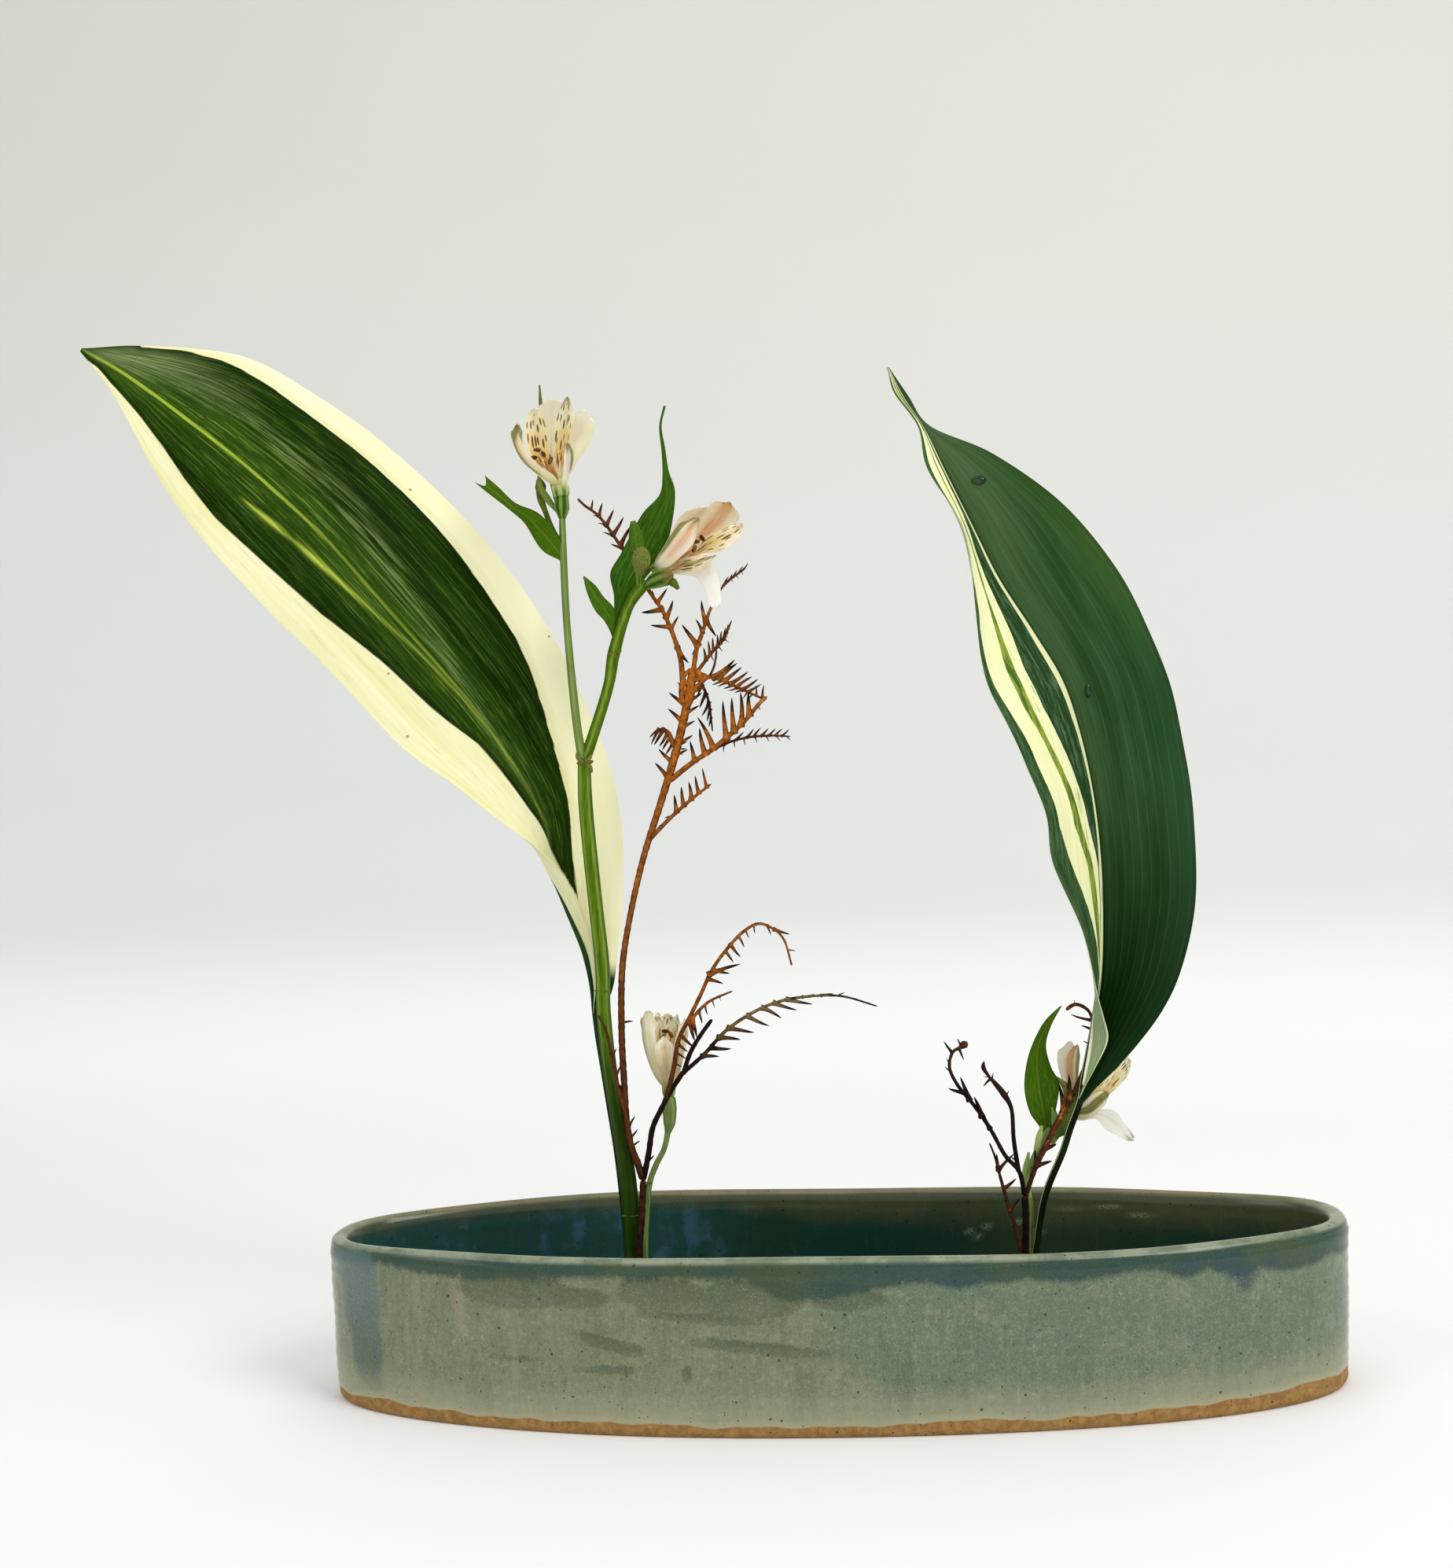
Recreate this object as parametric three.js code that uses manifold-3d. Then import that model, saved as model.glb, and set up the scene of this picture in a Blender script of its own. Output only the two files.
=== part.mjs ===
// Ikebana arrangement: two plant groups standing in pin holders in a long oval stoneware bowl.
// Millimetres, +Z up. The origin is under the middle of the bowl, +X runs along its length and
// the side that is looked at faces -Y. Plant guide points are [x, y, z] in this frame.
import * as THREE from "three";
import { mergeVertices } from "three/addons/utils/BufferGeometryUtils.js";
import Module from "manifold-3d";

const wasm = await Module();
wasm.setup();

// Bowl: long oval, upright wall, rounded rim, slightly drawn in at the clay foot.
// Each profile row is [inset from the outline, height].
const BOWL_HALF_LENGTH = 200;
const BOWL_HALF_WIDTH = 62;
const BOWL_HEIGHT = 64;
const BOWL_OVAL_POWER = 2.06;
const BOWL_FLOOR = 8;
const BOWL_SIDES = 56;
const BOWL_OUTSIDE = [[3.4, 0], [2, 2], [1.5, 9], [0.2, 52], [0.2, 60]];
const BOWL_RIM = [[1.3, 62.8], [3.9, BOWL_HEIGHT], [6.4, 63.2], [7.8, 60.5]];
const BOWL_INSIDE = [[9.2, 20], [12.5, 10.8], [19, BOWL_FLOOR]];

// Slight hand-made unevenness, as [size, waves round the bowl, shift in radians]
const OUTLINE_WAVES = [[0.54, 2, 0.6], [0.36, 5, 1.57]];
const RIM_WAVES = [[0.7, 3, 1], [0.35, 7, 0]];
const RIM_WAVE_START = 44;

// Gap between pieces that touch
const GAP = 0.3;

// Water
const WATER_LEVEL = 31;
const WATER_INSET = 0.5;
const WATER_SIDES = 28;
const STEM_HOLE_CLEARANCE = 0.8;
const STEM_HOLE_SIDES = 8;
const STEM_HOLE_DEPTH = 3;
const POCKET_CLEARANCE = 0.5;

// Pin holders
const HOLDER_RADIUS = 30;
const HOLDER_HEIGHT = 9;
const HOLDER_BEVEL = 1;
const HOLDER_SIDES = 28;
const PIN_LENGTH = 12.5;
const PIN_RADIUS = 0.9;
const PIN_PITCH = 7;
const PIN_FIELD_RADIUS = 26.5;
const PIN_ROOT = 1.5;
const PIN_CLEARANCE = 0.7;
const HOLDER_CENTRES = { left: [-78, 0], right: [78, 1] };
const HOLDER_TOP = BOWL_FLOOR + GAP + HOLDER_HEIGHT;
const STEM_FOOT_CLEARANCE = 0.6;
const STEM_FOOT = HOLDER_TOP + STEM_FOOT_CLEARANCE;

// Thickness of what grows flat
const LEAF_THICKNESS = 0.9;
const SMALL_LEAF_THICKNESS = 0.8;
const TEPAL_THICKNESS = 0.7;

// Sides of what grows round
const STALK_SIDES = 6;
const TALL_STEM_SIDES = 8;
const LIMB_SIDES = 4;

// Points read along a stem to find where it passes
const PATH_SAMPLES = 200;

// Colours from the photograph
const COLOURS = {
  glaze: 0x7c8b78,
  water: 0x5d7a78,
  lead: 0x5b5d60,
  leaf: 0x24481c,
  leafDeep: 0x1f4a2a,
  stem: 0x5c8a35,
  tepal: 0xeadfae,
  tepalPink: 0xe6c4a0,
  twig: 0x8a4a24,
  twigDark: 0x3c2420,
};

function vector(point) {
  return new THREE.Vector3(...point);
}

function curveThrough(points) {
  return new THREE.CatmullRomCurve3(points.map(vector));
}

// Straight-line reading of a list of values, at a fraction of its length
function valueAlong(values, fraction) {
  const place = fraction * (values.length - 1);
  const before = Math.min(Math.floor(place), values.length - 2);
  return THREE.MathUtils.lerp(values[before], values[before + 1], place - before);
}

// Small repeatable random number source
function seededDraw(seed) {
  let state = seed;
  return () => {
    state = (state * 16807) % 2147483647;
    return state / 2147483647;
  };
}

function closedGeometry(points, triangles) {
  const geometry = new THREE.BufferGeometry();
  const numbers = points.flatMap((p) => p.toArray());
  geometry.setAttribute("position", new THREE.Float32BufferAttribute(numbers, 3));
  let volume = 0;
  for (let i = 0; i < triangles.length; i += 3) {
    const [a, b, c] = [points[triangles[i]], points[triangles[i + 1]], points[triangles[i + 2]]];
    volume += a.dot(b.clone().cross(c));
  }
  geometry.setIndex(volume < 0 ? triangles.toReversed() : triangles);
  return geometry;
}

// Skin over a row of rings with equal numbers of points, closed at both ends
function skinOver(rings) {
  const sides = rings[0].length;
  const points = rings.flat();
  const triangles = [];
  for (let ring = 0; ring + 1 < rings.length; ring++) {
    for (let side = 0; side < sides; side++) {
      const here = ring * sides + side;
      const beside = ring * sides + ((side + 1) % sides);
      triangles.push(here, beside, beside + sides, here, beside + sides, here + sides);
    }
  }
  const ends = [rings[0], rings.at(-1)];
  ends.forEach((ring, end) => {
    const middle = ring.reduce((sum, p) => sum.add(p), new THREE.Vector3()).divideScalar(sides);
    const hub = points.push(middle) - 1;
    const first = end === 0 ? 0 : (rings.length - 1) * sides;
    for (let side = 0; side < sides; side++) {
      const here = first + side;
      const beside = first + ((side + 1) % sides);
      triangles.push(...(end === 0 ? [hub, beside, here] : [hub, here, beside]));
    }
  });
  return closedGeometry(points, triangles);
}

// Round stalk along a curve, with its radius read along the guide points
function stalk(points, radii, sides = STALK_SIDES) {
  const curve = curveThrough(points);
  const steps = points.length - 1;
  const rings = [];
  let across = null;
  for (let step = 0; step <= steps; step++) {
    const fraction = step / steps;
    const tangent = curve.getTangent(fraction);
    const reference = across ?? new THREE.Vector3(0, 1, 0);
    across = reference.clone().addScaledVector(tangent, -reference.dot(tangent)).normalize();
    const other = tangent.clone().cross(across);
    const centre = curve.getPoint(fraction);
    const radius = valueAlong(radii, fraction);
    const ring = [];
    for (let side = 0; side < sides; side++) {
      const turn = (side / sides) * Math.PI * 2;
      const offset = across.clone().multiplyScalar(Math.cos(turn) * radius);
      ring.push(offset.addScaledVector(other, Math.sin(turn) * radius).add(centre));
    }
    rings.push(ring);
  }
  return skinOver(rings);
}

// Closed sheet of even thickness round a grid of points, split alike on both faces
function sheet(grid, thickness) {
  const rows = grid.length;
  const columns = grid[0].length;
  const faces = [[], []];
  for (let row = 0; row < rows; row++) {
    for (let column = 0; column < columns; column++) {
      const above = grid[Math.max(row - 1, 0)][column];
      const below = grid[Math.min(row + 1, rows - 1)][column];
      const before = grid[row][Math.max(column - 1, 0)];
      const after = grid[row][Math.min(column + 1, columns - 1)];
      const normal = below.clone().sub(above).cross(after.clone().sub(before)).normalize();
      faces[0].push(grid[row][column].clone().addScaledVector(normal, thickness / 2));
      faces[1].push(grid[row][column].clone().addScaledVector(normal, -thickness / 2));
    }
  }
  const back = rows * columns;
  const triangles = [];
  for (let row = 0; row + 1 < rows; row++) {
    for (let column = 0; column + 1 < columns; column++) {
      const a = row * columns + column;
      const b = a + 1;
      const c = a + columns;
      const d = c + 1;
      triangles.push(a, b, d, a, d, c);
      triangles.push(back + a, back + d, back + b, back + a, back + c, back + d);
    }
  }
  const rim = [];
  for (let column = 0; column < columns; column++) rim.push(column);
  for (let row = 1; row < rows; row++) rim.push(row * columns + columns - 1);
  for (let column = columns - 2; column >= 0; column--) rim.push((rows - 1) * columns + column);
  for (let row = rows - 2; row > 0; row--) rim.push(row * columns);
  rim.forEach((here, place) => {
    const next = rim[(place + 1) % rim.length];
    triangles.push(here, back + here, next, next, back + here, back + next);
  });
  return closedGeometry([...faces[0], ...faces[1]], triangles);
}

// Leaf blade between two edge curves and a midrib; crease 0 is a round channel, 1 a sharp fold
function leafBlade({ left, middle, right, rows, columns, crease, thickness, tipWidth = 0.7 }) {
  const curves = [left, middle, right].map(curveThrough);
  const grid = [];
  for (let row = 0; row <= rows; row++) {
    const [leftPoint, rib, rightPoint] = curves.map((curve) => curve.getPoint(row / rows));
    const span = rightPoint.clone().sub(leftPoint);
    if (span.length() < tipWidth) span.setLength(tipWidth);
    const sag = rightPoint.clone().add(leftPoint).divideScalar(2).sub(rib);
    const line = [];
    for (let column = 0; column <= columns; column++) {
      const across = (column / columns) * 2 - 1;
      const bend = (1 - crease) * across * across + crease * Math.abs(across);
      line.push(rib.clone().addScaledVector(span, across / 2).addScaledVector(sag, bend));
    }
    grid.push(line);
  }
  return sheet(grid, thickness);
}

function toManifold(geometry) {
  const mesh = new wasm.Mesh({
    numProp: 3,
    vertProperties: new Float32Array(geometry.attributes.position.array),
    triVerts: new Uint32Array(geometry.index.array),
  });
  return new wasm.Manifold(mesh);
}

function fromManifold(solid) {
  const { vertProperties, triVerts } = solid.getMesh();
  const geometry = new THREE.BufferGeometry();
  geometry.setAttribute("position", new THREE.Float32BufferAttribute(vertProperties, 3));
  geometry.setIndex(Array.from(triVerts));
  return geometry;
}

function fuse(geometries) {
  return fromManifold(geometries.map(toManifold).reduce((whole, piece) => whole.add(piece)));
}

function cutFrom(geometry, cutters) {
  const whole = toManifold(geometry);
  return fromManifold(cutters.map(toManifold).reduce((rest, cutter) => rest.subtract(cutter), whole));
}

// A three.js primitive with its shared corners merged
function merged(geometry) {
  geometry.deleteAttribute("normal");
  geometry.deleteAttribute("uv");
  return mergeVertices(geometry);
}

function namedMesh(name, geometry, colour, roughness, metalness = 0) {
  const material = new THREE.MeshStandardMaterial({ color: colour, roughness, metalness });
  const mesh = new THREE.Mesh(geometry, material);
  mesh.name = name;
  return mesh;
}

function waveAt(waves, turn) {
  return waves.reduce((sum, [size, count, shift]) => sum + size * Math.sin(count * turn + shift), 0);
}

// Bowl and water share this oval outline
function ovalPoint(turn, inset, height) {
  const unevenInset = inset + waveAt(OUTLINE_WAVES, turn);
  const power = 2 / BOWL_OVAL_POWER;
  const along = Math.cos(turn);
  const across = Math.sin(turn);
  const x = (BOWL_HALF_LENGTH - unevenInset) * Math.sign(along) * Math.abs(along) ** power;
  const y = (BOWL_HALF_WIDTH - unevenInset) * Math.sign(across) * Math.abs(across) ** power;
  const rise = Math.max(0, (height - RIM_WAVE_START) / (BOWL_HEIGHT - RIM_WAVE_START));
  return new THREE.Vector3(x, y, height + rise * waveAt(RIM_WAVES, turn));
}

function ovalRing(inset, height, sides) {
  const turns = Array.from({ length: sides }, (_, side) => (side / sides) * Math.PI * 2);
  return turns.map((turn) => ovalPoint(turn, inset, height));
}

function bowlGeometry() {
  const profile = [...BOWL_OUTSIDE, ...BOWL_RIM, ...BOWL_INSIDE];
  return skinOver(profile.map(([inset, height]) => ovalRing(inset, height, BOWL_SIDES)));
}

// Water with a plain hole for every stem and a pocket under its surface for each pin holder
function waterGeometry(stems) {
  const [[wallInset, wallFoot]] = BOWL_INSIDE;
  const [rimInset, rimFoot] = BOWL_RIM.at(-1);
  const surfaceShare = (WATER_LEVEL - wallFoot) / (rimFoot - wallFoot);
  const surfaceInset = THREE.MathUtils.lerp(wallInset, rimInset, surfaceShare);
  const rows = BOWL_INSIDE.toReversed().map(([inset, height]) => [inset + WATER_INSET, height + GAP]);
  rows.push([surfaceInset + WATER_INSET, WATER_LEVEL]);
  const body = skinOver(rows.map(([inset, height]) => ovalRing(inset, height, WATER_SIDES)));
  const pinTop = HOLDER_TOP + PIN_LENGTH + GAP;
  const pocketRadius = HOLDER_RADIUS + POCKET_CLEARANCE;
  const pockets = Object.values(HOLDER_CENTRES).map(([x, y]) => {
    const pocket = new THREE.CylinderGeometry(pocketRadius, pocketRadius, pinTop, HOLDER_SIDES);
    return merged(pocket.rotateX(Math.PI / 2).translate(x, y, pinTop / 2));
  });
  const holes = stems.map(({ path, radius }) => {
    const place = pointAtHeight(path, WATER_LEVEL);
    const holeRadius = radius + STEM_HOLE_CLEARANCE;
    const hole = new THREE.CylinderGeometry(holeRadius, holeRadius, STEM_HOLE_DEPTH * 2, STEM_HOLE_SIDES);
    return merged(hole.rotateX(Math.PI / 2).translate(place.x, place.y, WATER_LEVEL));
  });
  return cutFrom(body, [...pockets, ...holes]);
}

function pointAtHeight(path, height) {
  const samples = curveThrough(path).getPoints(PATH_SAMPLES);
  return samples.reduce((best, p) => (Math.abs(p.z - height) < Math.abs(best.z - height) ? p : best));
}

// Heavy round base with sharp pins in a honeycomb pattern, left out where a stem stands
function pinHolder([centreX, centreY], stems) {
  const top = HOLDER_HEIGHT;
  const profile = [
    [0, 0], [HOLDER_RADIUS - HOLDER_BEVEL, 0], [HOLDER_RADIUS, HOLDER_BEVEL],
    [HOLDER_RADIUS, top - HOLDER_BEVEL], [HOLDER_RADIUS - HOLDER_BEVEL, top], [0, top],
  ].map(([x, y]) => new THREE.Vector2(x, y));
  const base = merged(new THREE.LatheGeometry(profile, HOLDER_SIDES).rotateX(Math.PI / 2));
  base.translate(centreX, centreY, BOWL_FLOOR + GAP);
  const pieces = [base];
  const reach = Math.ceil(PIN_FIELD_RADIUS / PIN_PITCH) + 1;
  for (let row = -reach; row <= reach; row++) {
    for (let column = -reach; column <= reach; column++) {
      const x = (column + (row % 2 ? 0.5 : 0)) * PIN_PITCH;
      const y = row * PIN_PITCH * Math.sin(Math.PI / 3);
      if (Math.hypot(x, y) > PIN_FIELD_RADIUS) continue;
      const root = new THREE.Vector3(centreX + x, centreY + y, HOLDER_TOP - PIN_ROOT);
      if (stems.some((stem) => standsInTheWay(stem, root))) continue;
      pieces.push(spike(root, new THREE.Vector3(0, 0, 1), PIN_LENGTH + PIN_ROOT, PIN_RADIUS));
    }
  }
  return fuse(pieces);
}

function standsInTheWay({ path, radius }, root) {
  return curveThrough(path).getPoints(PATH_SAMPLES).some((p) => {
    const beside = Math.hypot(p.x - root.x, p.y - root.y);
    return p.z < HOLDER_TOP + PIN_LENGTH && beside < radius + PIN_RADIUS + PIN_CLEARANCE;
  });
}

// Three-sided needle with its root at a point and its tip along a direction
function spike(root, direction, length, radius) {
  const helper = Math.abs(direction.z) > 0.9 ? new THREE.Vector3(1, 0, 0) : new THREE.Vector3(0, 0, 1);
  const across = helper.cross(direction).normalize();
  const other = direction.clone().cross(across);
  const points = [0, 1, 2].map((corner) => {
    const turn = (corner / 3) * Math.PI * 2;
    const offset = across.clone().multiplyScalar(Math.cos(turn) * radius);
    return offset.addScaledVector(other, Math.sin(turn) * radius).add(root);
  });
  points.push(root.clone().addScaledVector(direction, length));
  return closedGeometry(points, [0, 2, 1, 0, 1, 3, 1, 2, 3, 2, 0, 3]);
}

// Left aspidistra leaf, tip to base: left edge, midrib and right edge pass through these points.
// Below the last third the left half turns over to the front.
const LEFT_LEAF = {
  left: [
    [-280, -31, 413], [-268, -30, 396], [-253, -30, 367], [-237, -27, 341], [-218, -22, 317],
    [-190, -14, 287], [-161, -8, 253], [-141, -5, 238], [-121, -2, 222], [-105, 0, 206],
    [-96, 2, 191], [-91, 3, 174], [-91, 4, 159], [-92.5, 4, 147],
  ],
  middle: [
    [-280, -30, 414], [-264, -27, 404], [-241, -22, 386], [-219, -16, 367], [-196, -9, 344],
    [-168, -1, 310], [-138, 5, 272], [-122, 8, 247], [-111, 9, 225], [-107, 9, 205],
    [-102, 8, 188], [-96, 7, 171], [-93, 6, 158], [-92, 6, 147],
  ],
  right: [
    [-280, -29, 414.5], [-258, -20, 417], [-223, -10, 414], [-197, 0, 399], [-169, 9, 379],
    [-135, 17, 343], [-106, 21, 299], [-93, 22, 270], [-84, 21, 243], [-80, 19, 214],
    [-81, 17, 190], [-83, 14, 171], [-85.5, 10, 155], [-90.5, 7, 146],
  ],
  keel: [[-112, 10.5, 228], [-107, 10.2, 205], [-102, 9, 188], [-96, 7.8, 171], [-93, 6.5, 158]],
  petiole: [
    [-92, 6, 147], [-91, 6, 137], [-89, 5.2, 123], [-87, 5, 108], [-85, 5, 93], [-83.5, 5, 77],
    [-82, 5, 52], [-81.5, 6.5, STEM_FOOT],
  ],
  rows: 24,
  columns: 8,
  crease: 0.15,
};

// Right aspidistra leaf, folded along its midrib like a half-open book
const RIGHT_LEAF = {
  left: [
    [32, -25, 394], [34, -24, 385], [43, -21, 372], [46, -25, 356], [58, -29, 331], [61, -30, 302],
    [66, -25, 276], [73, -18, 258], [80, -14, 240], [89, -12, 220], [91, -9, 202], [101, -6, 174],
    [107, 0, 152], [110, 2, 140], [111, 3, 132], [106, 4, 121], [99, 3.5, 109],
  ],
  middle: [
    [32, -24, 394], [38, -20, 383], [45, -16, 373], [53, -11, 357], [63, -5, 337], [74, 1, 315],
    [88, 6, 293], [99, 10, 274], [106, 14, 252], [111, 17, 225], [113, 18, 197], [112, 16, 167],
    [110, 13, 152], [107, 10, 140], [104, 8, 127], [101, 6, 115], [99, 5, 107],
  ],
  right: [
    [32.5, -23, 394.5], [40, -19, 384], [47, -15, 374], [72, -12, 362], [99, -8, 342], [119, -6, 316],
    [131, -4, 292], [139, -3, 271], [143, -2, 246], [146, -2, 218], [146, -2, 184], [139, -1, 158],
    [131, 0, 142], [123, 1, 131], [114, 2, 121], [105, 4, 112], [100, 5, 106],
  ],
  keel: [[113, 18.6, 197], [112, 16.8, 167], [107, 11, 140], [101, 6.6, 115]],
  petiole: [[99.5, 5, 108], [95, 4, 97], [92, 3, 89], [84, 2, 71], [80, 1, 52], [74, 2.5, STEM_FOOT]],
  rows: 26,
  columns: 8,
  crease: 0.55,
};
const PETIOLE_RADIUS = 1.5;
const KEEL_TIP_RADIUS = 0.5;

function largeLeaf(leaf) {
  const blade = leafBlade({ ...leaf, thickness: LEAF_THICKNESS });
  const rib = [...leaf.keel, ...leaf.petiole];
  const radii = rib.map((_, place) => {
    const grown = Math.min(1, place / leaf.keel.length);
    return THREE.MathUtils.lerp(KEEL_TIP_RADIUS, PETIOLE_RADIUS, grown);
  });
  return fuse([blade, stalk(rib, radii)]);
}

// Tall alstroemeria: one stem that forks, with its leaves, bracts and ovaries
const TALL_STEM = [
  [-92, -4, 250], [-92, -4, 232], [-89.5, -3, 193.5], [-87.5, -2, 166], [-87.5, -2, 149],
  [-85.5, -1, 122.5], [-81, 0, 91], [-79.3, 0, 69], [-79, 0, 53.5], [-78, 0, STEM_FOOT],
];
const TALL_STEM_RADII = [2.5, 2.8, 2.8, 2.9, 2.8, 2.8, 3.2, 3.5, 3, 3.1];
const LEFT_BRANCH = [
  [-92, -4, 248], [-93.5, -5, 256], [-96.5, -8, 300.5], [-97, -9, 331.5], [-97, -9, 345],
];
const LEFT_BRANCH_RADII = [2.2, 1.7, 1.4, 1.4, 1.2];
const LEFT_OVARY = [[-97, -9, 344], [-97, -9.2, 348], [-97, -9.4, 353.3]];
const RIGHT_BRANCH = [
  [-92, -4, 248], [-88.5, -4, 257], [-81, -5, 278.5], [-78.5, -6, 290.5], [-71.5, -8, 309],
  [-64.5, -10, 318],
];
const RIGHT_BRANCH_RADII = [2.4, 2.2, 2.1, 2.5, 1.9, 2.6];
const OVARY_RADII = [1.3, 3, 2.6];

const SIDE_BRACT = [
  [-97.5, -9, 332.5], [-102, -7, 342], [-104.5, -5, 348.5], [-106, -4, 353], [-106, -4, 358],
  [-106.8, -4, 361.5],
];
const SIDE_BRACT_RADII = [0.9, 0.9, 1, 1.4, 2.2, 0.8];
const REAR_BRACT = {
  left: [[-98.8, -8, 345], [-102.8, 0, 360], [-105.2, 2, 376], [-106.3, 0, 391], [-105.8, -2, 399]],
  middle: [[-98, -8, 345], [-101.5, 0.4, 360], [-104, 2.4, 376], [-105.5, 0.3, 391], [-105.5, -2, 399]],
  right: [[-97.2, -8, 345], [-100.2, 0, 360], [-102.8, 2, 376], [-104.7, 0, 391], [-105.2, -2, 399]],
  rows: 8,
  columns: 2,
};
const FORKED_LEAF = {
  left: [
    [-98.5, -9, 327.5], [-105.5, -8, 332], [-112.5, -8, 343.5], [-117.5, -10, 348], [-126, -12, 355],
    [-130.5, -13, 359],
  ],
  middle: [
    [-97.5, -9, 329], [-102, -9.5, 335], [-109, -10.5, 343.5], [-117, -11, 350], [-123.5, -12, 355.5],
    [-126.5, -13, 357.5],
  ],
  right: [
    [-97, -9, 330.5], [-98.5, -11, 337.5], [-106, -12.5, 346], [-115, -12, 350.5], [-121.5, -12, 357],
    [-126.5, -13, 361.5],
  ],
  rows: 10,
  columns: 4,
};
const TALL_LEAF = {
  left: [
    [-55.5, -10, 386.5], [-57.5, -9, 379], [-57, -8, 369.5], [-57, -6, 360.5], [-58.5, -4, 353],
    [-65.5, -1, 346.5],
    [-71, 0, 338], [-75.5, 0, 330], [-79.5, -1, 323], [-78, -4, 313], [-78.2, -6, 303], [-79, -6, 292],
  ],
  middle: [
    [-55, -10, 386.5], [-57, -9, 379], [-56.5, -8, 370], [-56, -6.5, 360.5], [-55.5, -5, 353.5],
    [-59.5, -3.5, 344],
    [-63.5, -2.5, 335], [-68, -2.5, 326.5], [-73, -3.5, 318], [-75.5, -5, 311], [-77.2, -6.4, 302.5],
    [-78.5, -6, 292],
  ],
  right: [
    [-54.5, -10, 386.5], [-56.5, -9, 379], [-55.5, -8, 370.5], [-54.5, -6, 361.5], [-52.5, -4, 354.5],
    [-54, -2, 342.5],
    [-56.5, -1, 334], [-61.5, 0, 325.5], [-68, -1, 317.5], [-72.5, -4, 311.5], [-76.2, -6, 303],
    [-78, -6, 292],
  ],
  rows: 15,
  columns: 4,
};
const SMALL_LEAF = {
  left: [
    [-89, -12, 320], [-87.5, -12, 313.5], [-84.5, -11, 306.5], [-81.5, -10, 303], [-79, -7, 297],
    [-79, -6, 291],
  ],
  middle: [
    [-89, -12, 320.5], [-86, -11.3, 315.5], [-83, -10.3, 310], [-80, -9.2, 305.5], [-78.5, -7, 298],
    [-78.5, -6, 291],
  ],
  right: [
    [-88.5, -12, 320.5], [-84.5, -11, 317], [-81.5, -10, 312.5], [-77.5, -9, 307.5], [-77.8, -7, 299],
    [-78, -6, 291],
  ],
  rows: 8,
  columns: 4,
};
const BUD_STALK = [
  [-67.5, -9, 313.5], [-67, -12, 318], [-66.3, -13.5, 323], [-66.3, -14, 327], [-67, -14, 331.5],
  [-66.7, -15, 338],
];
const BUD_STALK_RADII = [1, 1.2, 2.2, 2.5, 1.7, 2.2];
const GREEN_BUD = [[-64, -11, 316], [-60.5, -15.5, 317], [-56.5, -19, 318], [-53, -21, 318.5]];
const GREEN_BUD_RADII = [1.4, 3, 3.6, 2];

function tallStem() {
  const leaves = [REAR_BRACT, FORKED_LEAF, TALL_LEAF, SMALL_LEAF].map((leaf) =>
    leafBlade({ ...leaf, crease: 0.3, thickness: SMALL_LEAF_THICKNESS }));
  return fuse([
    stalk(TALL_STEM, TALL_STEM_RADII, TALL_STEM_SIDES),
    stalk(LEFT_BRANCH, LEFT_BRANCH_RADII),
    stalk(RIGHT_BRANCH, RIGHT_BRANCH_RADII),
    stalk(LEFT_OVARY, OVARY_RADII),
    stalk(SIDE_BRACT, SIDE_BRACT_RADII),
    stalk(BUD_STALK, BUD_STALK_RADII),
    stalk(GREEN_BUD, GREEN_BUD_RADII),
    ...leaves,
  ]);
}

// Short alstroemeria stem of the left group, ending in its ovary
const SHORT_STEM = [
  [-63.5, 8, 113.7], [-63.5, 8, 108], [-63.7, 8, 102], [-64.5, 8, 98], [-66, 7, 92], [-69.5, 6, 85.5],
  [-72, 5, 79], [-73.5, 4, 67], [-74.5, 3, 53], [-75, 6, STEM_FOOT],
];
const SHORT_STEM_RADII = [2.4, 2.9, 2.4, 1.1, 1, 1.1, 1.1, 1.1, 1.2, 1.2];

// Low alstroemeria stem of the right group, with one leaf
const LOW_STEM = [
  [94.2, 16.6, 99.6], [91, 15, 97], [87, 13, 93.8], [83, 10, 88], [80, 8, 82], [78.3, 6, 74],
  [79, 5, 65], [78.5, 5, 50], [79.5, 7.5, STEM_FOOT],
];
const LOW_STEM_RADII = [2.6, 2.8, 1.7, 1.2, 1.1, 1.1, 1, 1.1, 1.2];
const LOW_LEAF = {
  left: [
    [94, 12, 144.5], [87.5, 11, 138.5], [82, 10, 129], [79.5, 9, 121.5], [78.5, 9, 112],
    [80.5, 10, 102.5],
    [84, 11.5, 97], [86.3, 13, 92.5],
  ],
  middle: [
    [94.3, 12, 144.5], [89, 12, 138], [85, 12, 129], [84, 12, 120.5], [84.5, 12, 112],
    [85.8, 12.2, 103.5],
    [86.5, 12.8, 97], [87, 13, 92.5],
  ],
  right: [
    [94.6, 12, 144.5], [90, 11, 137], [87.5, 10, 129.5], [89, 9, 121], [92, 9, 114.5], [91, 10, 105.5],
    [89, 11.5, 97.5], [87.6, 13, 93],
  ],
  rows: 14,
  columns: 4,
};

function lowStem() {
  return fuse([
    stalk(LOW_STEM, LOW_STEM_RADII),
    leafBlade({ ...LOW_LEAF, crease: 0.3, thickness: SMALL_LEAF_THICKNESS }),
  ]);
}

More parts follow.
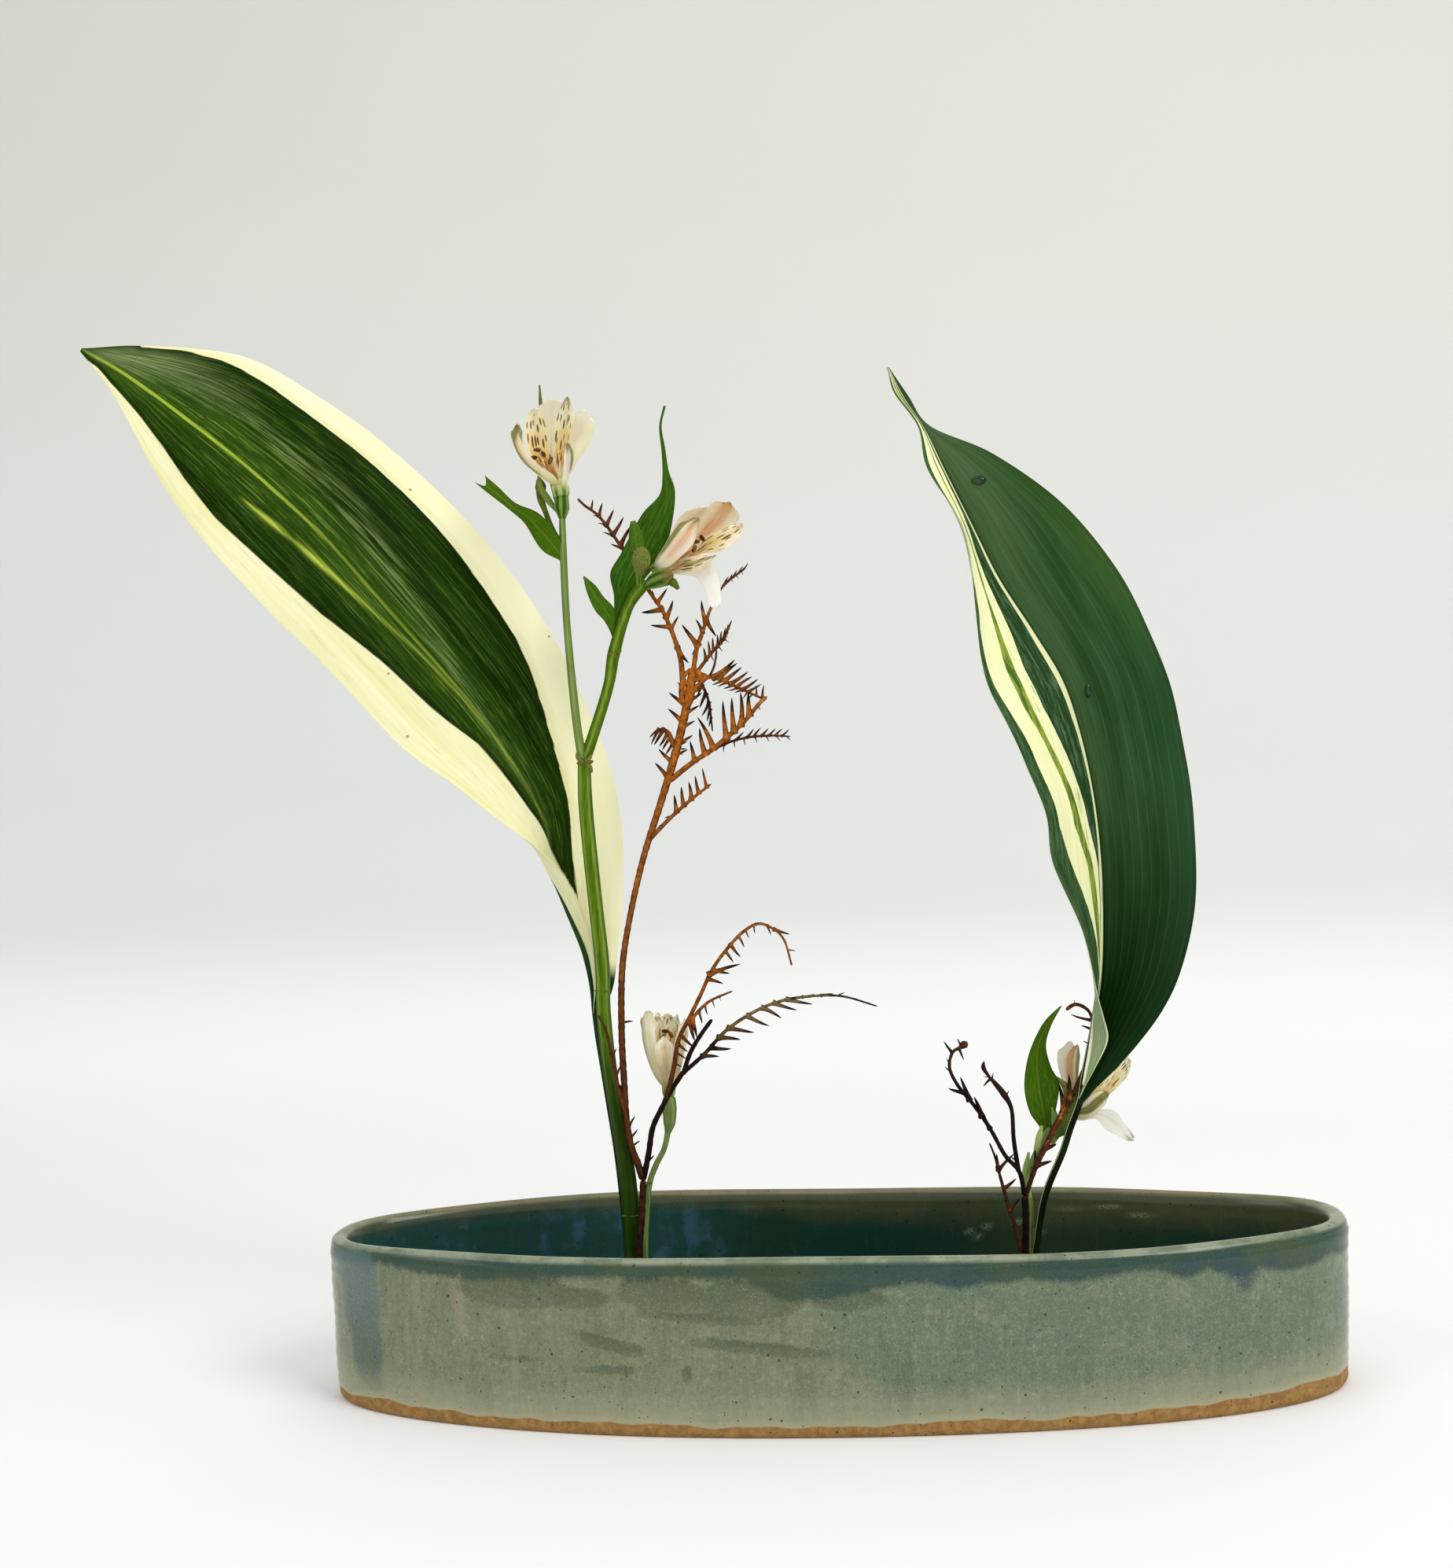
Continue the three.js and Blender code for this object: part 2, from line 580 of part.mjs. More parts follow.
// Blooms: each tepal runs from the base to its tip between a left and a right edge
const BLOOMS = {
  bloom_upper_left: {
    base: [-97, -9.7, 353.9],
    tepals: {
      outerLeft: {
        left: [[-98, -11, 355.5], [-104.5, -12, 360], [-111, -14, 366], [-114, -17, 372],
          [-114.5, -19, 377], [-112.5, -20.5, 378.5]],
        right: [[-96.5, -12, 355.5], [-98.5, -16, 359.5], [-104, -19, 363.5], [-109, -21, 370],
          [-109.5, -22.5, 374.5], [-110.5, -22, 378.5]],
      },
      innerLeft: {
        left: [[-98, -9, 356.5], [-104, -10, 362.5], [-109.5, -11, 371], [-110.5, -10.5, 379],
          [-110, -11, 384.5], [-107, -13, 387]],
        right: [[-97, -8.5, 356.5], [-99.5, -6.5, 363.5], [-101, -4.5, 371.5], [-102, -5, 378.5],
          [-103, -8, 383.5], [-105, -12, 387]],
      },
      outerBack: {
        left: [[-97.5, -8, 357], [-102.5, -4, 367], [-105.5, -2.5, 376.5], [-106.5, -4, 384.5],
          [-105, -6.5, 389.5], [-101, -9, 391]],
        right: [[-97, -8, 357], [-97.5, -3.5, 366.5], [-97, -2, 376.5], [-95.5, -3.5, 384],
          [-95, -6, 389.5], [-98, -9, 391]],
      },
      innerRight: {
        left: [[-97.5, -9, 356.5], [-99.5, -7, 364], [-100.5, -5.5, 372], [-99.5, -6.5, 379.5],
          [-97.5, -9, 386], [-94, -12.5, 390]],
        right: [[-96.5, -9.5, 356], [-96, -8, 363.5], [-94, -8, 371], [-92, -9.5, 378],
          [-90.5, -11.5, 384.5], [-92, -13, 390]],
      },
      outerRight: {
        left: [[-97, -9, 355.5], [-96.5, -7.5, 363], [-95, -6, 371], [-92.5, -6, 378.5],
          [-91.5, -8, 383.5], [-89, -11, 385.5]],
        right: [[-95.5, -10, 355.5], [-92, -11, 363], [-87.5, -12, 368.5], [-83.5, -13, 375],
          [-82.5, -13.5, 380], [-85.5, -13, 384.5]],
      },
      innerFront: {
        left: [[-97, -12, 355], [-95.5, -15, 359.5], [-94.5, -17.5, 364], [-94, -19.5, 367.5],
          [-93, -21, 370.5]],
        right: [[-95.5, -12, 355], [-92.5, -14.5, 360], [-90.5, -17, 364], [-90, -19, 367],
          [-91.5, -20.5, 370.5]],
      },
    },
    anthers: [[-104.5, -19, 369.5], [-102, -20, 367.5], [-99.5, -19, 365], [-106, -19, 366.5]],
  },
  bloom_upper_right: {
    base: [-60.6, -10.4, 321.6],
    tepals: {
      outerLeft: {
        left: [[-61.5, -11, 323], [-60.5, -13, 325], [-57, -15, 330], [-53.5, -16, 335],
          [-49, -16.5, 339.5], [-44.5, -17, 340.5]],
        right: [[-60.5, -12.5, 321], [-56.5, -16.5, 321.5], [-50, -19, 325.5], [-45, -20, 330],
          [-43, -19, 335], [-42, -17.5, 339.5]],
      },
      outerBack: {
        left: [[-61.5, -9.5, 323.5], [-59.5, -6, 328.5], [-54.5, -5, 337], [-51, -6, 343],
          [-45.5, -7.5, 346], [-41.5, -9, 346]],
        right: [[-60.5, -9, 323], [-56, -4, 326.5], [-48.5, -1.5, 333.5], [-42.5, -2, 338],
          [-39, -4.5, 342], [-39, -8, 345]],
      },
      outerTop: {
        left: [[-61, -9, 323.5], [-54, -7, 328.5], [-46, -7, 336.5], [-41.5, -8.5, 343],
          [-37.5, -10.5, 347.5], [-32.5, -12.5, 347]],
        right: [[-60, -8.5, 323], [-51, -4.5, 325.5], [-40.5, -3, 332], [-32, -4.5, 337],
          [-27, -7.5, 342], [-29.5, -12, 345.5]],
      },
      innerUpper: {
        left: [[-60, -10, 323], [-53.5, -9, 326.5], [-45, -10, 331], [-36.5, -12, 335.5],
          [-29.5, -14, 338], [-26.5, -16, 338]],
        right: [[-59.5, -10.5, 322], [-51.5, -12, 323.5], [-43.5, -14, 326.5], [-35, -16, 327.5],
          [-27.5, -17, 331.5], [-25.5, -17, 336]],
      },
      innerLower: {
        left: [[-60, -11, 322], [-55.5, -12, 322.5], [-50, -14.5, 325.5], [-44.5, -17.5, 326],
          [-39.5, -19, 326.5], [-37, -20, 325.5]],
        right: [[-60, -11.5, 321], [-55, -13, 320], [-48.5, -15, 320], [-43, -18, 320.5],
          [-38.5, -19.5, 323], [-37, -20.5, 324.5]],
      },
      outerHanging: {
        left: [[-60, -10.5, 322], [-52.5, -11, 322.5], [-43, -12, 326.5], [-38.5, -13.5, 323.5],
          [-35.5, -14, 316], [-35, -14, 309], [-36, -14, 306.5]],
        right: [[-59.5, -9.5, 321], [-52, -10, 320], [-45, -11, 318.5], [-42.5, -12.5, 315],
          [-40.5, -13.5, 311], [-39.5, -14, 307], [-38, -14, 306]],
      },
    },
    anthers: [[-44, -17, 331.5], [-41.5, -16, 333], [-44.5, -19, 328.5]],
  },
  bloom_lower_left: {
    base: [-63.5, 8, 114.25],
    tepals: {
      outerLeft: {
        left: [[-64.5, 6.5, 115.5], [-68.5, 5, 121], [-72, 5, 130.5], [-73.5, 6, 139],
          [-73.5, 7, 144.5], [-72, 8, 146]],
        right: [[-63.5, 5.5, 115.5], [-65, 2, 120.5], [-66.5, 0.5, 130.5], [-67.5, 0.5, 140],
          [-68, 2, 146], [-69.5, 5, 147.5]],
      },
      outerFront: {
        left: [[-64, 5.5, 116], [-65.5, 2, 121.5], [-67.5, -0.5, 129.5], [-67.5, -1, 134.5],
          [-65, 0, 137.5]],
        right: [[-63, 5.5, 115.5], [-62, 2.5, 121], [-60.5, 0, 128.5], [-60.5, 0, 134],
          [-62.5, 0, 137]],
      },
      innerLeft: {
        left: [[-64.5, 8, 115.5], [-67, 7, 120.5], [-69.5, 8, 130], [-70, 9, 138], [-69.5, 10, 143],
          [-68, 11, 145.5]],
        right: [[-63.5, 7, 116], [-64.5, 5, 121], [-65, 6, 130], [-65, 8, 137.5], [-65, 9.5, 143],
          [-66.5, 11, 145.5]],
      },
      outerBack: {
        left: [[-64, 9.5, 115], [-66, 12.5, 120.5], [-68, 16, 129], [-68.5, 17, 137.5],
          [-67, 16.5, 142.5], [-65, 16, 144.5]],
        right: [[-63, 9.5, 115], [-62, 12.5, 120.5], [-61, 16, 128.5], [-59.5, 17, 137.5],
          [-59.5, 16.5, 142.5], [-62, 16, 144]],
      },
      innerRight: {
        left: [[-63.5, 7.5, 115.5], [-63, 8, 121], [-63, 10, 129.5], [-62.5, 11, 137.5], [-61, 11, 142],
          [-60, 11, 144.5]],
        right: [[-63, 8.5, 115.5], [-60.5, 10, 120.5], [-59, 12, 129], [-58, 13, 136.5],
          [-58.5, 12.5, 141.5], [-59, 11.5, 144]],
      },
      outerRight: {
        left: [[-63.5, 6, 115.5], [-62.5, 4, 121], [-61, 2, 129.5], [-59.5, 2.5, 137.5],
          [-58, 4, 141.5], [-56.5, 6, 143.5]],
        right: [[-62.5, 7, 115.5], [-59.5, 7, 120], [-57.5, 8, 127], [-55.5, 9, 135], [-55, 9, 139.5],
          [-55.5, 8, 142.5]],
      },
    },
    anthers: [[-64, 7, 139], [-62, 8, 137.5], [-65, 8, 136.5]],
  },
  bloom_lower_right: {
    base: [94.9, 17.2, 100.1],
    tepals: {
      outerLeft: {
        left: [[94, 18.5, 101], [94.5, 20, 105.5], [95, 22, 112.5], [93.5, 22.5, 120],
          [94, 21.5, 125.5], [97.5, 19.5, 128.5]],
        right: [[95.5, 18, 101.5], [97.5, 18.5, 106], [100, 19.5, 113], [101.5, 20, 120.5],
          [102, 19.5, 125], [99.5, 19.5, 128]],
      },
      innerLeft: {
        left: [[95, 17, 101.5], [95.5, 17, 106], [96, 17, 113.5], [95.5, 17.5, 121], [97, 17.5, 125],
          [100, 17.5, 127.5]],
        right: [[96, 17, 101.5], [98, 17, 105.5], [100.5, 17, 113], [101.5, 17.5, 120],
          [102, 17.5, 124.5], [101.5, 17.5, 127]],
      },
      outerRight: {
        left: [[96, 18.5, 101.5], [102.5, 19.5, 106], [109.5, 20.5, 111], [114.5, 20.5, 116],
          [119, 20.5, 120.5], [121, 20, 122]],
        right: [[96.5, 18.5, 100.5], [104.5, 20, 103], [112.5, 21, 106.5], [118, 21, 111],
          [121.5, 20.5, 115.5], [122.5, 20, 120.5]],
      },
      innerRight: {
        left: [[95.5, 17.5, 101.5], [99.5, 17, 104.5], [104.5, 17.5, 111.5], [109, 18, 116],
          [112.5, 18, 119.5]],
        right: [[96, 17.5, 101], [102, 16.5, 102], [108.5, 17, 108], [113, 17.5, 112.5],
          [115.5, 18, 117]],
      },
      innerLow: {
        left: [[95, 16.5, 101], [98.5, 16, 103], [102.5, 15, 105.5], [106, 15, 108.5],
          [109.5, 15.5, 110], [111.5, 16, 109.5]],
        right: [[96, 16.5, 100], [100.5, 15.5, 99], [105, 14.5, 99.5], [109, 14.5, 102.5],
          [111.5, 15, 105.5], [112, 16, 107]],
      },
      outerHanging: {
        left: [[96, 18.5, 101], [101, 19, 101], [108, 19.5, 101.5], [115, 19.5, 101], [119, 19, 96],
          [122.5, 18, 91]],
        right: [[96, 18, 99.5], [101.5, 18.5, 97.5], [107.5, 18.5, 98], [111, 18, 94],
          [115.5, 17.5, 91.5], [119.5, 17, 89.5]],
      },
    },
    anthers: [[108, 15, 114], [106, 17, 115]],
  },
};
const TEPAL_ROWS = 5;
const TEPAL_COLUMNS = 4;
const TEPAL_CUP = 0.32;
const FLOWER_BASE_RADII = [2.3, 2.8, 1.8];
const FLOWER_BASE_LENGTH = 5;
const FILAMENT_RADIUS = 0.45;
const FILAMENT_BOW = 1.5;
const ANTHER_RADIUS = 1;

// Points of a tepal, its middle bulging away from the axis of the flower
function tepalGrid(base, axis, { left, right }) {
  const edges = [left, right].map(curveThrough);
  const grid = [];
  for (let row = 0; row <= TEPAL_ROWS; row++) {
    const [leftPoint, rightPoint] = edges.map((edge) => edge.getPoint(row / TEPAL_ROWS));
    const span = rightPoint.clone().sub(leftPoint);
    const centre = leftPoint.clone().lerp(rightPoint, 0.5);
    const outward = centre.clone().sub(base);
    outward.addScaledVector(axis, -outward.dot(axis));
    outward.addScaledVector(span, -outward.dot(span) / span.lengthSq()).normalize();
    const line = [];
    for (let column = 0; column <= TEPAL_COLUMNS; column++) {
      const across = (column / TEPAL_COLUMNS) * 2 - 1;
      const bulge = TEPAL_CUP * (span.length() / 2) * (1 - across * across);
      line.push(centre.clone().addScaledVector(span, across / 2).addScaledVector(outward, bulge));
    }
    grid.push(line);
  }
  return grid;
}

// Mean direction of the tepals, taken at the middle of their edges
function bloomAxis({ base, tepals }) {
  const sum = new THREE.Vector3();
  for (const { left, right } of Object.values(tepals)) {
    for (const edge of [left, right]) sum.add(curveThrough(edge).getPoint(0.5)).sub(vector(base));
  }
  return sum.normalize();
}

function bloom({ base, tepals, anthers }) {
  const root = vector(base);
  const axis = bloomAxis({ base, tepals });
  const top = root.clone().addScaledVector(axis, FLOWER_BASE_LENGTH);
  const middle = root.clone().lerp(top, 0.5);
  const cup = stalk([root, middle, top].map((p) => p.toArray()), FLOWER_BASE_RADII);
  const blades = Object.values(tepals).map((tepal) => sheet(tepalGrid(root, axis, tepal), TEPAL_THICKNESS));
  const stamens = anthers.flatMap((anther) => {
    const halfway = middle.clone().lerp(vector(anther), 0.5).addScaledVector(axis, FILAMENT_BOW);
    const filament = [middle.toArray(), halfway.toArray(), anther];
    const knob = merged(new THREE.OctahedronGeometry(ANTHER_RADIUS)).translate(...anther);
    return [stalk(filament, [FILAMENT_RADIUS, FILAMENT_RADIUS], 3), knob];
  });
  return fuse([cup, ...blades, ...stamens]);
}

// Dried twigs: limbs with sharp spurs. A limb is a path, its radii along it, and its spurs. A spur
// is [fraction of the path, angle, length], a row of spurs is [count, first and last fraction, first
// and last angle, first and last length]. An angle is in degrees from +X towards +Z.
const LEFT_SPRIG = [
  {
    path: [
      [-77, -7, STEM_FOOT], [-76, -5, 54], [-74.5, -5, 68], [-73.5, -5, 82.5],
    ],
    radii: [1.3, 1.3],
    spurs: [],
  },
  {
    path: [
      [-73.5, -5, 82], [-75.5, -4.5, 88.5], [-78, -4, 95.5], [-79.5, -4, 106], [-80, -3.5, 119],
      [-80.5, -3, 140], [-79.5, -2.5, 165.5], [-76.5, -2, 183], [-70, -1.5, 208.5], [-62, -1, 231.5],
      [-56, -1, 249.5], [-51, -0.5, 268], [-47.5, 0, 284],
    ],
    radii: [1.2, 1.2, 1.1, 1.1, 1.1, 1.1, 1.1, 1, 1.05, 1.2, 1.4, 1.4, 1.6],
    spurs: [
      [0.43, 10, 4.5], [0.3, 105, 6.5], [0.79, 130, 7.5], [0.82, 135, 7], [0.89, 135, 7.5],
      [0.92, 140, 7.5], [5, 0.83, 0.93, 25, 30, 5.5, 6], [3, 0.84, 0.85, 330, 380, 3, 4],
    ],
  },
  {
    path: [
      [-50.5, -0.5, 272.5], [-52, 0, 279], [-52.5, 0, 286.5], [-54, 0.5, 293], [-56.5, 1, 300.5],
      [-59.5, 1.5, 307.5], [-64, 3, 314.5], [-70, 4, 325], [-75.5, 4.5, 334], [-79, 4.5, 339.5],
      [-82, 4.5, 344], [-85.5, 4.5, 348], [-89.5, 4.5, 351], [-92.5, 4, 354],
    ],
    radii: [1.3, 1, 0.8, 0.7, 0.6, 0.5],
    spurs: [
      [0.03, 130, 4], [0.22, 305, 7], [0.3, 60, 5.5], [0.31, 175, 6.5], [0.35, 70, 7], [0.39, 185, 8],
      [0.42, 55, 6], [0.44, 105, 3.5], [5, 0.62, 0.88, 55, 80, 8.5, 4],
      [4, 0.61, 0.82, 155, 170, 4.5, 2],
    ],
  },
  {
    path: [
      [-48, 0, 281], [-46, 0.5, 292], [-44, 0.5, 297], [-40, 1, 307.5], [-35, 1.5, 316], [-26, 2, 323],
    ],
    radii: [1, 0.9, 0.5, 0.4],
    spurs: [
      [0.23, 125, 8.5], [0.42, 115, 5.5], [0.5, 100, 8], [0.51, 300, 6.5], [0.22, 235, 3.5],
      [5, 0.81, 0.99, 60, 55, 3.5, 2.5], [3, 0.88, 0.97, 300, 295, 1.5, 1.5],
    ],
  },
  {
    path: [
      [-48, 0, 280], [-40.5, -2, 289], [-35, -4, 294.5], [-32.5, -6, 300],
    ],
    radii: [0.8, 0.6, 0.4],
    spurs: [
      [9, 0.24, 0.9, 100, 65, 5, 3.5], [3, 0.33, 0.69, 295, 315, 2.5, 2],
    ],
  },
  {
    path: [
      [-50, -0.5, 273], [-46, -1, 276.5], [-42, -1, 280], [-36.5, -2.5, 278.5], [-29.5, -3.5, 275],
      [-23.5, -4.5, 272], [-19.5, -5, 270],
    ],
    radii: [1.2, 1, 0.7, 0.5, 0.4],
    spurs: [
      [7, 0.41, 0.76, 40, 30, 9.5, 5.5], [5, 0.51, 0.71, 200, 195, 4, 3.5],
      [2, 0.75, 0.81, 235, 230, 3, 2.5], [2, 0.86, 0.96, 90, 80, 3.5, 5],
    ],
  },
  {
    path: [
      [-59, -1, 239], [-48.5, -3, 246.5], [-41, -4.5, 251], [-28, -6, 261.5], [-21, -8, 269],
      [-18.5, -8.5, 271],
    ],
    radii: [1.2, 1, 1, 0.8, 0.7],
    spurs: [
      [2, 0.21, 0.33, 100, 100, 7, 9], [0.41, 115, 12], [3, 0.49, 0.58, 95, 90, 13.5, 11.5],
      [0.66, 90, 8.5], [0.76, 290, 2],
    ],
  },
  {
    path: [
      [-44, -4, 249], [-35, -2, 253.5], [-27, 0, 255.5], [-18, 2, 256], [-10, 4, 255.5],
    ],
    radii: [0.45, 0.5, 0.5, 0.3],
    spurs: [
      [2, 0.22, 0.36, 15, 45, 4, 4], [6, 0.49, 0.89, 50, 40, 4, 3.5],
      [7, 0.21, 0.95, 265, 310, 2.5, 2],
    ],
  },
  {
    path: [
      [-68, -1.5, 215.5], [-59, -4, 224], [-50.5, -6, 231], [-41.5, -8, 237.5],
    ],
    radii: [1, 0.8, 0.7, 0.45],
    spurs: [
      [2, 0.29, 0.4, 205, 195, 3, 3], [5, 0.46, 0.93, 95, 100, 6.5, 6.5],
    ],
  },
  {
    path: [
      [-55, -1, 251.5], [-57, 0, 255], [-59, 1.5, 259], [-62.5, 3, 260], [-66.5, 4.5, 257],
    ],
    radii: [1.3, 1.1, 0.8, 0.5, 0.3],
    spurs: [
      [5, 0.21, 0.75, 235, 240, 5, 6.5],
    ],
  },
  {
    path: [
      [-77.8, -4, 95], [-78.5, -5.5, 100], [-79, -6.5, 106.5], [-81.5, -7, 116.5], [-84, -7, 129.5],
      [-86, -7.5, 141], [-89, -8, 148],
    ],
    radii: [1.1, 0.9, 0.7, 0.4],
    spurs: [
      [2, 0.69, 0.59, 60, 65, 3.5, 4.5], [3, 0.24, 0.01, 60, 35, 4.5, 4],
    ],
  },
  {
    path: [
      [-73.5, -5, 82], [-71, -5, 93], [-69, -5.5, 103], [-65.5, -5.5, 110], [-62.5, -6, 115.5],
      [-56, -6, 125],
    ],
    radii: [1.2, 1],
    spurs: [
      [0.33, 75, 4.5], [0.12, 45, 4],
    ],
  },
  {
    path: [
      [-63.5, -6, 113.5], [-60, -7, 126], [-57.5, -8, 137.5], [-53, -8.5, 146], [-48, -9.5, 155.5],
      [-43.5, -10.5, 164.5], [-37.5, -11.5, 172.5], [-30.5, -12.5, 179.5], [-24.5, -13.5, 182.5],
      [-19, -14, 180.5], [-15, -15, 176.5], [-12, -16, 166],
    ],
    radii: [1, 0.8, 0.6, 0.4],
    spurs: [
      [4, 0.11, 0.2, 330, 315, 3, 6], [2, 0.42, 0.46, 340, 345, 6, 6], [2, 0.44, 0.54, 15, -55, 11, 5],
      [3, 0.57, 0.65, 305, 290, 5.5, 3], [2, 0.83, 0.95, 340, 350, 6, 2.5],
      [2, 0.7, 0.78, 275, 290, 3, 3.5],
    ],
  },
  {
    path: [
      [-54, -8.2, 143.5], [-45.5, -10, 152], [-35.5, -12, 156.5],
    ],
    radii: [0.8, 0.35],
    spurs: [
      [5, 0.14, 0.74, 280, 290, 5.5, 1.5], [2, 0.07, 0.11, 280, 285, 7.5, 6.5],
    ],
  },
  {
    path: [
      [-56.5, -6, 123], [-53.5, -4.5, 131.5], [-49.5, -3.5, 138], [-44.5, -2, 144.5],
    ],
    radii: [1, 0.8],
    spurs: [],
  },
  {
    path: [
      [-56.5, -6, 124], [-48, -4.5, 131], [-39, -2.5, 140], [-27.5, -1, 147], [-17.5, 1, 150.5],
      [-6, 2.5, 152], [7, 4.5, 151.5], [21, 6, 147],
    ],
    radii: [0.9, 0.7, 0.6, 0.35],
    spurs: [
      [3, 0.13, 0.24, 0, -10, 6.5, 7.5], [2, 0.3, 0.39, 345, 335, 8.5, 8],
      [3, 0.47, 0.61, 330, 350, 7.5, 8.5], [3, 0.6, 0.77, 15, 5, 4, 4], [0.84, 25, 2.5],
    ],
  },
  {
    path: [
      [-45, -1, 278.5], [-43, -2.5, 274], [-41.5, -3.5, 269], [-41, -4.5, 264], [-40.5, -5.5, 258],
    ],
    radii: [0.7, 0.5, 0.3],
    spurs: [
      [2, 0.1, 0.28, 245, 245, 4.5, 6], [0.46, 240, 5.5], [2, 0.6, 0.77, 255, 255, 4.5, 3.5],
    ],
  },
  {
    path: [
      [-48.5, 0, 283], [-45.5, -0.5, 281.5], [-42, -1, 280],
    ],
    radii: [1.1, 1.1, 0.9],
    spurs: [],
  },
  {
    path: [
      [-41.5, -1, 280], [-39.5, -2, 283.5], [-38.5, -3, 287], [-38, -3, 290.5],
    ],
    radii: [0.5, 0.4],
    spurs: [],
  },
];
const RIGHT_SPRIG = [
  {
    path: [
      [75, -5, STEM_FOOT], [75.5, -2, 52], [76, -1.5, 63.5], [76, -1, 72.5],
    ],
    radii: [1.4, 1.3],
    spurs: [],
  },
  {
    path: [
      [76, -1, 72], [74, -1.5, 82], [69, -2.5, 88], [63.5, -3.5, 98.5], [57.5, -4, 108],
      [50.5, -5, 117.5], [48, -5.5, 124], [49.5, -6.5, 130], [52, -7, 131.5], [54, -8, 133],
      [55, -8.5, 134],
    ],
    radii: [1, 0.9, 0.85, 0.8, 0.75, 0.7, 0.65, 0.6, 0.7, 1.7, 0.7],
    spurs: [
      [0.46, 160, 6], [0.43, 110, 8.5], [2, 0.36, 0.31, 110, 110, 8, 6],
      [2, 0.26, 0.24, 125, 110, 2.5, 3.5], [2, 0.57, 0.61, 135, 110, 2.5, 2.5], [0.69, 125, 4.5],
      [0.79, 290, 4], [0.83, 115, 3.5],
    ],
  },
  {
    path: [
      [74, -1, 81], [72.5, -0.5, 94], [72, 1, 106.5], [69.5, 2, 111.5], [66.5, 3, 115.5],
      [64, 4, 118.5], [62, 4.5, 122], [62.5, 5, 124.5],
    ],
    radii: [1, 0.85, 0.8, 1.3, 1, 0.55, 1, 0.2],
    spurs: [
      [0.39, 65, 2.5], [2, 0.67, 0.7, 225, 175, 4, 2], [0.64, 80, 2.5], [0.05, 145, 3],
    ],
  },
  {
    path: [
      [76, -1, 71], [78.5, 0, 77.5], [81.5, 2, 84], [85.5, 4, 90.5], [91, 6.5, 100], [97, 9, 109],
      [103.5, 12, 122], [107, 14, 132.5], [107, 14.5, 138], [105, 13.5, 142.5], [100, 12, 145],
      [96, 11, 143],
    ],
    radii: [1, 1.1, 1.3, 1.5, 1.4, 1.1, 0.8, 0.5, 0.5, 0.5, 0.45, 0.4],
    spurs: [
      [0.17, 15, 7.5], [0.26, 20, 8], [0.18, 95, 5.5], [0.4, 100, 11], [0.44, 90, 9.5],
      [0.73, 165, 7.5], [0.66, 155, 5.5], [0.6, 155, 3], [0.91, 100, 1.5],
    ],
  },
];
const RIGHT_TWIG = [
  {
    path: [
      [74.5, 8, STEM_FOOT], [74, 4.5, 52], [70, 3, 67], [67, 2, 79], [65, 1, 87.5], [63, 0, 93],
    ],
    radii: [0.9, 0.8, 0.7, 0.5, 0.35],
    spurs: [
      [0.69, 95, 5], [0.66, 40, 7.5], [0.52, 35, 6], [0.38, 45, 5.5],
    ],
  },
];
const SPUR_RADIUS = 0.75;
const SPUR_SHARE_OF_LIMB = 0.75;
const SPUR_TILT = 0.45;
const SPUR_LENGTHS = [0.92, 1.08];
const SPUR_CLEARANCE = 0.9;
// Spurs shorter than this are left to the looks
const SHORTEST_SPUR = 3;
const TEPAL_REACH = 1.8;
const TALL_STEM_REACH = 3;
const BRANCH_REACH = 2;

function sprig(limbs, seed, keepClear) {
  const draw = seededDraw(seed);
  const wood = limbs.map(({ path, radii }) => stalk(path, radii, LIMB_SIDES));
  const spurs = limbs.flatMap((limb) => spursAlong(limb, draw, keepClear));
  return fuse([...wood, ...spurs]);
}

// Each spur points its own way in the picture plane, and a drawn bit to the front or back of it
function spursAlong({ path, radii, spurs }, draw, keepClear) {
  const curve = curveThrough(path);
  const spikes = [];
  for (const [fraction, angle, size] of spurs.flatMap(spursOfRow)) {
    if (size < SHORTEST_SPUR) continue;
    const root = curve.getPoint(fraction);
    const turn = THREE.MathUtils.degToRad(angle);
    const tilt = (draw() - 0.5) * 2 * SPUR_TILT;
    const length = size * THREE.MathUtils.lerp(...SPUR_LENGTHS, draw());
    const spur = new THREE.Vector3(Math.cos(turn), tilt, Math.sin(turn)).multiplyScalar(length);
    const tip = root.clone().add(spur);
    const blocked = ({ points, reach }) => points.some((p) => p.distanceTo(tip) < reach + SPUR_CLEARANCE);
    if (keepClear.some(blocked)) continue;
    const thickness = Math.min(SPUR_RADIUS, valueAlong(radii, fraction) * SPUR_SHARE_OF_LIMB);
    spikes.push(spike(root, spur.clone().normalize(), spur.length(), thickness));
  }
  return spikes;
}

function spursOfRow(row) {
  if (row.length === 3) return [row];
  const [count, ...ends] = row;
  const [fractions, angles, lengths] = [0, 2, 4].map((place) => ends.slice(place, place + 2));
  return Array.from({ length: count }, (_, place) => {
    const share = place / (count - 1);
    return [fractions, angles, lengths].map(([first, last]) => THREE.MathUtils.lerp(first, last, share));
  });
}

// Close samples of a path, for what has to keep clear of it
function reachOf(path, reach) {
  const curve = curveThrough(path);
  return { points: curve.getSpacedPoints(Math.ceil(curve.getLength() / 1.5)), reach };
}

function tepalsOf({ base, tepals }) {
  const axis = bloomAxis({ base, tepals });
  const points = Object.values(tepals).flatMap((tepal) => tepalGrid(vector(base), axis, tepal).flat());
  return { points, reach: TEPAL_REACH };
}

function surfaceOf(leaf) {
  const curves = [leaf.left, leaf.middle, leaf.right].map(curveThrough);
  const points = curves.flatMap((curve) => curve.getSpacedPoints(60));
  const between = points.map((p, place) => p.clone().lerp(points[(place + 61) % points.length], 0.5));
  return { points: [...points, ...between], reach: LEAF_THICKNESS };
}

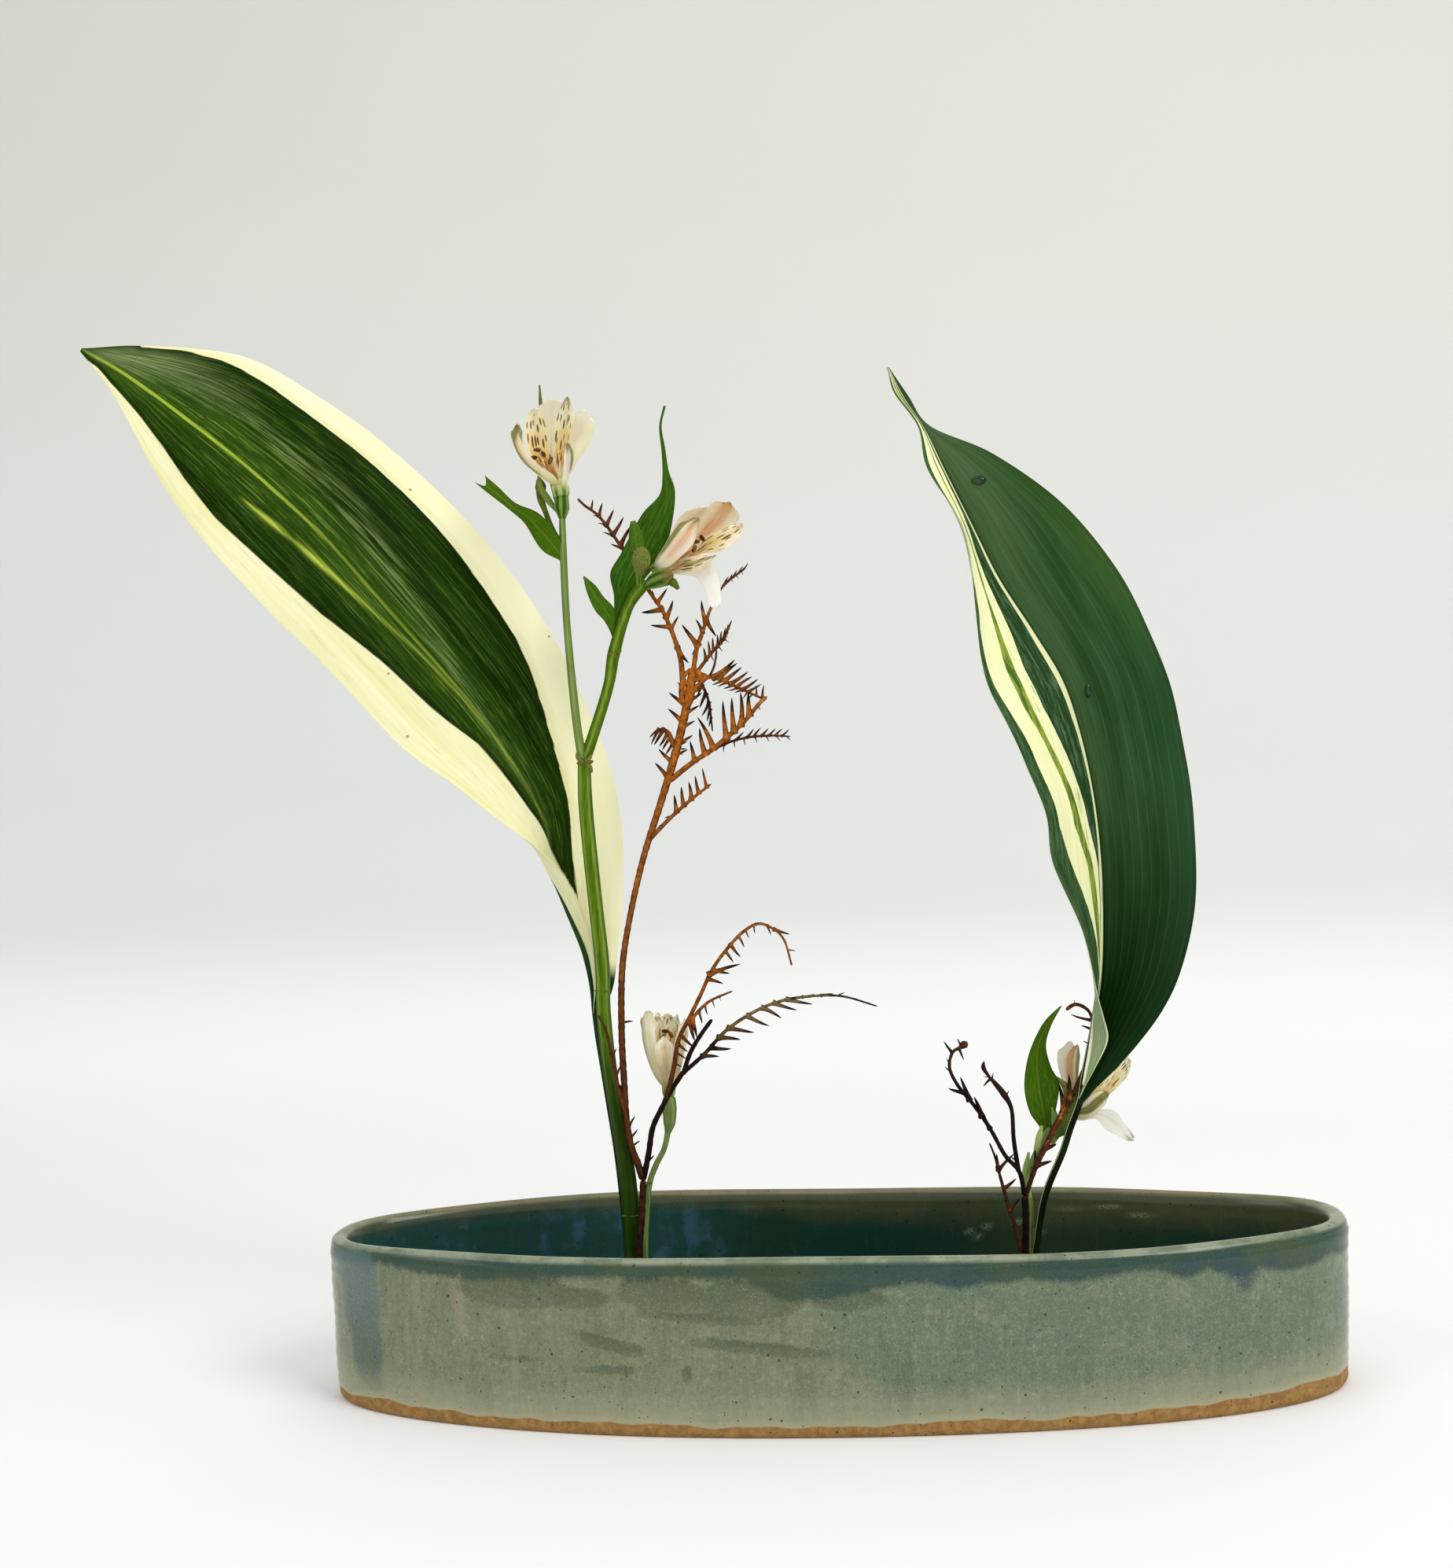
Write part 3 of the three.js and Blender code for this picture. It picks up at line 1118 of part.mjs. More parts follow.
const STANDING_STEMS = {
  left: [
    { path: LEFT_LEAF.petiole, radius: PETIOLE_RADIUS },
    { path: TALL_STEM, radius: TALL_STEM_RADII.at(-1) },
    { path: SHORT_STEM, radius: SHORT_STEM_RADII.at(-1) },
    { path: LEFT_SPRIG[0].path, radius: LEFT_SPRIG[0].radii[0] },
  ],
  right: [
    { path: RIGHT_LEAF.petiole, radius: PETIOLE_RADIUS },
    { path: LOW_STEM, radius: LOW_STEM_RADII.at(-1) },
    { path: RIGHT_SPRIG[0].path, radius: RIGHT_SPRIG[0].radii[0] },
    { path: RIGHT_TWIG[0].path, radius: RIGHT_TWIG[0].radii[0] },
  ],
};

const arrangement = new THREE.Group();
arrangement.add(namedMesh("bowl", bowlGeometry(), COLOURS.glaze, 0.35));
const allStems = [...STANDING_STEMS.left, ...STANDING_STEMS.right];
arrangement.add(namedMesh("water", waterGeometry(allStems), COLOURS.water, 0.05));
for (const [side, centre] of Object.entries(HOLDER_CENTRES)) {
  const holder = pinHolder(centre, STANDING_STEMS[side]);
  arrangement.add(namedMesh(`pin_holder_${side}`, holder, COLOURS.lead, 0.5, 0.8));
}
arrangement.add(namedMesh("leaf_left", largeLeaf(LEFT_LEAF), COLOURS.leaf, 0.4));
arrangement.add(namedMesh("leaf_right", largeLeaf(RIGHT_LEAF), COLOURS.leafDeep, 0.4));
arrangement.add(namedMesh("stem_tall", tallStem(), COLOURS.stem, 0.5));
arrangement.add(namedMesh("stem_short", stalk(SHORT_STEM, SHORT_STEM_RADII), COLOURS.stem, 0.5));
arrangement.add(namedMesh("stem_low", lowStem(), COLOURS.stem, 0.5));
for (const [name, flower] of Object.entries(BLOOMS)) {
  const colour = name === "bloom_upper_right" ? COLOURS.tepalPink : COLOURS.tepal;
  arrangement.add(namedMesh(name, bloom(flower), colour, 0.6));
}
const nearLeftSprig = [
  reachOf(TALL_STEM, TALL_STEM_REACH),
  reachOf(RIGHT_BRANCH, BRANCH_REACH),
  reachOf(SHORT_STEM, BRANCH_REACH),
  reachOf(LEFT_LEAF.petiole, PETIOLE_RADIUS),
  surfaceOf(LEFT_LEAF),
  surfaceOf(TALL_LEAF),
  tepalsOf(BLOOMS.bloom_lower_left),
  tepalsOf(BLOOMS.bloom_upper_right),
];
const nearRightSprig = [
  reachOf(RIGHT_LEAF.petiole, PETIOLE_RADIUS),
  reachOf(LOW_STEM, BRANCH_REACH),
  surfaceOf(RIGHT_LEAF),
  surfaceOf(LOW_LEAF),
  tepalsOf(BLOOMS.bloom_lower_right),
];
arrangement.add(namedMesh("sprig_left", sprig(LEFT_SPRIG, 11, nearLeftSprig), COLOURS.twig, 0.7));
arrangement.add(namedMesh("sprig_right", sprig(RIGHT_SPRIG, 23, nearRightSprig), COLOURS.twigDark, 0.7));
arrangement.add(namedMesh("twig_right", sprig(RIGHT_TWIG, 37, nearRightSprig), COLOURS.twig, 0.7));

export default arrangement;
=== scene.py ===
"""Looks of an ikebana arrangement: a glazed oval bowl with water and pin holders, two striped
leaves, alstroemeria stems with four blooms, and dried spurred twigs.
Lengths are in millimetres until a mesh is made. Guide curves are those of the part's source."""
import math

import bmesh
import bpy
import numpy as np
from mathutils import Matrix


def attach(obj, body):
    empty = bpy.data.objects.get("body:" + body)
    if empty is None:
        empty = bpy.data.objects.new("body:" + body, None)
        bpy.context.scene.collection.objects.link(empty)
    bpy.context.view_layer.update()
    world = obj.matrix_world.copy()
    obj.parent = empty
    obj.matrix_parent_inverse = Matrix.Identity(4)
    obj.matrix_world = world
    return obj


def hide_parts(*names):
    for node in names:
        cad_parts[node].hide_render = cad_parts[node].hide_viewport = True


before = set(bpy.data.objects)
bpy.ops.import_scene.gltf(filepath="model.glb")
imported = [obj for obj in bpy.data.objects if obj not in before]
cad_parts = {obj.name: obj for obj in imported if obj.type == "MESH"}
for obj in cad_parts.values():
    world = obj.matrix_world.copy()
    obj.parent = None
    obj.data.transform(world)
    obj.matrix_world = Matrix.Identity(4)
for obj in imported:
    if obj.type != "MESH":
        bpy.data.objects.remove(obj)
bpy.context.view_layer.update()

MM = 0.001
TURN = 2 * math.pi

# Bowl: oval outline, and its profile from the foot over the rim to the floor as [inset, height]
BOWL_HALF_LENGTH = 200
BOWL_HALF_WIDTH = 62
BOWL_HEIGHT = 64
BOWL_OVAL_POWER = 2.06
BOWL_OUTSIDE = [[3.4, 0], [2, 2], [1.5, 9], [0.2, 52], [0.2, 60]]
BOWL_RIM = [[1.3, 62.8], [3.9, 64], [6.4, 63.2], [7.8, 60.5]]
BOWL_INSIDE = [[9.2, 20], [12.5, 10.8], [19, 8]]
OUTLINE_WAVES = [[0.54, 2, 0.6], [0.36, 5, 1.57]]
RIM_WAVES = [[0.7, 3, 1], [0.35, 7, 0]]
RIM_WAVE_START = 44
BOWL_SIDES = 520

WATER_LEVEL = 31
HOLDER_CENTRES = {"left": [-78, 0], "right": [78, 1]}
HOLDER_RADIUS = 30
HOLDER_FOOT = 8.3
HOLDER_TOP = 17.3
PIN_LENGTH = 12.5
PIN_PITCH = 3.1
PIN_FIELD_RADIUS = 26.5

# Stems, leaves and blooms: guide points from tip or fork to foot
STEM_FOOT = 17.9
TALL_STEM = [
  [-92, -4, 250], [-92, -4, 232], [-89.5, -3, 193.5], [-87.5, -2, 166], [-87.5, -2, 149], [-85.5, -1, 122.5],
  [-81, 0, 91], [-79.3, 0, 69], [-79, 0, 53.5], [-78, 0, STEM_FOOT],
]
TALL_STEM_RADII = [2.5, 2.8, 2.8, 2.9, 2.8, 2.8, 3.2, 3.5, 3, 3.1]
LEFT_BRANCH = [[-92, -4, 248], [-93.5, -5, 256], [-96.5, -8, 300.5], [-97, -9, 331.5], [-97, -9, 345]]
LEFT_BRANCH_RADII = [2.2, 1.7, 1.4, 1.4, 1.2]
LEFT_OVARY = [[-97, -9, 344], [-97, -9.2, 348], [-97, -9.4, 353.3]]
RIGHT_BRANCH = [
  [-92, -4, 248], [-88.5, -4, 257], [-81, -5, 278.5], [-78.5, -6, 290.5], [-71.5, -8, 309],
  [-64.5, -10, 318],
]
RIGHT_BRANCH_RADII = [2.4, 2.2, 2.1, 2.5, 1.9, 2.6]
OVARY_RADII = [1.3, 3, 2.6]
SIDE_BRACT = [
  [-97.5, -9, 332.5], [-102, -7, 342], [-104.5, -5, 348.5], [-106, -4, 353], [-106, -4, 358],
  [-106.8, -4, 361.5],
]
SIDE_BRACT_RADII = [0.9, 0.9, 1, 1.4, 2.2, 0.8]
REAR_BRACT = {
  "left": [[-98.8, -8, 345], [-102.8, 0, 360], [-105.2, 2, 376], [-106.3, 0, 391], [-105.8, -2, 399]],
  "middle": [[-98, -8, 345], [-101.5, 0.4, 360], [-104, 2.4, 376], [-105.5, 0.3, 391], [-105.5, -2, 399]],
  "right": [[-97.2, -8, 345], [-100.2, 0, 360], [-102.8, 2, 376], [-104.7, 0, 391], [-105.2, -2, 399]],
}
FORKED_LEAF = {
  "left": [[-98.5, -9, 327.5], [-105.5, -8, 332], [-112.5, -8, 343.5], [-117.5, -10, 348], [-126, -12, 355],
    [-130.5, -13, 359]],
  "middle": [[-97.5, -9, 329], [-102, -9.5, 335], [-109, -10.5, 343.5], [-117, -11, 350],
    [-123.5, -12, 355.5], [-126.5, -13, 357.5]],
  "right": [[-97, -9, 330.5], [-98.5, -11, 337.5], [-106, -12.5, 346], [-115, -12, 350.5],
    [-121.5, -12, 357], [-126.5, -13, 361.5]],
}
TALL_LEAF = {
  "left": [[-55.5, -10, 386.5], [-57.5, -9, 379], [-57, -8, 369.5], [-57, -6, 360.5], [-58.5, -4, 353],
    [-65.5, -1, 346.5], [-71, 0, 338], [-75.5, 0, 330], [-79.5, -1, 323], [-78, -4, 313], [-78.2, -6, 303],
    [-79, -6, 292]],
  "middle": [[-55, -10, 386.5], [-57, -9, 379], [-56.5, -8, 370], [-56, -6.5, 360.5], [-55.5, -5, 353.5],
    [-59.5, -3.5, 344], [-63.5, -2.5, 335], [-68, -2.5, 326.5], [-73, -3.5, 318], [-75.5, -5, 311],
    [-77.2, -6.4, 302.5], [-78.5, -6, 292]],
  "right": [[-54.5, -10, 386.5], [-56.5, -9, 379], [-55.5, -8, 370.5], [-54.5, -6, 361.5],
    [-52.5, -4, 354.5], [-54, -2, 342.5], [-56.5, -1, 334], [-61.5, 0, 325.5], [-68, -1, 317.5],
    [-72.5, -4, 311.5], [-76.2, -6, 303], [-78, -6, 292]],
}
SMALL_LEAF = {
  "left": [[-89, -12, 320], [-87.5, -12, 313.5], [-84.5, -11, 306.5], [-81.5, -10, 303], [-79, -7, 297],
    [-79, -6, 291]],
  "middle": [[-89, -12, 320.5], [-86, -11.3, 315.5], [-83, -10.3, 310], [-80, -9.2, 305.5], [-78.5, -7, 298],
    [-78.5, -6, 291]],
  "right": [[-88.5, -12, 320.5], [-84.5, -11, 317], [-81.5, -10, 312.5], [-77.5, -9, 307.5],
    [-77.8, -7, 299], [-78, -6, 291]],
}
BUD_STALK = [
  [-67.5, -9, 313.5], [-67, -12, 318], [-66.3, -13.5, 323], [-66.3, -14, 327], [-67, -14, 331.5],
  [-66.7, -15, 338],
]
BUD_STALK_RADII = [1, 1.2, 2.2, 2.5, 1.7, 2.2]
GREEN_BUD = [[-64, -11, 316], [-60.5, -15.5, 317], [-56.5, -19, 318], [-53, -21, 318.5]]
GREEN_BUD_RADII = [1.4, 3, 3.6, 2]
SHORT_STEM = [
  [-63.5, 8, 113.7], [-63.5, 8, 108], [-63.7, 8, 102], [-64.5, 8, 98], [-66, 7, 92], [-69.5, 6, 85.5],
  [-72, 5, 79], [-73.5, 4, 67], [-74.5, 3, 53], [-75, 6, STEM_FOOT],
]
SHORT_STEM_RADII = [2.4, 2.9, 2.4, 1.1, 1, 1.1, 1.1, 1.1, 1.2, 1.2]
LOW_STEM = [
  [94.2, 16.6, 99.6], [91, 15, 97], [87, 13, 93.8], [83, 10, 88], [80, 8, 82], [78.3, 6, 74], [79, 5, 65],
  [78.5, 5, 50], [79.5, 7.5, STEM_FOOT],
]
LOW_STEM_RADII = [2.6, 2.8, 1.7, 1.2, 1.1, 1.1, 1, 1.1, 1.2]
LOW_LEAF = {
  "left": [[94, 12, 144.5], [87.5, 11, 138.5], [82, 10, 129], [79.5, 9, 121.5], [78.5, 9, 112],
    [80.5, 10, 102.5], [84, 11.5, 97], [86.3, 13, 92.5]],
  "middle": [[94.3, 12, 144.5], [89, 12, 138], [85, 12, 129], [84, 12, 120.5], [84.5, 12, 112],
    [85.8, 12.2, 103.5], [86.5, 12.8, 97], [87, 13, 92.5]],
  "right": [[94.6, 12, 144.5], [90, 11, 137], [87.5, 10, 129.5], [89, 9, 121], [92, 9, 114.5],
    [91, 10, 105.5], [89, 11.5, 97.5], [87.6, 13, 93]],
}
LEFT_LEAF = {
  "left": [[-280, -31, 413], [-268, -30, 396], [-253, -30, 367], [-237, -27, 341], [-218, -22, 317],
    [-190, -14, 287], [-161, -8, 253], [-141, -5, 238], [-121, -2, 222], [-105, 0, 206], [-96, 2, 191],
    [-91, 3, 174], [-91, 4, 159], [-92.5, 4, 147]],
  "middle": [[-280, -30, 414], [-264, -27, 404], [-241, -22, 386], [-219, -16, 367], [-196, -9, 344],
    [-168, -1, 310], [-138, 5, 272], [-122, 8, 247], [-111, 9, 225], [-107, 9, 205], [-102, 8, 188],
    [-96, 7, 171], [-93, 6, 158], [-92, 6, 147]],
  "right": [[-280, -29, 414.5], [-258, -20, 417], [-223, -10, 414], [-197, 0, 399], [-169, 9, 379],
    [-135, 17, 343], [-106, 21, 299], [-93, 22, 270], [-84, 21, 243], [-80, 19, 214], [-81, 17, 190],
    [-83, 14, 171], [-85.5, 10, 155], [-90.5, 7, 146]],
  "keel": [[-112, 10.5, 228], [-107, 10.2, 205], [-102, 9, 188], [-96, 7.8, 171], [-93, 6.5, 158]],
  "petiole": [[-92, 6, 147], [-91, 6, 137], [-89, 5.2, 123], [-87, 5, 108], [-85, 5, 93], [-83.5, 5, 77],
    [-82, 5, 52], [-81.5, 6.5, STEM_FOOT]],
  "crease": 0.15,
}
RIGHT_LEAF = {
  "left": [[32, -25, 394], [34, -24, 385], [43, -21, 372], [46, -25, 356], [58, -29, 331], [61, -30, 302],
    [66, -25, 276], [73, -18, 258], [80, -14, 240], [89, -12, 220], [91, -9, 202], [101, -6, 174],
    [107, 0, 152], [110, 2, 140], [111, 3, 132], [106, 4, 121], [99, 3.5, 109]],
  "middle": [[32, -24, 394], [38, -20, 383], [45, -16, 373], [53, -11, 357], [63, -5, 337], [74, 1, 315],
    [88, 6, 293], [99, 10, 274], [106, 14, 252], [111, 17, 225], [113, 18, 197], [112, 16, 167],
    [110, 13, 152], [107, 10, 140], [104, 8, 127], [101, 6, 115], [99, 5, 107]],
  "right": [[32.5, -23, 394.5], [40, -19, 384], [47, -15, 374], [72, -12, 362], [99, -8, 342],
    [119, -6, 316], [131, -4, 292], [139, -3, 271], [143, -2, 246], [146, -2, 218], [146, -2, 184],
    [139, -1, 158], [131, 0, 142], [123, 1, 131], [114, 2, 121], [105, 4, 112], [100, 5, 106]],
  "keel": [[113, 18.6, 197], [112, 16.8, 167], [107, 11, 140], [101, 6.6, 115]],
  "petiole": [[99.5, 5, 108], [95, 4, 97], [92, 3, 89], [84, 2, 71], [80, 1, 52], [74, 2.5, STEM_FOOT]],
  "crease": 0.55,
}

# Each tepal as its left and right edge from base to tip
BLOOMS = {
  "bloom_upper_left": {
    "base": [-97, -9.7, 353.9],
    "tepals": {
      "outerLeft": [
        [[-98, -11, 355.5], [-104.5, -12, 360], [-111, -14, 366], [-114, -17, 372], [-114.5, -19, 377],
          [-112.5, -20.5, 378.5]],
        [[-96.5, -12, 355.5], [-98.5, -16, 359.5], [-104, -19, 363.5], [-109, -21, 370],
          [-109.5, -22.5, 374.5], [-110.5, -22, 378.5]],
      ],
      "innerLeft": [
        [[-98, -9, 356.5], [-104, -10, 362.5], [-109.5, -11, 371], [-110.5, -10.5, 379], [-110, -11, 384.5],
          [-107, -13, 387]],
        [[-97, -8.5, 356.5], [-99.5, -6.5, 363.5], [-101, -4.5, 371.5], [-102, -5, 378.5], [-103, -8, 383.5],
          [-105, -12, 387]],
      ],
      "outerBack": [
        [[-97.5, -8, 357], [-102.5, -4, 367], [-105.5, -2.5, 376.5], [-106.5, -4, 384.5],
          [-105, -6.5, 389.5], [-101, -9, 391]],
        [[-97, -8, 357], [-97.5, -3.5, 366.5], [-97, -2, 376.5], [-95.5, -3.5, 384], [-95, -6, 389.5],
          [-98, -9, 391]],
      ],
      "innerRight": [
        [[-97.5, -9, 356.5], [-99.5, -7, 364], [-100.5, -5.5, 372], [-99.5, -6.5, 379.5], [-97.5, -9, 386],
          [-94, -12.5, 390]],
        [[-96.5, -9.5, 356], [-96, -8, 363.5], [-94, -8, 371], [-92, -9.5, 378], [-90.5, -11.5, 384.5],
          [-92, -13, 390]],
      ],
      "outerRight": [
        [[-97, -9, 355.5], [-96.5, -7.5, 363], [-95, -6, 371], [-92.5, -6, 378.5], [-91.5, -8, 383.5],
          [-89, -11, 385.5]],
        [[-95.5, -10, 355.5], [-92, -11, 363], [-87.5, -12, 368.5], [-83.5, -13, 375], [-82.5, -13.5, 380],
          [-85.5, -13, 384.5]],
      ],
      "innerFront": [
        [[-97, -12, 355], [-95.5, -15, 359.5], [-94.5, -17.5, 364], [-94, -19.5, 367.5], [-93, -21, 370.5]],
        [[-95.5, -12, 355], [-92.5, -14.5, 360], [-90.5, -17, 364], [-90, -19, 367], [-91.5, -20.5, 370.5]],
      ],
    },
    "anthers": [[-104.5, -19, 369.5], [-102, -20, 367.5], [-99.5, -19, 365], [-106, -19, 366.5]],
  },
  "bloom_upper_right": {
    "base": [-60.6, -10.4, 321.6],
    "tepals": {
      "outerLeft": [
        [[-61.5, -11, 323], [-60.5, -13, 325], [-57, -15, 330], [-53.5, -16, 335], [-49, -16.5, 339.5],
          [-44.5, -17, 340.5]],
        [[-60.5, -12.5, 321], [-56.5, -16.5, 321.5], [-50, -19, 325.5], [-45, -20, 330], [-43, -19, 335],
          [-42, -17.5, 339.5]],
      ],
      "outerBack": [
        [[-61.5, -9.5, 323.5], [-59.5, -6, 328.5], [-54.5, -5, 337], [-51, -6, 343], [-45.5, -7.5, 346],
          [-41.5, -9, 346]],
        [[-60.5, -9, 323], [-56, -4, 326.5], [-48.5, -1.5, 333.5], [-42.5, -2, 338], [-39, -4.5, 342],
          [-39, -8, 345]],
      ],
      "outerTop": [
        [[-61, -9, 323.5], [-54, -7, 328.5], [-46, -7, 336.5], [-41.5, -8.5, 343], [-37.5, -10.5, 347.5],
          [-32.5, -12.5, 347]],
        [[-60, -8.5, 323], [-51, -4.5, 325.5], [-40.5, -3, 332], [-32, -4.5, 337], [-27, -7.5, 342],
          [-29.5, -12, 345.5]],
      ],
      "innerUpper": [
        [[-60, -10, 323], [-53.5, -9, 326.5], [-45, -10, 331], [-36.5, -12, 335.5], [-29.5, -14, 338],
          [-26.5, -16, 338]],
        [[-59.5, -10.5, 322], [-51.5, -12, 323.5], [-43.5, -14, 326.5], [-35, -16, 327.5],
          [-27.5, -17, 331.5], [-25.5, -17, 336]],
      ],
      "innerLower": [
        [[-60, -11, 322], [-55.5, -12, 322.5], [-50, -14.5, 325.5], [-44.5, -17.5, 326], [-39.5, -19, 326.5],
          [-37, -20, 325.5]],
        [[-60, -11.5, 321], [-55, -13, 320], [-48.5, -15, 320], [-43, -18, 320.5], [-38.5, -19.5, 323],
          [-37, -20.5, 324.5]],
      ],
      "outerHanging": [
        [[-60, -10.5, 322], [-52.5, -11, 322.5], [-43, -12, 326.5], [-38.5, -13.5, 323.5], [-35.5, -14, 316],
          [-35, -14, 309], [-36, -14, 306.5]],
        [[-59.5, -9.5, 321], [-52, -10, 320], [-45, -11, 318.5], [-42.5, -12.5, 315], [-40.5, -13.5, 311],
          [-39.5, -14, 307], [-38, -14, 306]],
      ],
    },
    "anthers": [[-44, -17, 331.5], [-41.5, -16, 333], [-44.5, -19, 328.5]],
  },
  "bloom_lower_left": {
    "base": [-63.5, 8, 114.25],
    "tepals": {
      "outerLeft": [
        [[-64.5, 6.5, 115.5], [-68.5, 5, 121], [-72, 5, 130.5], [-73.5, 6, 139], [-73.5, 7, 144.5],
          [-72, 8, 146]],
        [[-63.5, 5.5, 115.5], [-65, 2, 120.5], [-66.5, 0.5, 130.5], [-67.5, 0.5, 140], [-68, 2, 146],
          [-69.5, 5, 147.5]],
      ],
      "outerFront": [
        [[-64, 5.5, 116], [-65.5, 2, 121.5], [-67.5, -0.5, 129.5], [-67.5, -1, 134.5], [-65, 0, 137.5]],
        [[-63, 5.5, 115.5], [-62, 2.5, 121], [-60.5, 0, 128.5], [-60.5, 0, 134], [-62.5, 0, 137]],
      ],
      "innerLeft": [
        [[-64.5, 8, 115.5], [-67, 7, 120.5], [-69.5, 8, 130], [-70, 9, 138], [-69.5, 10, 143],
          [-68, 11, 145.5]],
        [[-63.5, 7, 116], [-64.5, 5, 121], [-65, 6, 130], [-65, 8, 137.5], [-65, 9.5, 143],
          [-66.5, 11, 145.5]],
      ],
      "outerBack": [
        [[-64, 9.5, 115], [-66, 12.5, 120.5], [-68, 16, 129], [-68.5, 17, 137.5], [-67, 16.5, 142.5],
          [-65, 16, 144.5]],
        [[-63, 9.5, 115], [-62, 12.5, 120.5], [-61, 16, 128.5], [-59.5, 17, 137.5], [-59.5, 16.5, 142.5],
          [-62, 16, 144]],
      ],
      "innerRight": [
        [[-63.5, 7.5, 115.5], [-63, 8, 121], [-63, 10, 129.5], [-62.5, 11, 137.5], [-61, 11, 142],
          [-60, 11, 144.5]],
        [[-63, 8.5, 115.5], [-60.5, 10, 120.5], [-59, 12, 129], [-58, 13, 136.5], [-58.5, 12.5, 141.5],
          [-59, 11.5, 144]],
      ],
      "outerRight": [
        [[-63.5, 6, 115.5], [-62.5, 4, 121], [-61, 2, 129.5], [-59.5, 2.5, 137.5], [-58, 4, 141.5],
          [-56.5, 6, 143.5]],
        [[-62.5, 7, 115.5], [-59.5, 7, 120], [-57.5, 8, 127], [-55.5, 9, 135], [-55, 9, 139.5],
          [-55.5, 8, 142.5]],
      ],
    },
    "anthers": [[-64, 7, 139], [-62, 8, 137.5], [-65, 8, 136.5]],
  },
  "bloom_lower_right": {
    "base": [94.9, 17.2, 100.1],
    "tepals": {
      "outerLeft": [
        [[94, 18.5, 101], [94.5, 20, 105.5], [95, 22, 112.5], [93.5, 22.5, 120], [94, 21.5, 125.5],
          [97.5, 19.5, 128.5]],
        [[95.5, 18, 101.5], [97.5, 18.5, 106], [100, 19.5, 113], [101.5, 20, 120.5], [102, 19.5, 125],
          [99.5, 19.5, 128]],
      ],
      "innerLeft": [
        [[95, 17, 101.5], [95.5, 17, 106], [96, 17, 113.5], [95.5, 17.5, 121], [97, 17.5, 125],
          [100, 17.5, 127.5]],
        [[96, 17, 101.5], [98, 17, 105.5], [100.5, 17, 113], [101.5, 17.5, 120], [102, 17.5, 124.5],
          [101.5, 17.5, 127]],
      ],
      "outerRight": [
        [[96, 18.5, 101.5], [102.5, 19.5, 106], [109.5, 20.5, 111], [114.5, 20.5, 116], [119, 20.5, 120.5],
          [121, 20, 122]],
        [[96.5, 18.5, 100.5], [104.5, 20, 103], [112.5, 21, 106.5], [118, 21, 111], [121.5, 20.5, 115.5],
          [122.5, 20, 120.5]],
      ],
      "innerRight": [
        [[95.5, 17.5, 101.5], [99.5, 17, 104.5], [104.5, 17.5, 111.5], [109, 18, 116], [112.5, 18, 119.5]],
        [[96, 17.5, 101], [102, 16.5, 102], [108.5, 17, 108], [113, 17.5, 112.5], [115.5, 18, 117]],
      ],
      "innerLow": [
        [[95, 16.5, 101], [98.5, 16, 103], [102.5, 15, 105.5], [106, 15, 108.5], [109.5, 15.5, 110],
          [111.5, 16, 109.5]],
        [[96, 16.5, 100], [100.5, 15.5, 99], [105, 14.5, 99.5], [109, 14.5, 102.5], [111.5, 15, 105.5],
          [112, 16, 107]],
      ],
      "outerHanging": [
        [[96, 18.5, 101], [101, 19, 101], [108, 19.5, 101.5], [115, 19.5, 101], [119, 19, 96],
          [122.5, 18, 91]],
        [[96, 18, 99.5], [101.5, 18.5, 97.5], [107.5, 18.5, 98], [111, 18, 94], [115.5, 17.5, 91.5],
          [119.5, 17, 89.5]],
      ],
    },
    "anthers": [[108, 15, 114], [106, 17, 115]],
  },
}

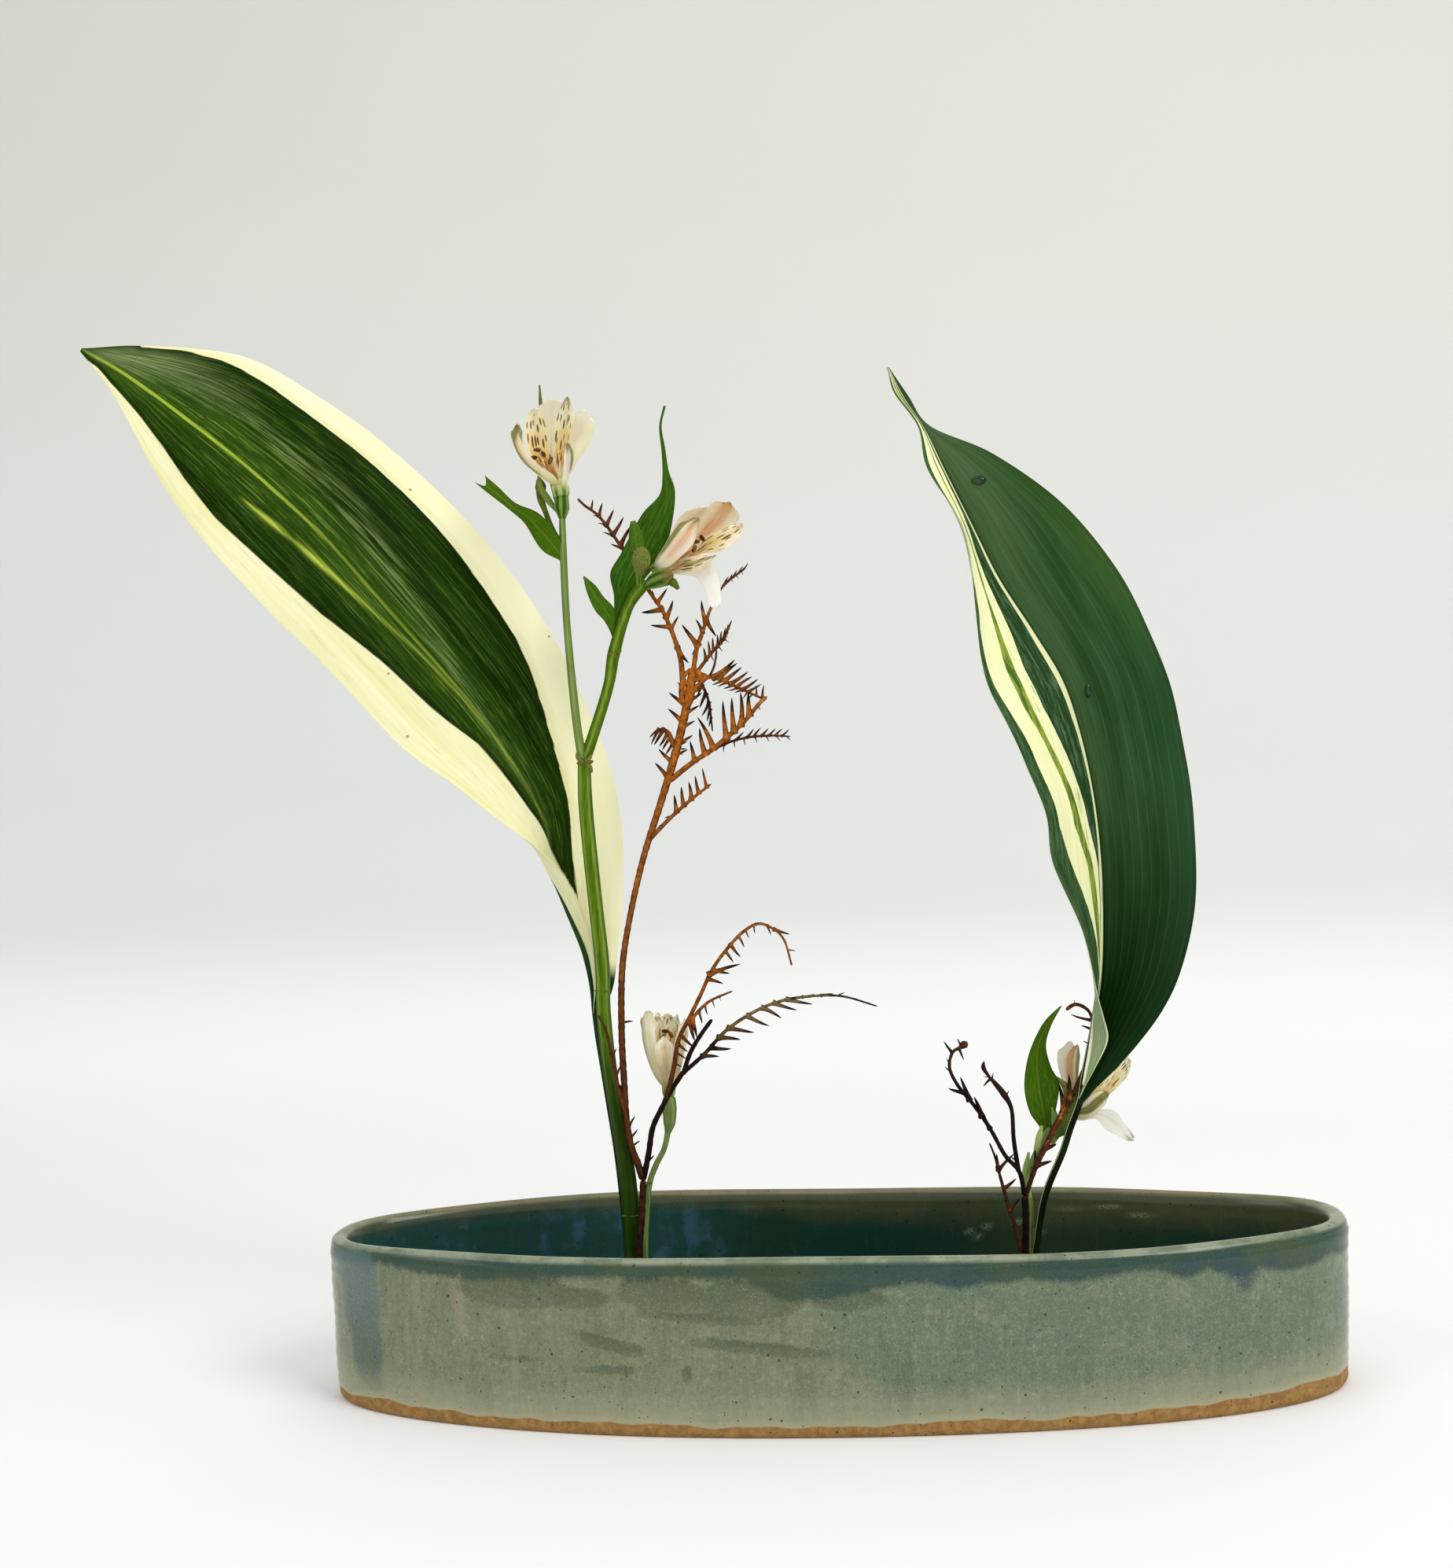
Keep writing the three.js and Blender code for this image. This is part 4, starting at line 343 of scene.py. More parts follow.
# Limbs of the dried twigs as [path, radii, spurs]. A spur is [fraction of the limb, angle,
# length], and a row of spurs is [count, then first and last fraction, angle and length]
LEFT_SPRIG = [
  [[[-77, -7, STEM_FOOT], [-76, -5, 54], [-74.5, -5, 68], [-73.5, -5, 82.5]], [1.3, 1.3], []],
  [
    [[-73.5, -5, 82], [-75.5, -4.5, 88.5], [-78, -4, 95.5], [-79.5, -4, 106], [-80, -3.5, 119],
      [-80.5, -3, 140], [-79.5, -2.5, 165.5], [-76.5, -2, 183], [-70, -1.5, 208.5], [-62, -1, 231.5],
      [-56, -1, 249.5], [-51, -0.5, 268], [-47.5, 0, 284]],
    [1.2, 1.2, 1.1, 1.1, 1.1, 1.1, 1.1, 1, 1.05, 1.2, 1.4, 1.4, 1.6],
    [[0.43, 10, 4.5], [0.3, 105, 6.5], [0.79, 130, 7.5], [0.82, 135, 7], [0.89, 135, 7.5], [0.92, 140, 7.5],
      [5, 0.83, 0.93, 25, 30, 5.5, 6], [3, 0.84, 0.85, 330, 380, 3, 4]],
  ],
  [
    [[-50.5, -0.5, 272.5], [-52, 0, 279], [-52.5, 0, 286.5], [-54, 0.5, 293], [-56.5, 1, 300.5],
      [-59.5, 1.5, 307.5], [-64, 3, 314.5], [-70, 4, 325], [-75.5, 4.5, 334], [-79, 4.5, 339.5],
      [-82, 4.5, 344], [-85.5, 4.5, 348], [-89.5, 4.5, 351], [-92.5, 4, 354]],
    [1.3, 1, 0.8, 0.7, 0.6, 0.5],
    [[0.03, 130, 4], [0.22, 305, 7], [0.3, 60, 5.5], [0.31, 175, 6.5], [0.35, 70, 7], [0.39, 185, 8],
      [0.42, 55, 6], [0.44, 105, 3.5], [5, 0.62, 0.88, 55, 80, 8.5, 4], [4, 0.61, 0.82, 155, 170, 4.5, 2]],
  ],
  [
    [[-48, 0, 281], [-46, 0.5, 292], [-44, 0.5, 297], [-40, 1, 307.5], [-35, 1.5, 316], [-26, 2, 323]],
    [1, 0.9, 0.5, 0.4],
    [[0.23, 125, 8.5], [0.42, 115, 5.5], [0.5, 100, 8], [0.51, 300, 6.5], [0.22, 235, 3.5],
      [5, 0.81, 0.99, 60, 55, 3.5, 2.5], [3, 0.88, 0.97, 300, 295, 1.5, 1.5]],
  ],
  [[[-48, 0, 280], [-40.5, -2, 289], [-35, -4, 294.5], [-32.5, -6, 300]], [0.8, 0.6, 0.4],
    [[9, 0.24, 0.9, 100, 65, 5, 3.5], [3, 0.33, 0.69, 295, 315, 2.5, 2]]],
  [
    [[-50, -0.5, 273], [-46, -1, 276.5], [-42, -1, 280], [-36.5, -2.5, 278.5], [-29.5, -3.5, 275],
      [-23.5, -4.5, 272], [-19.5, -5, 270]],
    [1.2, 1, 0.7, 0.5, 0.4],
    [[7, 0.41, 0.76, 40, 30, 9.5, 5.5], [5, 0.51, 0.71, 200, 195, 4, 3.5], [2, 0.75, 0.81, 235, 230, 3, 2.5],
      [2, 0.86, 0.96, 90, 80, 3.5, 5]],
  ],
  [
    [[-59, -1, 239], [-48.5, -3, 246.5], [-41, -4.5, 251], [-28, -6, 261.5], [-21, -8, 269],
      [-18.5, -8.5, 271]],
    [1.2, 1, 1, 0.8, 0.7],
    [[2, 0.21, 0.33, 100, 100, 7, 9], [0.41, 115, 12], [3, 0.49, 0.58, 95, 90, 13.5, 11.5], [0.66, 90, 8.5],
      [0.76, 290, 2]],
  ],
  [
    [[-44, -4, 249], [-35, -2, 253.5], [-27, 0, 255.5], [-18, 2, 256], [-10, 4, 255.5]],
    [0.45, 0.5, 0.5, 0.3],
    [[2, 0.22, 0.36, 15, 45, 4, 4], [6, 0.49, 0.89, 50, 40, 4, 3.5], [7, 0.21, 0.95, 265, 310, 2.5, 2]],
  ],
  [[[-68, -1.5, 215.5], [-59, -4, 224], [-50.5, -6, 231], [-41.5, -8, 237.5]], [1, 0.8, 0.7, 0.45],
    [[2, 0.29, 0.4, 205, 195, 3, 3], [5, 0.46, 0.93, 95, 100, 6.5, 6.5]]],
  [[[-55, -1, 251.5], [-57, 0, 255], [-59, 1.5, 259], [-62.5, 3, 260], [-66.5, 4.5, 257]],
    [1.3, 1.1, 0.8, 0.5, 0.3], [[5, 0.21, 0.75, 235, 240, 5, 6.5]]],
  [
    [[-77.8, -4, 95], [-78.5, -5.5, 100], [-79, -6.5, 106.5], [-81.5, -7, 116.5], [-84, -7, 129.5],
      [-86, -7.5, 141], [-89, -8, 148]],
    [1.1, 0.9, 0.7, 0.4],
    [[2, 0.69, 0.59, 60, 65, 3.5, 4.5], [3, 0.24, 0.01, 60, 35, 4.5, 4]],
  ],
  [
    [[-73.5, -5, 82], [-71, -5, 93], [-69, -5.5, 103], [-65.5, -5.5, 110], [-62.5, -6, 115.5],
      [-56, -6, 125]],
    [1.2, 1],
    [[0.33, 75, 4.5], [0.12, 45, 4]],
  ],
  [
    [[-63.5, -6, 113.5], [-60, -7, 126], [-57.5, -8, 137.5], [-53, -8.5, 146], [-48, -9.5, 155.5],
      [-43.5, -10.5, 164.5], [-37.5, -11.5, 172.5], [-30.5, -12.5, 179.5], [-24.5, -13.5, 182.5],
      [-19, -14, 180.5], [-15, -15, 176.5], [-12, -16, 166]],
    [1, 0.8, 0.6, 0.4],
    [[4, 0.11, 0.2, 330, 315, 3, 6], [2, 0.42, 0.46, 340, 345, 6, 6], [2, 0.44, 0.54, 15, -55, 11, 5],
      [3, 0.57, 0.65, 305, 290, 5.5, 3], [2, 0.83, 0.95, 340, 350, 6, 2.5],
      [2, 0.7, 0.78, 275, 290, 3, 3.5]],
  ],
  [[[-54, -8.2, 143.5], [-45.5, -10, 152], [-35.5, -12, 156.5]], [0.8, 0.35],
    [[5, 0.14, 0.74, 280, 290, 5.5, 1.5], [2, 0.07, 0.11, 280, 285, 7.5, 6.5]]],
  [[[-56.5, -6, 123], [-53.5, -4.5, 131.5], [-49.5, -3.5, 138], [-44.5, -2, 144.5]], [1, 0.8], []],
  [
    [[-56.5, -6, 124], [-48, -4.5, 131], [-39, -2.5, 140], [-27.5, -1, 147], [-17.5, 1, 150.5],
      [-6, 2.5, 152], [7, 4.5, 151.5], [21, 6, 147]],
    [0.9, 0.7, 0.6, 0.35],
    [[3, 0.13, 0.24, 0, -10, 6.5, 7.5], [2, 0.3, 0.39, 345, 335, 8.5, 8],
      [3, 0.47, 0.61, 330, 350, 7.5, 8.5], [3, 0.6, 0.77, 15, 5, 4, 4], [0.84, 25, 2.5]],
  ],
  [[[-45, -1, 278.5], [-43, -2.5, 274], [-41.5, -3.5, 269], [-41, -4.5, 264], [-40.5, -5.5, 258]],
    [0.7, 0.5, 0.3],
    [[2, 0.1, 0.28, 245, 245, 4.5, 6], [0.46, 240, 5.5], [2, 0.6, 0.77, 255, 255, 4.5, 3.5]]],
  [[[-48.5, 0, 283], [-45.5, -0.5, 281.5], [-42, -1, 280]], [1.1, 1.1, 0.9], []],
  [[[-41.5, -1, 280], [-39.5, -2, 283.5], [-38.5, -3, 287], [-38, -3, 290.5]], [0.5, 0.4], []],
]
RIGHT_SPRIG = [
  [[[75, -5, STEM_FOOT], [75.5, -2, 52], [76, -1.5, 63.5], [76, -1, 72.5]], [1.4, 1.3], []],
  [
    [[76, -1, 72], [74, -1.5, 82], [69, -2.5, 88], [63.5, -3.5, 98.5], [57.5, -4, 108], [50.5, -5, 117.5],
      [48, -5.5, 124], [49.5, -6.5, 130], [52, -7, 131.5], [54, -8, 133], [55, -8.5, 134]],
    [1, 0.9, 0.85, 0.8, 0.75, 0.7, 0.65, 0.6, 0.7, 1.7, 0.7],
    [[0.46, 160, 6], [0.43, 110, 8.5], [2, 0.36, 0.31, 110, 110, 8, 6], [2, 0.26, 0.24, 125, 110, 2.5, 3.5],
      [2, 0.57, 0.61, 135, 110, 2.5, 2.5], [0.69, 125, 4.5], [0.79, 290, 4], [0.83, 115, 3.5]],
  ],
  [
    [[74, -1, 81], [72.5, -0.5, 94], [72, 1, 106.5], [69.5, 2, 111.5], [66.5, 3, 115.5], [64, 4, 118.5],
      [62, 4.5, 122], [62.5, 5, 124.5]],
    [1, 0.85, 0.8, 1.3, 1, 0.55, 1, 0.2],
    [[0.39, 65, 2.5], [2, 0.67, 0.7, 225, 175, 4, 2], [0.64, 80, 2.5], [0.05, 145, 3]],
  ],
  [
    [[76, -1, 71], [78.5, 0, 77.5], [81.5, 2, 84], [85.5, 4, 90.5], [91, 6.5, 100], [97, 9, 109],
      [103.5, 12, 122], [107, 14, 132.5], [107, 14.5, 138], [105, 13.5, 142.5], [100, 12, 145],
      [96, 11, 143]],
    [1, 1.1, 1.3, 1.5, 1.4, 1.1, 0.8, 0.5, 0.5, 0.5, 0.45, 0.4],
    [[0.17, 15, 7.5], [0.26, 20, 8], [0.18, 95, 5.5], [0.4, 100, 11], [0.44, 90, 9.5], [0.73, 165, 7.5],
      [0.66, 155, 5.5], [0.6, 155, 3], [0.91, 100, 1.5]],
  ],
]
RIGHT_TWIG = [
  [[[74.5, 8, STEM_FOOT], [74, 4.5, 52], [70, 3, 67], [67, 2, 79], [65, 1, 87.5], [63, 0, 93]],
    [0.9, 0.8, 0.7, 0.5, 0.35], [[0.69, 95, 5], [0.66, 40, 7.5], [0.52, 35, 6], [0.38, 45, 5.5]]],
]

LEAF_THICKNESS = 0.55
SMALL_LEAF_THICKNESS = 0.45
TEPAL_THICKNESS = 0.3
PETIOLE_RADIUS = 1.5
KEEL_TIP_RADIUS = 0.5


# Curves

def unit(vectors):
    size = np.linalg.norm(vectors, axis=-1, keepdims=True)
    return vectors / np.where(size < 1e-9, 1, size)


def spline(points, fractions):
    """Centripetal Catmull-Rom curve through the points, at fractions of their count"""
    points = np.asarray(points, float)
    fractions = np.atleast_1d(fractions)
    last = len(points) - 1
    place = fractions * last
    before = np.clip(place.astype(int), 0, last - 1)
    w = (place - before)[:, None]
    padded = np.vstack([2 * points[0] - points[1], points, 2 * points[-1] - points[-2]])
    p0, p1, p2, p3 = (padded[before + step] for step in range(4))

    def knot(a, b):
        gap = np.sqrt(np.linalg.norm(a - b, axis=1))[:, None]
        return np.where(gap < 1e-4, 1, gap)

    d0, d1, d2 = knot(p0, p1), knot(p1, p2), knot(p2, p3)
    t1 = ((p1 - p0) / d0 - (p2 - p0) / (d0 + d1) + (p2 - p1) / d1) * d1
    t2 = ((p2 - p1) / d1 - (p3 - p1) / (d1 + d2) + (p3 - p2) / d2) * d1
    curve = p1 + t1 * w + (-3 * p1 + 3 * p2 - 2 * t1 - t2) * w ** 2
    return curve + (2 * p1 - 2 * p2 + t1 + t2) * w ** 3


def values_along(values, fractions):
    return np.interp(fractions, np.linspace(0, 1, len(values)), values)


def table_along(table, fractions):
    """Reads a table of [place, value] pairs"""
    places, values = zip(*table)
    return np.interp(fractions, places, values)


def even_fractions(guide, step):
    """Fractions of a guide curve that lie a step apart along it, and its length"""
    dense = np.linspace(0, 1, 401)
    places = spline(guide, dense)
    run = np.concatenate([[0], np.cumsum(np.linalg.norm(np.diff(places, axis=0), axis=1))])
    count = max(3, int(round(run[-1] / step)) + 1)
    return np.interp(np.linspace(0, run[-1], count), run, dense), run[-1]


def frames_along(places):
    """Tangents and two steady cross directions along a row of places"""
    tangents = unit(np.gradient(places, axis=0))
    across = np.array([0, 1, 0.0])
    sides = []
    for tangent in tangents:
        across = across - tangent * across.dot(tangent)
        across = across / np.linalg.norm(across)
        sides.append(across)
    sides = np.array(sides)
    return tangents, sides, np.cross(tangents, sides)


def smooth_step(value, low, high):
    share = np.clip((value - low) / (high - low), 0, 1)
    return share * share * (3 - 2 * share)


def circle(across, other, sides):
    """Unit circles in the planes of two directions, or of two rows of directions"""
    turn = np.linspace(0, TURN, sides, endpoint=False)[:, None]
    return across[..., None, :] * np.cos(turn) + other[..., None, :] * np.sin(turn)


# Shapes: points in millimetres, faces, and named numbers on the points

class Shape:
    def __init__(self, points, faces, **values):
        self.points = np.asarray(points, float).reshape(-1, 3)
        self.faces = [np.asarray(face, int) for face in faces]
        self.values = {}
        self.set(**values)

    def set(self, **values):
        count = len(self.points)
        for name, numbers in values.items():
            self.values[name] = np.broadcast_to(np.asarray(numbers, float).reshape(-1), (count,)).copy()
        return self


def join(shapes):
    names = sorted({name for shape in shapes for name in shape.values})
    faces = []
    start = 0
    for shape in shapes:
        faces += [face + start for face in shape.faces]
        start += len(shape.points)
    joined = Shape(np.vstack([shape.points for shape in shapes]), faces)
    for name in names:
        joined.values[name] = np.concatenate(
            [shape.values.get(name, np.zeros(len(shape.points))) for shape in shapes])
    return joined


def ring_faces(rings, sides):
    ring, side = np.meshgrid(np.arange(rings - 1), np.arange(sides), indexing="ij")
    here = (ring * sides + side).ravel()
    beside = (ring * sides + (side + 1) % sides).ravel()
    return np.stack([here, beside, beside + sides, here + sides], axis=1)


def closed_rings(rings, **values):
    """Skin over rings of points of one size, closed by a fan at both ends"""
    rings = np.asarray(rings, float)
    count, sides = rings.shape[:2]
    hubs = [rings[0].mean(axis=0), rings[-1].mean(axis=0)]
    points = np.vstack([rings.reshape(-1, 3), hubs])
    hub = count * sides
    side = np.arange(sides)
    after = (side + 1) % sides
    first = np.stack([np.full(sides, hub), after, side], axis=1)
    end = (count - 1) * sides
    last = np.stack([np.full(sides, hub + 1), end + side, end + after], axis=1)
    shape = Shape(points, [ring_faces(count, sides), first, last])
    for name, numbers in values.items():
        numbers = np.broadcast_to(np.asarray(numbers, float), (count, sides))
        ends = [numbers[0].mean(), numbers[-1].mean()]
        shape.values[name] = np.concatenate([numbers.reshape(-1), ends])
    return shape


def tube(guide, radii, sides=14, step=1.0, relief=None, round_ends=True, ridges=0, **values):
    """Round stem along a guide curve. relief(turn, run) is added to its radius."""
    fractions, length = even_fractions(guide, step)
    places = spline(guide, fractions)
    tangents, across, other = frames_along(places)
    run = np.linspace(0, length, len(places))
    radius = values_along(radii, fractions)
    if round_ends:
        to_end = np.minimum(run, length - run)
        share = np.clip(to_end / np.maximum(radius, 0.05), 0.02, 1)
        radius = radius * np.sqrt(1 - (1 - share) ** 2)
    turn = np.linspace(0, TURN, sides, endpoint=False)[None, :]
    swell = 0 * turn if relief is None else relief(turn, run[:, None])
    offset = circle(across, other, sides)
    rings = places[:, None] + offset * (radius[:, None] + swell)[..., None]
    # How far each point lies to the side of the tube as seen from the front; the finishes darken these sides
    # as painted shade
    facing = np.abs(offset[..., 0] * tangents[:, None, 2] - offset[..., 2] * tangents[:, None, 0])
    return closed_rings(rings, run=run[:, None], along=(run / length)[:, None], flank=facing,
                        ridge=np.cos(turn * ridges) if ridges else 0 * turn, **values)


def sheet(grid, thickness, front_relief=0, back_relief=0, **values):
    """Closed thin sheet round a grid of points, with a relief of its own on each face"""
    grid = np.asarray(grid, float)
    rows, columns = grid.shape[:2]
    normal = unit(np.cross(np.gradient(grid, axis=0), np.gradient(grid, axis=1)))
    half = np.broadcast_to(np.asarray(thickness, float) / 2, (rows, columns))
    front = grid + normal * (half + front_relief)[..., None]
    back = grid - normal * (half + back_relief)[..., None]
    row, column = np.meshgrid(np.arange(rows - 1), np.arange(columns - 1), indexing="ij")
    a = (row * columns + column).ravel()
    quads = np.stack([a, a + columns, a + columns + 1, a + 1], axis=1)
    size = rows * columns
    top, bottom = np.arange(columns), (rows - 1) * columns + np.arange(columns)
    left, right = np.arange(rows) * columns, np.arange(rows) * columns + columns - 1
    rim = np.concatenate([top, right[1:], bottom[::-1][1:], left[::-1][1:-1]])
    after = np.roll(rim, -1)
    edge = np.stack([rim, after, after + size, rim + size], axis=1)
    points = np.vstack([front.reshape(-1, 3), back.reshape(-1, 3)])
    shape = Shape(points, [quads, quads[:, ::-1] + size, edge])
    for name, numbers in values.items():
        numbers = np.broadcast_to(np.asarray(numbers, float), (rows, columns)).reshape(-1)
        shape.values[name] = np.concatenate([numbers, numbers])
    shape.values["face"] = np.repeat([1.0, 0.0], size)
    return shape


def blade_grid(leaf, rows, columns, crease, tip_width=0.7):
    """Points of a leaf between its edges and midrib, with along, across and half width in mm"""
    along = np.linspace(0, 1, rows + 1)
    across = np.linspace(-1, 1, columns + 1)
    left, middle, right = (spline(leaf[key], along) for key in ("left", "middle", "right"))
    span = right - left
    width = np.linalg.norm(span, axis=1, keepdims=True)
    span = span * np.maximum(1, tip_width / np.maximum(width, 0.01))
    sag = (left + right) / 2 - middle
    bend = (1 - crease) * across ** 2 + crease * np.abs(across)
    grid = (middle[:, None] + span[:, None] * (across / 2)[None, :, None]
            + sag[:, None] * bend[None, :, None])
    half_width = np.linalg.norm(span, axis=1)[:, None] / 2
    return grid, along[:, None], across[None, :], half_width


# Pieces and materials

def colour(code):
    """Linear colour of a #rrggbb code"""
    channels = [int(code[place:place + 2], 16) / 255 for place in (1, 3, 5)]
    linear = [c / 12.92 if c <= 0.04045 else ((c + 0.055) / 1.055) ** 2.4 for c in channels]
    return (*linear, 1.0)


def add_object(name, data):
    added = bpy.data.objects.new(name, data)
    bpy.context.scene.collection.objects.link(added)
    return added


def make_piece(name, shape, finish, slot, *nodes, sharp=50):
    mesh = bpy.data.meshes.new(name)
    faces = [face.tolist() for group in shape.faces for face in group]
    mesh.from_pydata((shape.points * MM).tolist(), [], faces)
    for value, numbers in shape.values.items():
        attribute = mesh.attributes.new(value, "FLOAT", "POINT")
        attribute.data.foreach_set("value", numbers.astype(np.float32))
    turned = bmesh.new()
    turned.from_mesh(mesh)
    bmesh.ops.recalc_face_normals(turned, faces=turned.faces)
    turned.to_mesh(mesh)
    turned.free()
    mesh.polygons.foreach_set("use_smooth", np.ones(len(mesh.polygons), bool))
    mesh.set_sharp_from_angle(angle=math.radians(sharp))
    piece = add_object(name, mesh)
    mesh.materials.append(finish)
    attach(piece, "root")
    if nodes:
        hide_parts(*nodes)


class Finish:
    """Short way to build one procedural material. A colour is a #rrggbb code or a socket."""

    def __init__(self, name, **sockets):
        self.material = bpy.data.materials.new(name)
        self.material.use_nodes = True
        self.tree = self.material.node_tree
        self.shader = self.tree.nodes["Principled BSDF"]
        self.to(**sockets)

    def node(self, kind, inputs, **settings):
        node = self.tree.nodes.new("ShaderNode" + kind)
        for setting, value in settings.items():
            setattr(node, setting, value)
        for socket, value in inputs.items():
            self.feed(node.inputs[socket], value)
        return node

    def feed(self, socket, value):
        if isinstance(value, bpy.types.NodeSocket):
            self.tree.links.new(value, socket)
        elif isinstance(value, str):
            socket.default_value = colour(value)
        else:
            socket.default_value = value

    def to(self, **sockets):
        for socket, value in sockets.items():
            self.feed(self.shader.inputs[socket.replace("_", " ")], value)
        return self.material

    def value(self, name):
        return self.node("Attribute", {}, attribute_name=name).outputs["Fac"]

    def values(self, *names):
        return [self.value(name) for name in names]

    def place(self, x=1, y=1, z=1):
        """Object coordinates in metres, stretched"""
        here = self.node("TexCoord", {}).outputs["Object"]
        return self.node("Mapping", {"Vector": here, "Scale": (x, y, z)}).outputs["Vector"]

    def split(self, place):
        return self.node("SeparateXYZ", {"Vector": place}).outputs

    def vector(self, x, y, z=0.0):
        return self.node("CombineXYZ", {"X": x, "Y": y, "Z": z}).outputs["Vector"]

    def noise(self, place, scale, detail=3, roughness=0.55):
        inputs = {"Vector": place, "Scale": scale, "Detail": detail, "Roughness": roughness}
        return self.node("TexNoise", inputs).outputs[0]

    def cells(self, place, scale, randomness=1.0, dimensions="3D"):
        """Distance to the nearest cell centre and that cell's own random number"""
        inputs = {"Vector": place, "Scale": scale, "Randomness": randomness}
        node = self.node("TexVoronoi", inputs, voronoi_dimensions=dimensions)
        parts = self.node("SeparateColor", {"Color": node.outputs["Color"]})
        return node.outputs["Distance"], parts.outputs[0]

    def specks(self, place, scale, rarest, widest):
        """1 in round specks of mixed widths, in the cells whose random number passes rarest"""
        distance, chance = self.cells(place, scale)
        width = self.scaled(self.step(chance, rarest, 1.0), 0.0, widest)
        return self.math("LESS_THAN", distance, width)

    def math(self, operation, a, *others):
        for b in others:
            a = self.node("Math", {0: a, 1: b}, operation=operation).outputs[0]
        return a

    def add(self, *terms):
        return self.math("ADD", *terms)

    def times(self, *factors):
        return self.math("MULTIPLY", *factors)

    def size(self, value):
        return self.math("ABSOLUTE", value, 0.0)

    def wobble(self, noise, size):
        """Noise centred on zero"""
        return self.times(self.math("SUBTRACT", noise, 0.5), size)

    def step(self, value, low, high):
        """0 below low, 1 above high, smooth between; low may be above high"""
        inputs = {"Value": value, "From Min": low, "From Max": high}
        return self.node("MapRange", inputs, interpolation_type="SMOOTHSTEP").outputs["Result"]

    def scaled(self, value, low, high):
        """Reads 0 to 1 as low to high"""
        return self.node("MapRange", {"Value": value, "To Min": low, "To Max": high}).outputs["Result"]

    def mix(self, share, a, b):
        return self.node("Mix", {0: share, 6: a, 7: b}, data_type="RGBA").outputs[2]

    def fade(self, value, low, high, a, b):
        """Colour a where a value is below low, b where it is above high"""
        return self.mix(self.step(value, low, high), a, b)

    def paint(self, tone, *coats):
        """Lays coats over a tone. A coat is (share, colour), (share, strength, colour),
        (value, low, high, colour) or (value, low, high, strength, colour)."""
        for share, *limits, coat in coats:
            if len(limits) > 1:
                share = self.step(share, *limits[:2])
            if len(limits) % 2:
                share = self.times(share, limits[-1])
            tone = self.mix(share, tone, coat)
        return tone

    def bump(self, height, depth_mm, strength=1.0):
        inputs = {"Height": height, "Distance": depth_mm * MM, "Strength": strength}
        return self.node("Bump", inputs).outputs["Normal"]


# Bowl

# Places on the outside of the bowl: [distance along the outline from the front middle, height]
BAND_EDGE = [
  [-440, 50], [-400, 54], [-350, 47], [-300, 52], [-250, 49], [-210, 56], [-174, 58], [-146, 56], [-126, 56],
  [-97, 57.5], [-51, 58], [-32, 57.5], [-17, 50], [0, 51], [16, 54.5], [33, 56], [45, 53.5], [53, 55],
  [69, 56], [86, 54], [99, 56], [109, 57], [120, 56], [130, 52.5], [138, 56], [142, 53], [152, 51],
  [160, 54], [168, 51], [183, 51], [192, 54], [206, 52], [250, 51], [300, 53], [350, 48], [400, 52],
  [440, 50],
]
FOOT_EDGE = [
  [-440, 5], [-300, 6], [-196, 4.5], [-178, 6], [-155, 5.1], [-127, 4.4], [-83, 5], [-40, 4], [0, 4.4],
  [23, 4.3], [47, 6], [72, 4.4], [123, 5.6], [150, 5.9], [181, 7.4], [201, 7], [300, 5], [440, 5],
]
# Overlaps of thicker glaze: [along, height, half length, half height, tilt]
OVERLAPS = [
  [-119, 52, 24, 6.5, -0.02], [-95, 50, 14, 4, 0], [-62, 52, 18, 6, -0.05], [-30, 50, 20, 7, 0],
  [-47, 43.6, 25, 1.9, -0.07], [-84, 34.5, 13, 2.3, -0.2], [-78, 32, 10, 2, -0.12],
  [-26, 32.6, 24, 2.3, -0.1], [-40, 34, 12, 1.6, -0.05], [-84, 24, 12, 1.5, 0.02], [6, 51.5, 13, 3.2, -0.2],
  [1, 47.6, 9, 1.6, -0.1], [-54, 23, 1.6, 2.6, 0], [-118, 27, 8, 0.9, 0], [300, 36, 28, 2.4, 0.05],
  [-320, 30, 24, 2, -0.05], [360, 24, 20, 1.6, 0],
]
# Pale scuffs on the inside of the back wall
SCUFFS = [
  [378, 45, 3.5, 1.0, 0.4], [372, 48, 2.5, 0.9, -0.3], [358, 50, 2.5, 1.4, 0.2], [350, 46, 4, 0.9, -0.2],
  [336, 55, 6, 0.6, 0], [318, 57, 5, 0.5, 0.05], [306, 54, 4, 0.5, 0],
]
# Blue runs and pools, written the same way
BLUES = [
  [-191, 55, 13, 9, 0], [-188, 42, 11, 16, 0.06], [-186, 25, 8.5, 18, 0], [-183.5, 12, 6, 5, 0],
  [150, 53, 8, 4.5, -0.1], [152, 49.5, 3.6, 4.6, 0], [144, 57, 7, 4, 0], [129, 57, 5, 3, 0],
  [44, 55.5, 7, 1.8, 0], [163, 55, 4, 3, 0], [330, 52, 16, 6, 0], [-290, 50, 12, 8, 0],
]

# Rows of the bowl's mesh between one corner of its profile and the next
ROWS_BETWEEN_CORNERS = [3, 4, 30, 6, 5, 5, 5, 5, 22, 8, 5]
RIM_SHARE = (len(BOWL_OUTSIDE) + 1) / len(ROWS_BETWEEN_CORNERS)
DISC_SHARES = np.array([0.02, 0.25, 0.5, 0.75, 0.9])
# Distances in mm that stand for well inside or outside every mark
FAR_INSIDE, FAR_OUTSIDE, FAR_ABOVE_FOOT = 9, -9, 60


def waves(rows, turn):
    return sum(size * np.sin(count * turn + shift) for size, count, shift in rows)


